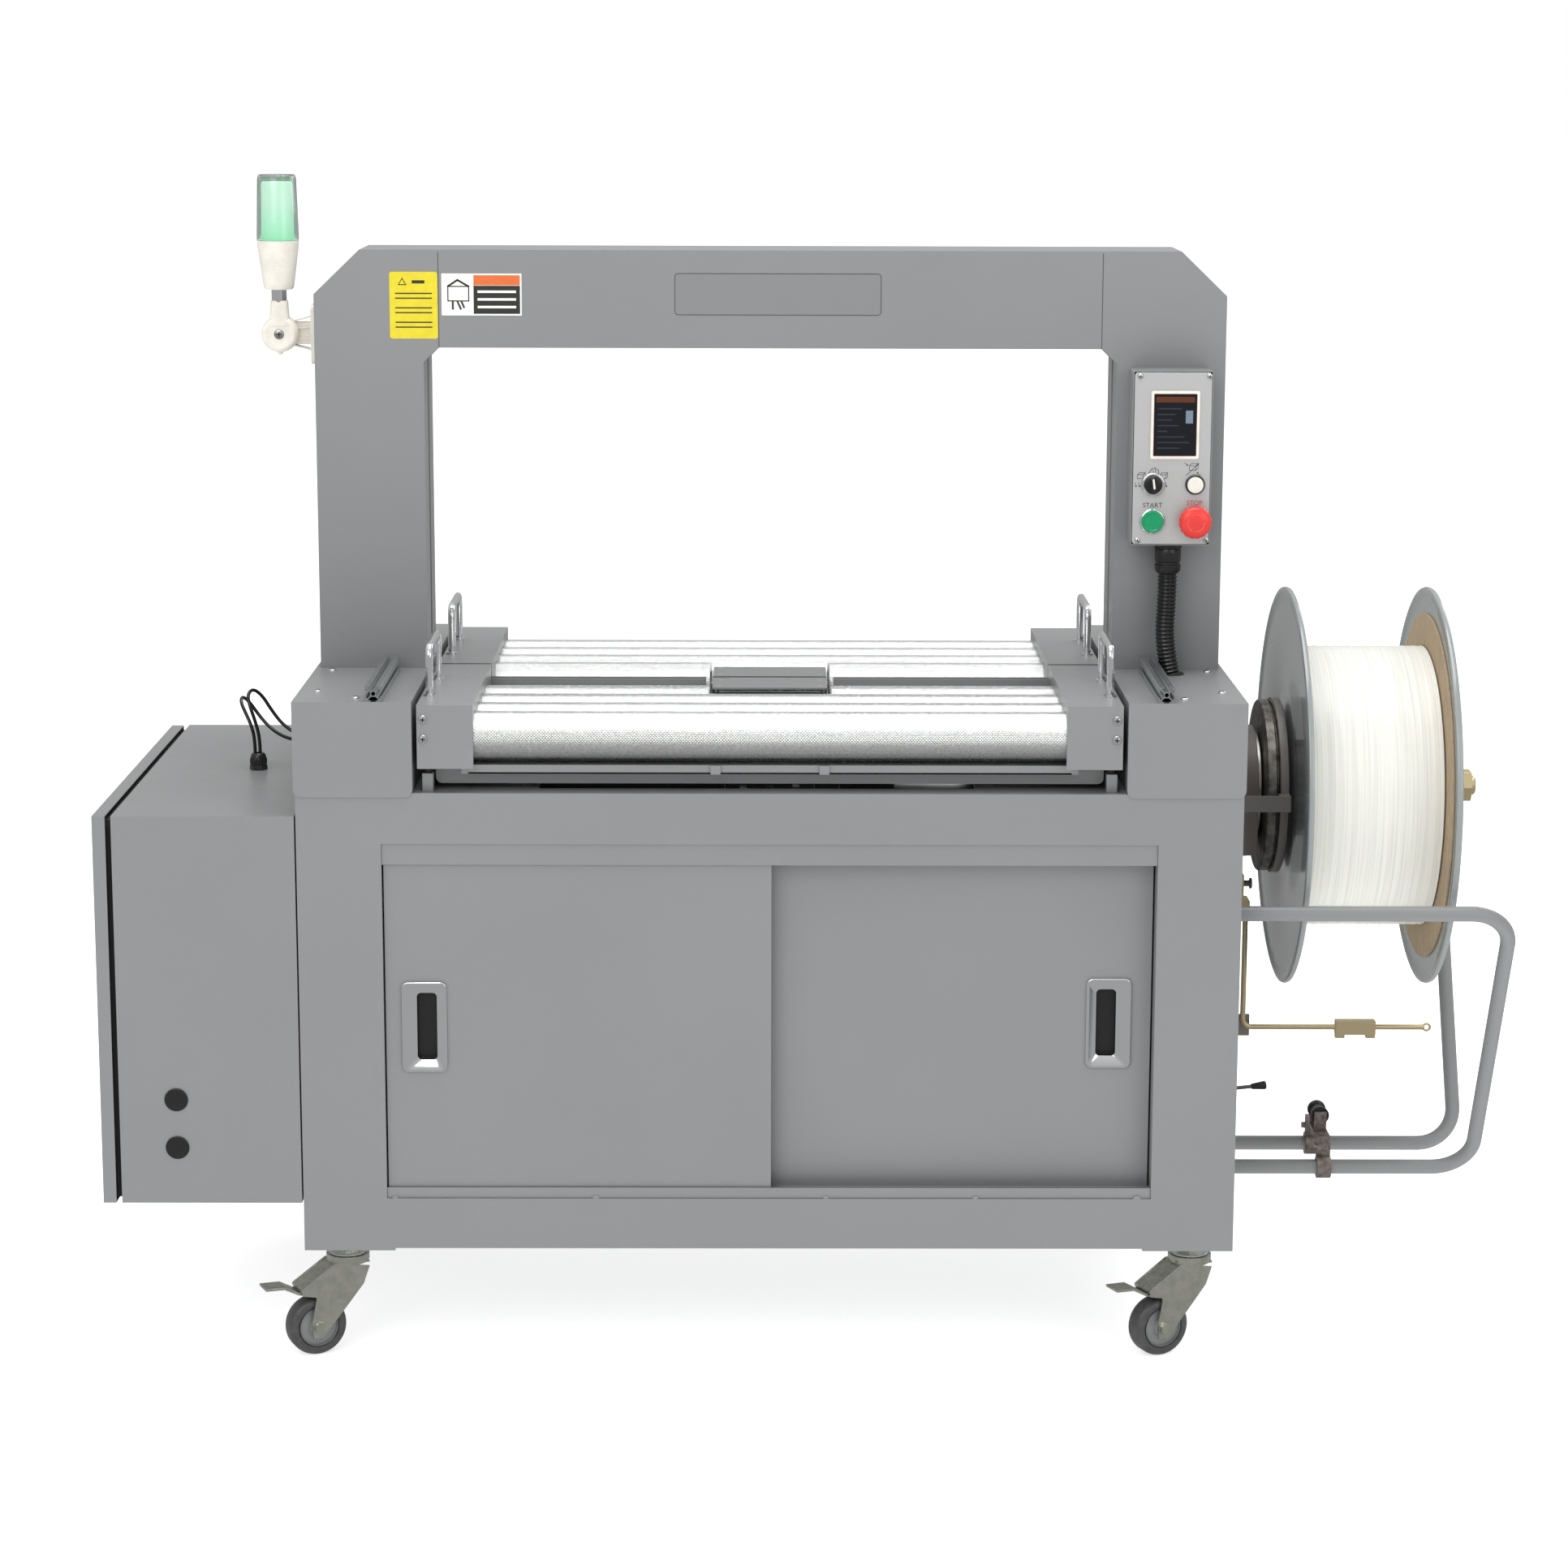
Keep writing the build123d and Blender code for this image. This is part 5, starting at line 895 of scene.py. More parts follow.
class STRAPPING_OT_screws(bpy.types.Operator):
    """Adds the pan-head screws with their cross recess in place of the plain heads"""

    bl_idname = "strapping.screws"
    bl_label = "Screws"

    def execute(self, context):
        steel = new_material("screw_steel", linear("#D8D8D5"), 0.16, Metallic=1.0)[0]
        bm = bmesh.new()
        for low, high in islands("screws"):
            pan_screw(bm, low, high)
        finish_mesh(
            "screw_heads", bm, [steel, black_nylon()], ROOT, replaces=["screws"],
            sharp=50,
        )
        for node, body in (("table_front", "table_front_half"), ("table_rear", "table_rear_half")):
            bm = bmesh.new()
            for low, high in islands(node):
                size = high - low
                if 0.008 < size.x < 0.013 and size.y < 0.005 and abs(size.x - size.z) < 0.001:
                    pan_screw(bm, low, high, 1.12)
            finish_mesh(node + "_screws", bm, [steel, black_nylon()], body, sharp=50)
        return {"FINISHED"}


def pan_screw(bm, low, high, grow=1.0):
    """A domed head with a cross recess where a plain head stands."""
    away, thin = outward(low, high)
    size = high - low
    radius = max(size) / 2 * grow
    depth = size[thin] * grow
    base = (low + high) / 2 - away * (size[thin] / 2)
    profile = [
        (0, radius), (depth * 0.25, radius), (depth * 0.6, radius * 0.9),
        (depth * 0.88, radius * 0.62),
    ]
    profile += [(depth, radius * 0.3), (depth * 1.02, 0)]
    lathe(bm, profile, base, away, 24)
    one, two = across(away)
    for a, b in ((one, two), (two, one)):
        corners = [(-0.52, -0.1), (0.52, -0.1), (0.52, 0.1), (-0.52, 0.1)]
        outline = [(p * radius, q * radius) for p, q in corners]
        prism(bm, outline, a, b, base + away * (depth * 0.5), away * (depth * 0.56), 1)


# ------------------------------------------------------------------ operators: rollers and tables
class STRAPPING_OT_rollers(bpy.types.Operator):
    """Adds the eight knurled rollers; the two by the strap slot are split"""

    bl_idname = "strapping.rollers"
    bl_label = "Rollers"

    def execute(self, context):
        sizes = context.scene.strapping_sizes
        knurl, steel, rubber = knurled_nickel(), turned_steel(), black_nylon()
        radius, reach, gap, journal = 30 * MM, 361.1 * MM, 76 * MM, 6 * MM
        turns = round(2 * math.pi * radius / sizes.knurl_pitch)
        for side in ("front", "rear"):
            for n in range(1, 5):
                node = f"roller_{side}_{n}"
                low, high = span(node)
                centre = (low + high) / 2
                axis = Vector((1, 0, 0))
                bm = bmesh.new()
                uv = bm.loops.layers.uv.new("unrolled")
                spans = [(-reach, reach)] if n < 4 else [(-reach, -gap), (gap, reach)]
                for start, end in spans:
                    origin = Vector((MID_X, centre.y, centre.z))
                    lip, dish = 2 * MM, 4 * MM
                    inner = radius - 5 * MM
                    profile = [
                        (start + dish, journal), (start + dish, inner), (start, inner + MM),
                        (start, radius - lip), (start + lip, radius), (end - lip, radius),
                        (end, radius - lip), (end, inner + MM), (end - dish, inner),
                        (end - dish, journal),
                    ]
                    lathe(bm, profile, origin, axis, 96, uv=uv)
                ends = (low.x - MID_X, high.x - MID_X)
                shaft = [(ends[0], 0), (ends[0], journal), (ends[1], journal), (ends[1], 0)]
                lathe(bm, shaft, Vector((MID_X, centre.y, centre.z)), axis, 24, 1)
                wheel = ring_profile(24 * MM, 5 * MM, ends[0], ends[0] + 10 * MM, MM)
                lathe(bm, wheel, Vector((MID_X, centre.y, centre.z)), axis, 48, 2)
                for face in bm.faces:
                    for loop in face.loops:
                        loop[uv].uv.y *= turns * sizes.knurl_pitch / (2 * math.pi * radius)
                finish_mesh(
                    f"roller_tube_{side}_{n}", bm, [knurl, steel, rubber],
                    f"roller_{side}_{n}_turning", replaces=[node], sharp=40,
                )
        return {"FINISHED"}


class STRAPPING_OT_tables(bpy.types.Operator):
    """Paints the two table halves and adds their buffers and the strip along the strap slot"""

    bl_idname = "strapping.tables"
    bl_label = "Table halves"

    def execute(self, context):
        paint, rubber, chrome = powder_coat(), black_nylon(), chrome_plate()
        edge = context.scene.strapping_sizes.small_edge
        for side, name in ((-1, "front"), (1, "rear")):
            body = f"table_{name}_half"
            dress("table_" + name, paint, edge)
            dress(f"table_{name}_handles", chrome)
            low, high = span("table_" + name)
            bm = bmesh.new()
            outer_y = low.y + 2.4 * MM if side < 0 else high.y - 2.4 * MM
            for x in (low.x + 11.5 * MM, high.x - 11.5 * MM):
                y = outer_y - side * 22 * MM
                foot = high.z - 86.3 * MM
                buffer = [
                    (0, 0), (0, 5.6 * MM), (3 * MM, 6 * MM), (10 * MM, 5.8 * MM), (13 * MM, 4 * MM),
                    (13 * MM, 0),
                ]
                lathe(bm, buffer, (x, y, foot), (0, 0, 1), 28)
            finish_mesh(f"table_{name}_buffers", bm, rubber, body)
            bm = bmesh.new()
            slot_y = high.y if side < 0 else low.y
            reach = 73 * MM
            y0, y1 = sorted((slot_y + side * 4 * MM, slot_y + side * 78 * MM))
            top = high.z - 18 * MM
            slab(bm, (MID_X - reach, y0, top), (MID_X + reach, y1, top + 1.2 * MM))
            for sx in (-1, 1):
                for sy in (0.2, 0.8):
                    centre = Vector(
                        (MID_X + sx * (reach - 9 * MM), y0 + (y1 - y0) * sy, top + 1.1 * MM)
                    )
                    ring = [(0, 4.2 * MM), (0.5 * MM, 4.2 * MM), (0.25 * MM, 2 * MM), (0.1 * MM, 0)]
                    lathe(bm, ring, centre, (0, 0, 1), 20, 1)
            finish_mesh(
                f"table_{name}_slot_plate", bm, [paint, turned_steel()], body,
                0.6 * MM,
            )
        return {"FINISHED"}


class STRAPPING_OT_rails(bpy.types.Operator):
    """Finishes the slotted rails, the strap track and the machinery behind the doors"""

    bl_idname = "strapping.rails"
    bl_label = "Rails and machinery"

    def execute(self, context):
        edge = 0.25 * MM
        dress("guide_rails", anodised_aluminium(), edge)
        dress("strap_track", anodised_aluminium())
        dress("sealing_head", ground_steel(), 0.4 * MM)
        dress("feed_unit", ground_steel(), 0.4 * MM)
        dress("elec_components", moulded("electrics_grey", linear("#B9BBB6"), 0.4), 0.5 * MM)
        return {"FINISHED"}


# ------------------------------------------------------------------ operators: controls
class STRAPPING_OT_control_plate(bpy.types.Operator):
    """Adds the control plate with its screen, symbols and words"""

    bl_idname = "strapping.control_plate"
    bl_label = "Control plate"

    def execute(self, context):
        low, high = span("control_panel")
        box_low, box_high = span("control_box")
        face = box_low.y - 2 * MM
        centre_x = (low.x + high.x) / 2
        foot = box_low.z
        ink = plate_print("legend_ink", linear("#1E1E1E"))
        red = plate_print("legend_red", linear("#C0302C"))
        bm = bmesh.new()
        outline = rounded_rectangle(96 * MM, 214 * MM, 4 * MM)
        prism(
            bm, outline, (1, 0, 0), (0, 0, 1), (centre_x, box_low.y, (box_low.z + box_high.z) / 2),
            (0, -2 * MM, 0),
        )
        finish_mesh(
            "control_plate", bm, control_plate_finish(), ROOT, 0.6 * MM,
            replaces=["control_panel"],
        )

        screen_x, screen_z = box_low.x + 53 * MM, foot + 151 * MM
        width, height, border = 52 * MM, 76 * MM, 4.4 * MM
        frame_white = warm_white_abs()
        dark_red = moulded("bezel_gasket", linear("#5A2320"), 0.4)
        bm = bmesh.new()
        outer = rounded_rectangle(width + 2 * border, height + 2 * border, 2.5 * MM)
        middle_line = rounded_rectangle(width + 1.8 * MM, height + 1.8 * MM, 1.4 * MM)
        inner = rounded_rectangle(width, height, 1 * MM)
        loops = [facing_front(outer, screen_x, face + y, screen_z) for y in (0, -1.4 * MM)]
        shrunk = rounded_rectangle(
            width + 2 * border - 1.2 * MM, height + 2 * border - 1.2 * MM, 2 * MM,
        )
        loops.append(facing_front(shrunk, screen_x, face - 2.0 * MM, screen_z))
        loops.append(facing_front(middle_line, screen_x, face - 2.0 * MM, screen_z))
        bridge(bm, loops)
        loops = [facing_front(middle_line, screen_x, face - 2.0 * MM, screen_z)]
        loops.append(facing_front(inner, screen_x, face - 0.9 * MM, screen_z))
        bridge(bm, loops, material_index=1)
        finish_mesh("screen_bezel", bm, [frame_white, dark_red], ROOT)

        glass = new_material("display_glass", linear("#0B0C14"), 0.08, IOR=1.5)[0]
        header = new_material("display_header", linear("#5B2C10"), 0.3)[0]
        faint = new_material("display_text", linear("#27303B"), 0.3)[0]
        patch = new_material("display_patch", linear("#6F7F8E"), 0.3)[0]
        bm = bmesh.new()
        prism(bm, inner, (1, 0, 0), (0, 0, 1), (screen_x, face + MM, screen_z), (0, -1.8 * MM, 0))
        top = face - 0.86 * MM
        x0, z1 = screen_x - width / 2, screen_z + height / 2
        slab(bm, (x0 + 2 * MM, top, z1 - 10 * MM), (x0 + width - 2 * MM, face, z1 - 3 * MM), 1)
        for n, length in enumerate((30, 22, 18, 26, 12, 34, 40, 28)):
            row = z1 - (17 + 7 * n) * MM
            slab(bm, (x0 + 4 * MM, top, row - 1.6 * MM), (x0 + (4 + length) * MM, face, row), 2)
        slab(
            bm, (x0 + width - 13 * MM, top, z1 - 36 * MM),
            (x0 + width - 4 * MM, face, z1 - 20 * MM), 3,
        )
        finish_mesh("display", bm, [glass, header, faint, patch], ROOT)

        bm = bmesh.new()
        origin = (box_low.x, face, foot)
        legends(bm, origin)
        finish_mesh("control_symbols", bm, ink, ROOT)
        for word, material, x, z in (("START", ink, 27, 50.4), ("STOP", red, 79.5, 53.6)):
            data = bpy.data.curves.new("word_" + word.lower(), "FONT")
            data.body = word
            data.size = 8.4 * MM
            data.extrude = 0.06 * MM
            data.align_x = "CENTER"
            data.align_y = "CENTER"
            data.materials.append(material)
            piece = bpy.data.objects.new("word_" + word.lower(), data)
            bpy.context.scene.collection.objects.link(piece)
            piece.location = (box_low.x + x * MM, face - 0.05 * MM, foot + z * MM)
            piece.rotation_euler = (math.pi / 2, 0, 0)
            settle(piece, ROOT)
        return {"FINISHED"}


def legends(bm, origin):
    """Printed pictures over the selector and the white button: parcels, a hand and arrows."""
    for x, z, size in ((7.5, 84, 7), (35.5, 84, 7), (72, 94.5, 8)):
        cube(bm, origin, x, z, size)
    for x in (4.5, 9, 13.5):
        arrow(bm, origin, (x, 79), (x + 1.6, 73.5))
        arrow(bm, origin, (x + 29, 79), (x + 30.6, 73.5))
    hand = (
        (21, 90), (25, 96), (29, 97.5), (33, 95), (34, 91), (31, 89), (27, 91), (24, 88.5),
        (21, 90),
    )
    for a, b in zip(hand, hand[1:]):
        stroke(bm, origin, a, b, 0.7)
    for a, b in (((26, 95.5), (27.5, 91.5)), ((29.5, 96.5), (30, 91))):
        stroke(bm, origin, a, b, 0.6)
    arrow(bm, origin, (66, 104), (70, 100.5))
    arrow(bm, origin, (86, 88), (81.5, 92))
    stroke(bm, origin, (68, 88), (84, 103), 0.7)


def cube(bm, origin, x, z, size):
    """A parcel drawn in lines."""
    s, d = size, size * 0.35
    corners = ((x, z), (x + s, z), (x + s, z + s * 0.7), (x, z + s * 0.7), (x, z))
    for a, b in zip(corners, corners[1:]):
        stroke(bm, origin, a, b, 0.6)
    top = (
        (x, z + s * 0.7), (x + d, z + s * 0.7 + d), (x + s + d, z + s * 0.7 + d),
        (x + s, z + s * 0.7),
    )
    for a, b in zip(top, top[1:]):
        stroke(bm, origin, a, b, 0.6)
    stroke(bm, origin, (x + s + d, z + s * 0.7 + d), (x + s + d, z + d), 0.6)
    stroke(bm, origin, (x + s + d, z + d), (x + s, z), 0.6)


def arrow(bm, origin, tail, tip):
    stroke(bm, origin, tail, tip, 0.6)
    back = Vector((tail[0] - tip[0], tail[1] - tip[1])).normalized() * 2.0
    for turn in (0.6, -0.6):
        x = back.x * math.cos(turn) - back.y * math.sin(turn)
        z = back.x * math.sin(turn) + back.y * math.cos(turn)
        stroke(bm, origin, tip, (tip[0] + x, tip[1] + z), 0.6)


class STRAPPING_OT_buttons(bpy.types.Operator):
    """Adds the selector, the white, green and stop buttons and their collars"""

    bl_idname = "strapping.buttons"
    bl_label = "Buttons"

    def execute(self, context):
        colours = context.scene.strapping_colours
        face = span("control_box")[0].y - 2 * MM
        out = Vector((0, -1, 0))
        chrome, black, white = chrome_plate(), black_nylon(), warm_white_abs()
        dark = new_material("dark_collar", linear("#4A4A4B"), 0.25, Metallic=1.0)[0]
        green = moulded("button_green", colours.start, 0.18)
        red = moulded("button_red", colours.stop, 0.3)
        # The raised arrows on the stop head get a lighter copy of the stop red: a painted highlight.
        painted_highlight_red = moulded("button_red_painted_highlight", shade(colours.stop, 1.5), 0.35)

        selector = middle("selector_knob")
        reset = middle("white_button")
        start = middle("start_button")
        stop = middle("estop_button")
        for name, at, outer, inner, material in (
            ("selector_ring", selector, 15, 11.4, chrome),
            ("white_button_ring", reset, 12.2, 10.3, dark),
            ("start_button_ring", start, 16, 14.3, chrome),
        ):
            bm = bmesh.new()
            base = Vector((at.x, face, at.z))
            profile = [
                (0, outer), (2.6, outer), (3.7, outer - 1.1), (4.0, outer - 2.0), (3.6, inner),
                (0, inner),
            ]
            lathe(bm, in_mm(profile), base, out, 64)
            finish_mesh(name, bm, material, ROOT, sharp=50)

        bm = bmesh.new()
        base = Vector((selector.x, face, selector.z))
        profile = [(0.6, 0), (0.6, 11.3), (4.6, 11.3), (5.6, 10.4), (6, 9.4), (6, 0)]
        lathe(bm, in_mm(profile), base, out, 56)
        grip = rounded_rectangle(7.4 * MM, 20 * MM, 3.4 * MM)
        lean = (0.99, 0, 0.14)
        rise = (-0.14, 0, 0.99)
        prism(bm, grip, lean, rise, base + out * 5.5 * MM, out * 11 * MM)
        pointer = rounded_rectangle(2.4 * MM, 13 * MM, 1.1 * MM)
        top = base + out * 16.4 * MM + Vector(rise) * 2.2 * MM
        prism(bm, pointer, lean, rise, top, out * 0.5 * MM, 1)
        finish_mesh(
            "selector_handle", bm, [black, white], "selector", 0.5 * MM,
            replaces=["selector_knob"],
        )

        bm = bmesh.new()
        profile = [(3.2, 0), (3.2, 10.1), (5.6, 10.1), (6.9, 9.2), (7.4, 7.5), (7.1, 3), (7.0, 0)]
        lathe(bm, in_mm(profile), Vector((reset.x, face, reset.z)), out, 56)
        finish_mesh(
            "white_button_cap", bm, white, "reset_button",
            replaces=["white_button"],
        )

        bm = bmesh.new()
        profile = [
            (3.2, 0), (3.2, 14), (5, 14), (6.1, 13), (6.4, 11.5), (5.6, 10.5), (5.7, 6), (5.8, 0),
        ]
        lathe(bm, in_mm(profile), Vector((start.x, face, start.z)), out, 64)
        finish_mesh(
            "start_button_cap", bm, green, "green_button",
            replaces=["start_button"],
        )

        bm = bmesh.new()
        base = Vector((stop.x, face, stop.z))
        notches = 16

        def notch(angle, n):
            return 1 - (0.035 if 2 <= n <= 4 and math.cos(angle * notches) > 0.45 else 0)

        profile = [
            (5, 0), (5, 12), (8, 19.4), (9.5, 20.5), (14.5, 20.5), (17.6, 19.2), (20, 16),
            (21.4, 11), (22, 5), (22.1, 0),
        ]
        lathe(bm, in_mm(profile), base, out, 192, wobble=notch)
        # Three raised arrows, coloured with the lighter red of the painted highlight.
        for k in range(3):
            first = 2 * math.pi * k / 3 + 0.5
            outline = []
            for step in range(13):
                angle = first + step * 0.12
                outline.append((11.4 * MM * math.cos(angle), 11.4 * MM * math.sin(angle)))
            tip = first + 12 * 0.12
            outline.append((12.8 * MM * math.cos(tip), 12.8 * MM * math.sin(tip)))
            outline.append((10.4 * MM * math.cos(tip + 0.26), 10.4 * MM * math.sin(tip + 0.26)))
            outline.append((8.2 * MM * math.cos(tip), 8.2 * MM * math.sin(tip)))
            for step in range(12, -1, -1):
                angle = first + step * 0.12
                outline.append((9.7 * MM * math.cos(angle), 9.7 * MM * math.sin(angle)))
            prism(bm, outline, (1, 0, 0), (0, 0, 1), base + out * 19.5 * MM, out * 2.35 * MM, 1)
        neck = [(4.3, 0), (4.3, 12), (6, 12), (6, 0)]
        lathe(bm, in_mm(neck), base, out, 40, 2)
        finish_mesh(
            "stop_button_head", bm, [red, painted_highlight_red, black], "stop_mushroom",
            replaces=["estop_button"], sharp=45,
        )
        return {"FINISHED"}


# ------------------------------------------------------------------ operators: cords
def along_machine(points):
    """Points measured in mm from the machine's middle, as metres in the frame."""
    return [Vector((MID_X + x * MM, y * MM, z * MM)) for x, y, z in points]


def nurbs(name, points, radius=0.0):
    """An open curve whose control points are the route's points."""
    data = bpy.data.curves.new(name, "CURVE")
    data.dimensions = "3D"
    data.resolution_u = 12
    data.bevel_depth = radius
    data.bevel_resolution = 6
    data.use_fill_caps = radius > 0
    spline = data.splines.new("NURBS")
    spline.points.add(len(points) - 1)
    for target, point in zip(spline.points, points):
        target.co = (*point, 1)
    spline.order_u = 3
    spline.use_endpoint_u = True
    return data


def line_length(points):
    return sum((b - a).length for a, b in zip(points, points[1:]))


def traced(name, route):
    """The points that the route's curve runs through."""
    probe = bpy.data.objects.new(name, nurbs(name, route))
    bpy.context.scene.collection.objects.link(probe)
    bpy.context.view_layer.update()
    mesh = bpy.data.meshes.new_from_object(probe.evaluated_get(bpy.context.evaluated_depsgraph_get()))
    points = [v.co.copy() for v in mesh.vertices]
    data = probe.data
    bpy.data.objects.remove(probe)
    bpy.data.curves.remove(data)
    bpy.data.meshes.remove(mesh)
    return points


def evenly(points, step):
    """Points spaced evenly along a line."""
    total = line_length(points)
    count = max(2, round(total / step))
    result, walked, k = [points[0]], 0.0, 0
    for n in range(1, count):
        goal = total * n / count
        while k < len(points) - 2 and walked + (points[k + 1] - points[k]).length < goal:
            walked += (points[k + 1] - points[k]).length
            k += 1
        part = points[k + 1] - points[k]
        result.append(points[k] + part.normalized() * (goal - walked))
    return [*result, points[-1]]


CONDUIT_ROUTE = [
    (501.0, -85.0, 969.0), (501.0, -85.0, 930.0), (497.5, -91.0, 886.0), (504.5, -96.5, 840.0),
    (515.0, -99.0, 798.0),
]
CABLE_1_ROUTE = [
    (-657.6, -10.0, 716.0), (-657.6, -10.0, 736.0), (-662.5, -11.5, 758.0), (-669.5, -10.0, 778.0),
    (-673.5, -2.0, 792.0), (-668.0, 9.0, 798.5), (-657.0, 15.0, 789.0), (-645.0, 15.0, 769.0),
    (-630.0, 11.5, 750.0), (-610.0, 7.5, 738.0), (-588.0, 4.5, 734.5), (-566.0, 3.5, 734.5),
]
CABLE_2_ROUTE = [
    (-664.0, -10.5, 716.0), (-664.0, -10.5, 734.0), (-668.0, -8.5, 752.0), (-676.0, -3.0, 768.0),
    (-683.5, 6.5, 781.0), (-683.0, 19.0, 787.0), (-675.0, 27.0, 778.0), (-664.0, 26.0, 762.0),
    (-650.0, 19.0, 747.0), (-632.0, 10.0, 736.0), (-611.0, 1.5, 731.5), (-588.0, -2.8, 733.0),
    (-566.0, -3.5, 734.5),
]


class STRAPPING_OT_signal_cables(bpy.types.Operator):
    """Adds the two cables that loop from the cabinet's gland into the machine"""

    bl_idname = "strapping.signal_cables"
    bl_label = "Signal cables"

    def execute(self, context):
        for name, route in (("signal_cable_1", CABLE_1_ROUTE), ("signal_cable_2", CABLE_2_ROUTE)):
            points = along_machine(route)
            data = nurbs(name + "_sheath", points, 2.25 * MM)
            data.materials.append(cable_pvc())
            piece = bpy.data.objects.new(name + "_sheath", data)
            bpy.context.scene.collection.objects.link(piece)
            settle(piece, ROOT, [name])
            length = line_length(traced("probe", points))
        return {"FINISHED"}


class STRAPPING_OT_conduit(bpy.types.Operator):
    """Adds the corrugated conduit from the control box into the shoulder cover"""

    bl_idname = "strapping.conduit"
    bl_label = "Conduit"

    def execute(self, context):
        sizes = context.scene.strapping_sizes
        route = along_machine(CONDUIT_ROUTE)
        path = traced("probe", route)
        length = line_length(path)
        ribs = round(length / sizes.rib_pitch)
        per_rib = 8
        centres = evenly(path, length / (ribs * per_rib))
        radius = 12.5 * MM
        bm = bmesh.new()
        loops = []
        side = Vector((0, 1, 0))
        for n, centre in enumerate(centres):
            before, after = centres[max(0, n - 1)], centres[min(len(centres) - 1, n + 1)]
            ahead = (after - before).normalized()
            side = (side - ahead * side.dot(ahead)).normalized()
            other = ahead.cross(side)
            phase = (n % per_rib) / per_rib
            hollow = 0.5 - 0.5 * math.cos(2 * math.pi * phase)
            r = radius - sizes.rib_depth * min(1.0, hollow * 1.35)
            loops.append(
                [
                    centre + side * (
                        r * math.cos(2 * math.pi * k / 40)
                    ) + other * (r * math.sin(2 * math.pi * k / 40))
                    for k in range(40)
                ]
            )
        rows = bridge(bm, loops)
        bm.faces.new(rows[0])
        bm.faces.new(rows[-1])
        piece = finish_mesh(
            "conduit_tube", bm, cable_pvc(), ROOT, replaces=["conduit"], sharp=70,
        )
        return {"FINISHED"}


class STRAPPING_OT_fittings(bpy.types.Operator):
    """Adds the gland, hole plugs, grommet, mains inlet and conduit connector"""

    bl_idname = "strapping.fittings"
    bl_label = "Cable fittings"

    def execute(self, context):
        nylon = black_nylon()
        cabinet_low, cabinet_high = span("elec_cabinet")
        bm = bmesh.new()
        up = Vector((0, 0, 1))
        gland = Vector((MID_X - 660 * MM, -10 * MM, cabinet_high.z))
        prism(bm, hexagon(20 * MM), (1, 0, 0), (0, 1, 0), gland, (0, 0, 6 * MM))
        ribs = 20
        profile = [
            (6, 0), (6, 10.2), (8, 11), (14, 11), (15.5, 10.2), (18, 9.8), (20.5, 8.6), (22, 6.8),
            (21.6, 4.5), (18, 4),
        ]

        def grip(angle, n):
            return 1 - (0.07 if 2 <= n <= 3 and math.cos(angle * ribs) > 0 else 0)

        lathe(bm, in_mm(profile), gland, up, 80, wobble=grip)
        dark_plug = [(0, 0), (0, 14.5), (1.2, 14.5), (1.9, 13.4), (1.5, 12.2), (1.5, 0)]
        for z in (131.8, 71.0):
            at = Vector((cabinet_low.x + 76.4 * MM, cabinet_low.y, cabinet_low.z + z * MM))
            lathe(bm, in_mm(dark_plug), at, (0, -1, 0), 56)
        deck_top = span("base_frame")[1].z
        shoulder_x = span("shoulder_covers")[0].x
        hole = Vector((shoulder_x, 0, deck_top + 9.5 * MM))
        grommet = [
            (-4, 6.5), (-4, 8), (0, 8), (0, 10.5), (1.6, 10.2), (2.2, 8.4), (1.6, 6.5), (-4, 6.5),
        ]
        lathe(bm, in_mm(grommet), hole, (-1, 0, 0), 40)
        fitting_low, _ = span("cable_fittings")
        inlet = Vector(((cabinet_low.x + cabinet_high.x) / 2, 260 * MM, fitting_low.z))
        lathe(
            bm,
            [(a * MM, r * MM) for a, r in [(0, 5), (0, 10), (14, 10), (14, 12), (20, 12), (20, 5)]],
            inlet, up, 40,
        )
        box_low, _ = span("control_box")
        top = Vector((MID_X + 501 * MM, -85 * MM, box_low.z))
        down = Vector((0, 0, -1))
        prism(bm, hexagon(30 * MM), (1, 0, 0), (0, 1, 0), top, down * 6 * MM)
        body = [
            (6, 0), (6, 15.5), (9, 16.5), (22, 16.5), (23.5, 15), (25.5, 15), (27, 16.5),
            (34, 16.2), (36.5, 14.5), (38, 12.7),
        ]
        lathe(bm, in_mm(body), top, down, 56)
        clip = rounded_rectangle(11 * MM, 9 * MM, 1.5 * MM)
        prism(
            bm, clip, (1, 0, 0), (0, 0, 1), top + Vector((0, -15.8 * MM, -15.5 * MM)),
            (0, -1.6 * MM, 0),
        )
        rim_at = Vector((MID_X + 505 * MM, -97 * MM, span("shoulder_covers")[1].z))
        rim = [
            (-2, 13.2), (-2, 16), (0, 16), (0, 18.6), (1.2, 18.3), (1.8, 16.6), (1.2, 13.4),
            (-2, 13.2),
        ]
        lathe(bm, in_mm(rim), rim_at, up, 48)
        finish_mesh(
            "fittings", bm, nylon, ROOT, 0.4 * MM, replaces=["cable_fittings"],
            sharp=40,
        )
        return {"FINISHED"}


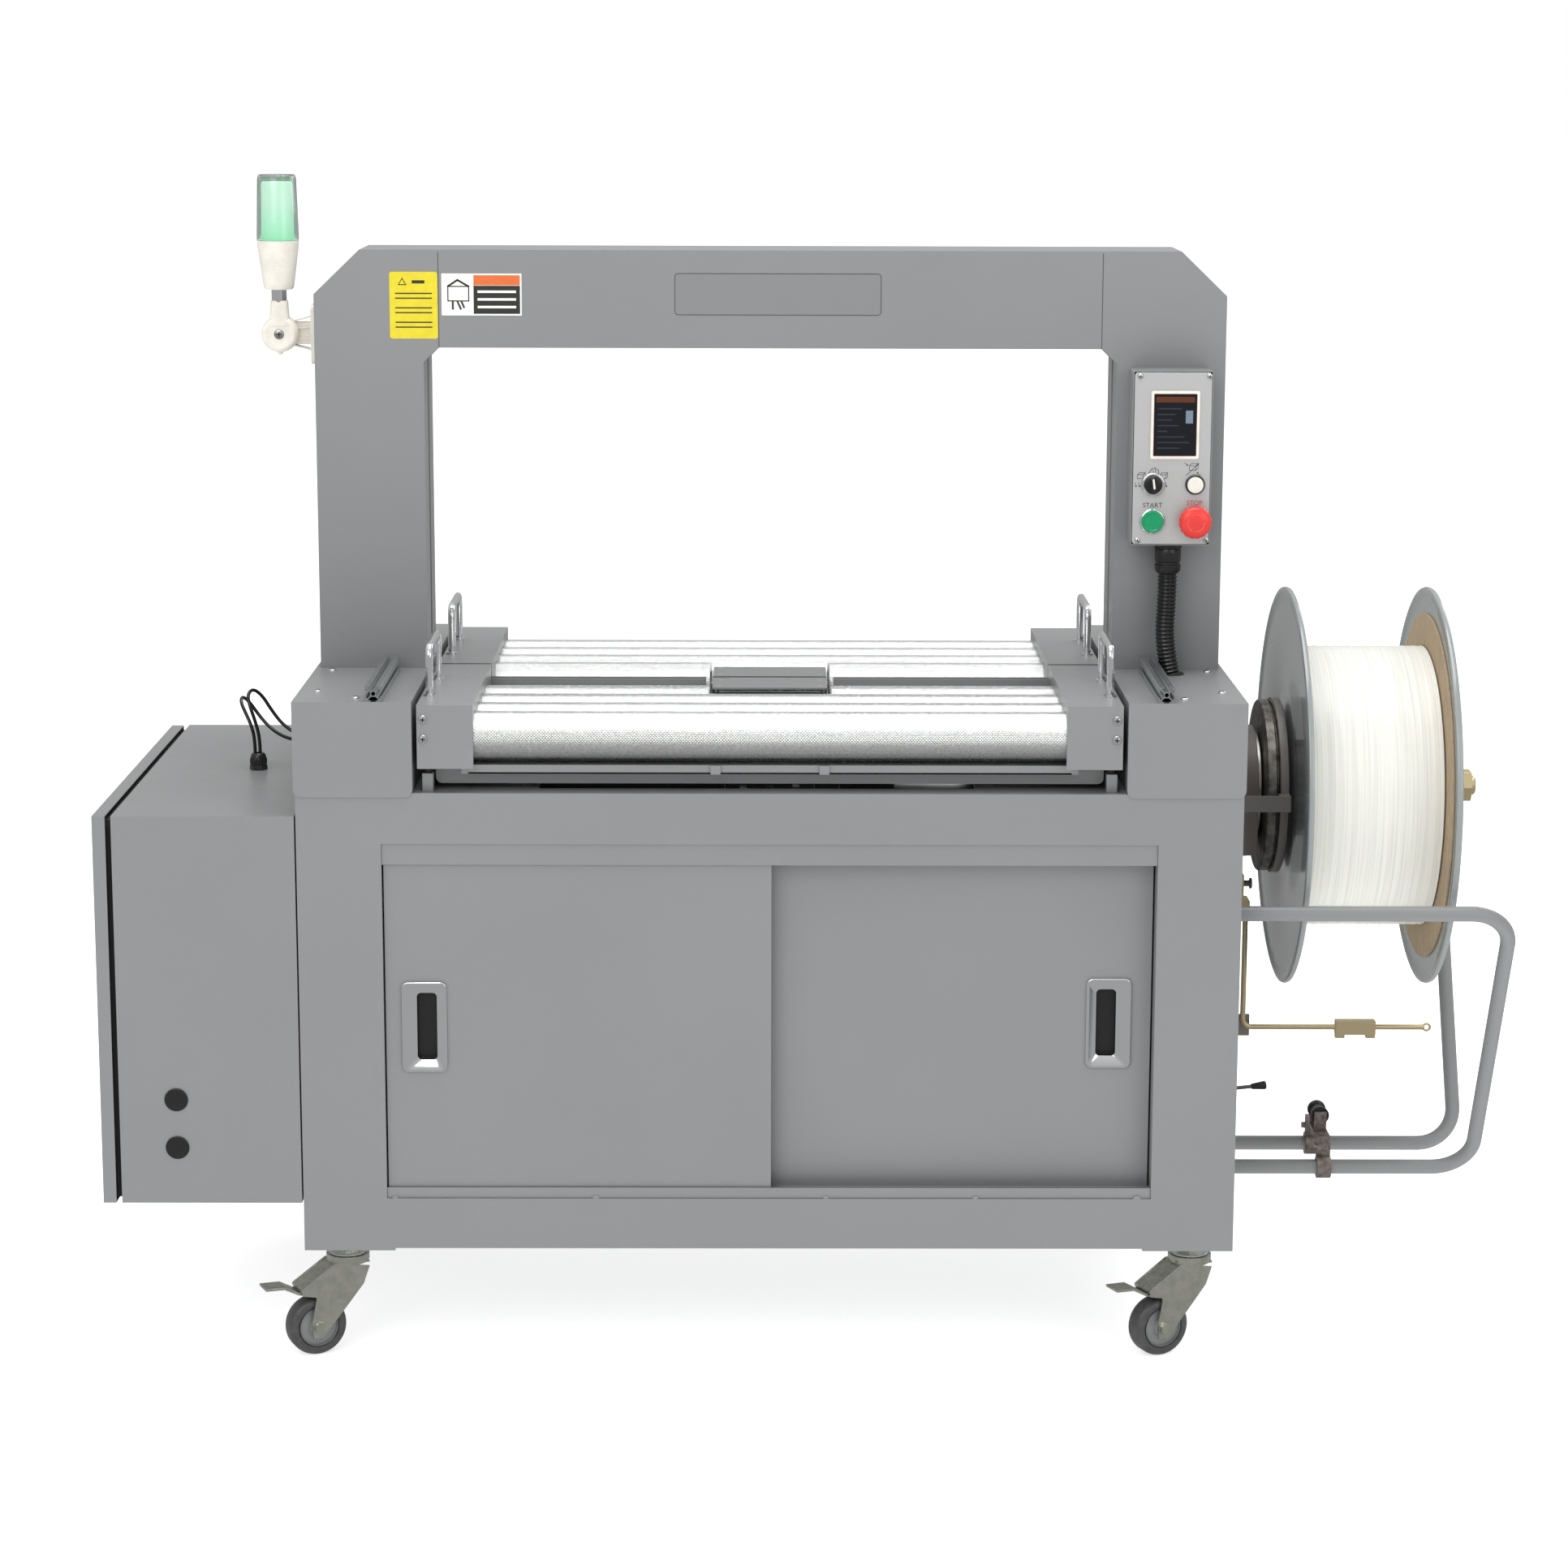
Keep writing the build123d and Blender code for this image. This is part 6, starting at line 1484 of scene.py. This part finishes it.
# ------------------------------------------------------------------ operators: signal light
class STRAPPING_OT_signal_light(bpy.types.Operator):
    """Adds the signal light: bracket, knuckle, steel tube, housing, lens and diffuser"""

    bl_idname = "strapping.signal_light"
    bl_label = "Signal light"

    def execute(self, context):
        white, steel = warm_white_abs(), turned_steel()
        base_low, base_high = span("tower_base")
        lens_low, lens_high = span("tower_lens")
        plate_high = span("tower_bracket")[1]
        up, front = Vector((0, 0, 1)), Vector((0, -1, 0))
        x, y = (base_low.x + base_high.x) / 2, (lens_low.y + lens_high.y) / 2
        knuckle = Vector((x, 0, base_low.z + 23 * MM))

        bm = bmesh.new()
        profile = [(-19.8, 0), (-19.8, 19), (-17, 22), (-1, 23), (-0.2, 22), (-0.2, 0)]
        lathe(bm, in_mm(profile), knuckle, front, 56)
        wall = plate_high.x
        prism(
            bm, rounded_rectangle(44 * MM, 75 * MM, 7 * MM), (0, 1, 0), (0, 0, 1),
            (wall, 0, knuckle.z), (-9 * MM, 0, 0),
        )
        slab(bm, (x, 4 * MM, knuckle.z - 14 * MM), (wall - 5 * MM, 17 * MM, knuckle.z + 14 * MM))
        for rise in (-22, -8, 8, 22):
            rib = [
                (10 * MM, rise * 0.62 * MM - MM), (41 * MM, rise * MM - 1.2 * MM),
                (41 * MM, rise * MM + 1.2 * MM), (10 * MM, rise * 0.62 * MM + MM),
            ]
            prism(bm, rib, (1, 0, 0), (0, 0, 1), knuckle + Vector((0, 2 * MM, 0)), (0, 16 * MM, 0))
        finish_mesh(
            "light_bracket", bm, white, ROOT, 1.2 * MM, replaces=["tower_bracket"],
        )

        bm = bmesh.new()
        profile = [
            (0.3, 0), (0.3, 22.6), (14, 23), (17, 22.2), (19, 20), (19.6, 17.6), (18.6, 15.8),
            (18.8, 8), (18.8, 0),
        ]
        lathe(bm, in_mm(profile), knuckle, front, 64)
        neck_top = knuckle.z + 42 * MM
        loops = []
        for share in (0.25, 0.55, 0.8, 0.97, 1.0):
            w = (27 - 5.5 * share - (1.2 if share == 1.0 else 0)) * MM
            d = (19 - (1.2 if share == 1.0 else 0)) * MM
            z = knuckle.z + (neck_top - knuckle.z) * share
            loops.append([Vector((x + a, y + b, z)) for a, b in rounded_rectangle(w, d, 5 * MM)])
        rows = bridge(bm, loops)
        bm.faces.new(rows[-1])
        drip = [(-26.4, 0), (-26, 2.4), (-21, 4.6)]
        lathe(bm, in_mm(drip), Vector((x, y, knuckle.z)), up, 24)
        body_foot = knuckle.z + 56 * MM
        height = lens_low.z - body_foot
        housing = [
            (0, 0), (0, 16.8), (0.03, 18.6), (0.1, 19.6), (0.42, 22.2), (0.75, 24.9), (0.9, 26.0),
            (1.0, 26.3), (1.0, 0),
        ]
        lathe(bm, [(a * height, r * MM) for a, r in housing], Vector((x, y, body_foot)), up, 72)
        finish_mesh(
            "light_housing", bm, white, "signal_light", replaces=["tower_base"],
            sharp=50,
        )

        bm = bmesh.new()
        lathe(bm, [(-2 * MM, 9.6 * MM), (15 * MM, 9.6 * MM)], Vector((x, y, neck_top)), up, 40)
        finish_mesh("light_tube", bm, chrome_plate(), "signal_light")

        bm = bmesh.new()
        head = knuckle + front * 18.4 * MM
        low = head - Vector((6.5, 0, 6.5)) * MM
        high = head + Vector((6.5, 0, 6.5)) * MM + front * 0.2 * MM
        pan_screw(
            bm, Vector((low.x, min(low.y, high.y) - 2.4 * MM, low.z)),
            Vector((high.x, max(low.y, high.y), high.z)),
        )
        finish_mesh("light_screw", bm, [steel, black_nylon()], "signal_light")

        lens_height = lens_high.z - lens_low.z
        bm = bmesh.new()
        outer = [(0, 26.4), (0.08, 26.5), (0.94, 24.4), (0.985, 23.6), (1.0, 21.8), (1.0, 0)]
        inner = [(0.96, 0), (0.96, 20.6), (0.93, 22.0), (0.03, 24.3), (0, 24.3), (0, 26.4)]
        profile = [(a * lens_height, r * MM) for a, r in outer + inner]
        lathe(bm, profile, Vector((x, y, lens_low.z)), up, 72)
        finish_mesh(
            "light_lens", bm, clear_polycarbonate(), "signal_light",
            replaces=["tower_lens"], sharp=50,
        )
        bm = bmesh.new()
        profile = [(0, 0), (0, 20.8), (0.86, 19.6), (0.9, 18.4), (0.91, 0)]
        lathe(
            bm, [(a * lens_height + 0.4 * MM, r * MM) for a, r in profile],
            Vector((x, y, lens_low.z)), up, 64,
        )
        finish_mesh("light_diffuser", bm, lit_diffuser(), "signal_light", sharp=50)
        return {"FINISHED"}


# ------------------------------------------------------------------ operators: reel and brake
class STRAPPING_OT_reel(bpy.types.Operator):
    """Adds the reel flanges, spindle, brake discs, strap coil and cardboard"""

    bl_idname = "strapping.reel"
    bl_label = "Strap reel"

    def execute(self, context):
        low, high = span("reel_flanges")
        axis = Vector((1, 0, 0))
        centre = Vector((0, 0, low.z + REEL_RADIUS))
        base_x = span("base_frame")[1].x
        paint = new_material(
            "flange_paint", linear("#8F9595"), 0.2, IOR=1.5, Coat_Weight=0.35, Coat_Roughness=0.08,
        )[0]
        left, right = base_x + 92 * MM, base_x + 275 * MM
        bm = bmesh.new()
        for x, side in ((left, -1), (right, 1)):
            dish = [
                (0, 13), (9, 13), (9, 40), (1.5, 44), (1.2, 74), (-0.6, 80), (-0.6, 128),
                (1.2, 134), (1.2, 232), (1.8, 246), (3.4, 249), (4.0, 253), (2.8, 256), (0, 257),
                (-2.8, 256), (-4.0, 253), (-3.0, 249.5), (-1.2, 247), (-1.0, 232), (-1.0, 134),
                (-2.6, 128), (-2.6, 80), (-1.0, 74), (-1.0, 13), (0, 13),
            ]
            profile = [(a * side * MM, r * MM) for a, r in dish]
            lathe(bm, profile, Vector((x, 0, centre.z)), axis, 160)
        finish_mesh("reel_discs", bm, paint, "reel", replaces=["reel_flanges"], sharp=40)

        bm = bmesh.new()
        # The threaded end stands clear of the flange, so that its nut shows past the rim.
        end = high.x + 20 * MM
        spindle = [
            (low.x, 0), (low.x, 12.5 * MM), (end - 2 * MM, 12.5 * MM), (end, 10.5 * MM), (end, 0),
        ]
        lathe(bm, spindle, Vector((0, 0, centre.z)), axis, 40)
        for x0, x1 in ((right + 8 * MM, right + 20 * MM), (end - 18 * MM, end - 6 * MM)):
            prism(bm, hexagon(38 * MM), (0, 1, 0), (0, 0, 1), (x0, 0, centre.z), (x1 - x0, 0, 0), 1)
        finish_mesh("reel_spindle", bm, [yellow_zinc(), yellow_zinc()], "reel", 0.8 * MM)

        bm = bmesh.new()
        brake = base_x + 57 * MM
        for x0, x1, r in ((0, 12.5, 111), (12.5, 15.5, 106), (15.5, 28, 111)):
            profile = ring_profile(r * MM, 13 * MM, brake + x0 * MM, brake + x1 * MM, 1.2 * MM)
            lathe(bm, profile, Vector((0, 0, centre.z)), axis, 112)
        hub = ring_profile(58 * MM, 13 * MM, brake + 28 * MM, brake + 34 * MM, MM)
        lathe(bm, hub, Vector((0, 0, centre.z)), axis, 64)
        finish_mesh("brake_discs", bm, cast_iron_disc(), "reel", sharp=40)

        coil_low, coil_high = span("strap_coil")
        bm = bmesh.new()
        outer = (coil_high.z - coil_low.z) / 2
        rows = 56

        def crown(n):
            return outer * (1 - 0.0025 * math.sin(n * 2.7) * math.sin(n * 1.3) - 0.002)

        profile = [(coil_low.x, 100 * MM), (coil_low.x, outer - 3 * MM)]
        width = coil_high.x - coil_low.x
        profile += [(coil_low.x + width * (n + 0.5) / rows, crown(n)) for n in range(rows)]
        profile += [(coil_high.x, outer - 3 * MM), (coil_high.x, 100 * MM)]
        lathe(bm, profile, Vector((0, 0, centre.z)), axis, 128)
        finish_mesh(
            "strap_windings", bm, strap_polypropylene(), "reel",
            replaces=["strap_coil"], sharp=60,
        )

        card_low, card_high = span("coil_cardboard")
        bm = bmesh.new()
        x1 = card_high.x
        x0 = x1 - 3 * MM
        profile = ring_profile(223 * MM, 97.2 * MM, x0, x1, 0.5 * MM)
        lathe(bm, profile, Vector((0, 0, centre.z)), axis, 128)
        core = ring_profile(99.8 * MM, 97.2 * MM, card_low.x, x0, 0.3 * MM)
        lathe(bm, core, Vector((0, 0, centre.z)), axis, 96)
        finish_mesh(
            "cardboard", bm, brown_cardboard(), "reel",
            replaces=["coil_cardboard"], sharp=40,
        )
        return {"FINISHED"}


class STRAPPING_OT_brake(bpy.types.Operator):
    """Paints the brake unit and brake lever, and adds the bearing ring, the bearing housing's outer end
    and the feed lever
    """

    bl_idname = "strapping.brake"
    bl_label = "Brake and levers"

    def execute(self, context):
        dress("brake_unit", new_material("brake_paint", linear("#6E6A66"), 0.42)[0], 0.7 * MM)
        dress("brake_lever", yellow_zinc(), 0.4 * MM)
        base_x = span("base_frame")[1].x
        reel_z = span("reel_flanges")[0].z + REEL_RADIUS
        bm = bmesh.new()
        profile = ring_profile(70 * MM, 52 * MM, 50 * MM, 55 * MM, MM)
        lathe(bm, profile, Vector((base_x, 0, reel_z)), (1, 0, 0), 72)
        finish_mesh("bearing_ring", bm, turned_steel(), ROOT)
        # The housing's outer end: round above, square below.
        bm = bmesh.new()
        radius = 78 * MM
        outline = [
            (radius * math.cos(math.pi * k / 32), radius * math.sin(math.pi * k / 32))
            for k in range(33)
        ]
        outline += [(-radius, -radius), (radius, -radius)]
        prism(bm, outline, (0, 1, 0), (0, 0, 1), (base_x + 35 * MM, 0, reel_z), (15 * MM, 0, 0))
        housing = new_material("housing_paint", linear("#6A625C"), 0.5)[0]
        finish_mesh("bearing_housing_end", bm, housing, ROOT, 1.2 * MM)
        low, high = span("side_lever")
        bm = bmesh.new()
        foot = Vector((low.x + 8 * MM, 0, low.z + 8 * MM))
        axis = Vector((math.cos(math.radians(6)), 0, math.sin(math.radians(6))))
        lathe(bm, [(0, 2.5 * MM), (78 * MM, 2.5 * MM)], foot, axis, 24)
        hub = ring_profile(8 * MM, 3.05 * MM, -5 * MM, 5 * MM, 0.6 * MM)
        lathe(bm, hub, foot, (0, 1, 0), 32)
        knob = [(76, 0), (76, 3.4), (78, 3.9), (93, 5.7), (95, 5.2), (96, 3.6), (96.2, 0)]
        lathe(bm, in_mm(knob), foot, axis, 32, 1)
        rod_finish = new_material("lever_steel", linear("#77706A"), 0.38, Metallic=1.0)[0]
        finish_mesh(
            "feed_lever_rod", bm, [rod_finish, black_nylon()], "feed_lever",
            replaces=["side_lever"], sharp=50,
        )
        return {"FINISHED"}


class STRAPPING_OT_strap_guide(bpy.types.Operator):
    """Adds the cast strap guide on the lower guard tubes and its black roller"""

    bl_idname = "strapping.strap_guide"
    bl_label = "Strap guide"

    def execute(self, context):
        dress("strap_guide_bracket", cast_bracket(), 1.2 * MM)
        low, high = span("guide_roller")
        centre = (low + high) / 2
        half = (high.y - low.y) / 2
        bm = bmesh.new()
        waist = [
            (-1, 4.1), (-1, 12), (-0.8, 12), (-0.72, 9), (0.72, 9), (0.8, 12), (1, 12), (1, 4.1),
            (-1, 4.1),
        ]
        lathe(bm, [(a * half, r * MM) for a, r in waist], centre, (0, 1, 0), 48)
        finish_mesh(
            "strap_spool", bm, black_nylon(), "strap_roller",
            replaces=["guide_roller"], sharp=40,
        )
        return {"FINISHED"}


# ------------------------------------------------------------------ operators: casters
class STRAPPING_OT_casters(bpy.types.Operator):
    """Adds the four swivel casters: zinc forks, brake pedals and polyurethane wheels"""

    bl_idname = "strapping.casters"
    bl_label = "Casters"

    def execute(self, context):
        zinc, tyre, dark = bright_zinc(), tyre_polyurethane(), black_nylon()
        dress("caster_stems", zinc, 0.5 * MM)
        turn = math.radians(25)
        axle = Vector((math.sin(turn), -math.cos(turn), 0))
        for corner in CORNERS:
            dress("caster_fork_" + corner, zinc, 0.6 * MM)
            if corner.startswith("front"):
                dress("caster_pedal_" + corner, zinc, 0.6 * MM)
            node = "caster_wheel_" + corner
            centre = middle(node)
            radius = (span(node)[1].z - span(node)[0].z) / 2
            bm = bmesh.new()
            half = 15
            tread = [
                (-half + 2, 25.5), (-half + 1, 27.5), (-half + 1, 31.5), (-half + 2.4, 34.5),
                (-half + 5, 36.6), (-half + 8, 37.5),
            ]
            tread += [(-a, r) for a, r in reversed(tread)]
            lathe(bm, [(a * MM, min(radius, r * MM)) for a, r in tread], centre, axle, 80)
            hub = [
                (-half + 2, 25.6), (-half + 2.4, 24.5), (-half + 5, 23.5), (-half + 5, 12),
                (-half + 1, 11), (-half, 10), (-half, 5.1),
            ]
            hub += [(-a, r) for a, r in reversed(hub)]
            lathe(bm, in_mm(hub), centre, axle, 80, 1)
            for side in (-1, 1):
                ring = [
                    (side * (half - 1.2), 26.4), (side * (half - 0.6), 25.8),
                    (side * (half - 1.2), 25.0),
                ]
                lathe(bm, in_mm(ring), centre, axle, 80, 2)
            hub_grey = moulded("hub_grey", linear("#7E8180"), 0.35)
            finish_mesh(
                "caster_tyre_" + corner, bm, [tyre, hub_grey, dark], "wheel_" + corner,
                replaces=[node], sharp=38,
            )
        bm = bmesh.new()
        for low, high in islands("caster_stems"):
            x, y = (low.x + high.x) / 2, (low.y + high.y) / 2
            ring = ring_profile(24 * MM, 9 * MM, 126.3 * MM, 129 * MM, 0.8 * MM)
            lathe(bm, ring, Vector((x, y, 0)), (0, 0, 1), 56)
        finish_mesh("caster_dust_caps", bm, chrome_plate(), ROOT)
        return {"FINISHED"}


# ------------------------------------------------------------------ stage
class STRAPPING_OT_stage(bpy.types.Operator):
    """Adds the pale floor, soft studio lights and the camera"""

    bl_idname = "strapping.stage"
    bl_label = "Stage"

    def execute(self, context):
        scene = context.scene
        world = scene.world or bpy.data.worlds.new("studio")
        scene.world = world
        world.use_nodes = True
        tree = world.node_tree
        background = tree.nodes["Background"]
        place = add_node(tree, "ShaderNodeTexCoord")
        split = add_node(tree, "ShaderNodeSeparateXYZ", {"Vector": place.outputs["Generated"]})
        # A studio that is dim at eye level and bright overhead.
        height = add_node(
            tree, "ShaderNodeMapRange",
            {
                "Value": split.outputs["Z"], "From Min": 0.0, "From Max": 0.8, "To Min": 0.4,
                "To Max": 0.7,
            },
        )
        # What the camera sees past the floor's far edge is white, like the floor.
        ray = add_node(tree, "ShaderNodeLightPath")
        seen = add_node(
            tree, "ShaderNodeMath", {0: height.outputs["Result"], 1: ray.outputs["Is Camera Ray"]},
            operation="MAXIMUM",
        )
        tree.links.new(seen.outputs[0], background.inputs["Strength"])
        background.inputs["Color"].default_value = (1, 1, 1, 1)
        scene.view_settings.view_transform = "Standard"

        # Matt white floor without a wall, so that the machine can be seen from every side.
        white = new_material(
            "white_floor", linear("#FAFAFA"), 0.9, Emission_Color=(1, 1, 1, 1),
            Emission_Strength=0.62,
        )[0]
        reach = 80  # metres, so that the far edge is out of sight from every side
        mesh = bpy.data.meshes.new("floor")
        corners = [(-reach, -reach, 0), (reach, -reach, 0), (reach, reach, 0), (-reach, reach, 0)]
        mesh.from_pydata(corners, [], [(0, 1, 2, 3)])
        mesh.materials.append(white)
        floor = bpy.data.objects.new("floor", mesh)
        scene.collection.objects.link(floor)
        floor.visible_glossy = False

        target = Vector((MID_X, 0, 0.7))
        for name, place, size, power in (
            ("key", (-1.6, -3.8, 3.2), 2.4, 46), ("fill", (2.8, -3.6, 2.2), 2.2, 22),
            ("top", (0, -0.2, 4.2), 2.6, 94), ("rim", (2.4, 2.2, 2.8), 1.6, 20),
        ):
            data = bpy.data.lights.new(name, "AREA")
            data.shape = "SQUARE"
            data.size = size
            data.energy = power
            lamp = bpy.data.objects.new(name, data)
            scene.collection.objects.link(lamp)
            lamp.location = place
            lamp.rotation_euler = (target - Vector(place)).to_track_quat("-Z", "Y").to_euler()

        camera_data = bpy.data.cameras.new("camera")
        camera_data.lens = 86.27
        camera_data.sensor_width = 36
        camera_data.dof.use_dof = False
        camera = bpy.data.objects.new("camera", camera_data)
        scene.collection.objects.link(camera)
        # The viewing angle, fitted to the machine's corners.
        pitch, yaw, roll = math.radians(10.884), math.radians(0.330), math.radians(0.163)
        eye = Vector((-0.06105, -4.7849, 1.5958))
        forward = Vector(
            (math.sin(yaw) * math.cos(pitch), math.cos(yaw) * math.cos(pitch), -math.sin(pitch))
        )
        right = forward.cross(Vector((0, 0, 1))).normalized()
        up = right.cross(forward)
        level = right * math.cos(roll) + up * math.sin(roll)
        upright = up * math.cos(roll) - right * math.sin(roll)
        rows = [(level[k], upright[k], -forward[k], eye[k]) for k in range(3)]
        camera.matrix_world = Matrix((*rows, (0, 0, 0, 1)))
        scene.camera = camera
        return {"FINISHED"}


PIECES = (
    STRAPPING_OT_sheet_metal, STRAPPING_OT_arch_trim, STRAPPING_OT_sliding_doors,
    STRAPPING_OT_weld_beads, STRAPPING_OT_door_seal, STRAPPING_OT_screws, STRAPPING_OT_rollers,
    STRAPPING_OT_tables, STRAPPING_OT_rails, STRAPPING_OT_control_plate, STRAPPING_OT_buttons,
    STRAPPING_OT_signal_cables, STRAPPING_OT_conduit, STRAPPING_OT_fittings,
    STRAPPING_OT_signal_light, STRAPPING_OT_reel, STRAPPING_OT_brake, STRAPPING_OT_strap_guide,
    STRAPPING_OT_casters, STRAPPING_OT_stage,
)


class STRAPPING_PT_pieces(bpy.types.Panel):
    """Lists the machine's pieces"""

    bl_idname = "STRAPPING_PT_pieces"
    bl_label = "Arch strapping machine"
    bl_space_type = "VIEW_3D"
    bl_region_type = "UI"
    bl_category = "Strapping"

    def draw(self, context):
        for group in (context.scene.strapping_sizes, context.scene.strapping_colours):
            for name in group.bl_rna.properties.keys():
                if name not in {"rna_type", "name"}:
                    self.layout.prop(group, name)
        for piece in PIECES:
            self.layout.operator(piece.bl_idname)


CLASSES = (StrappingSizes, StrappingColours, *PIECES, STRAPPING_PT_pieces)


def register():
    for item in CLASSES:
        bpy.utils.register_class(item)
    bpy.types.Scene.strapping_sizes = bpy.props.PointerProperty(type=StrappingSizes)
    bpy.types.Scene.strapping_colours = bpy.props.PointerProperty(type=StrappingColours)


def unregister():
    del bpy.types.Scene.strapping_colours
    del bpy.types.Scene.strapping_sizes
    for item in reversed(CLASSES):
        bpy.utils.unregister_class(item)


def main():
    register()
    for piece in PIECES:
        group, name = piece.bl_idname.split(".")
        getattr(getattr(bpy.ops, group), name)()


if __name__ == "__main__":
    main()
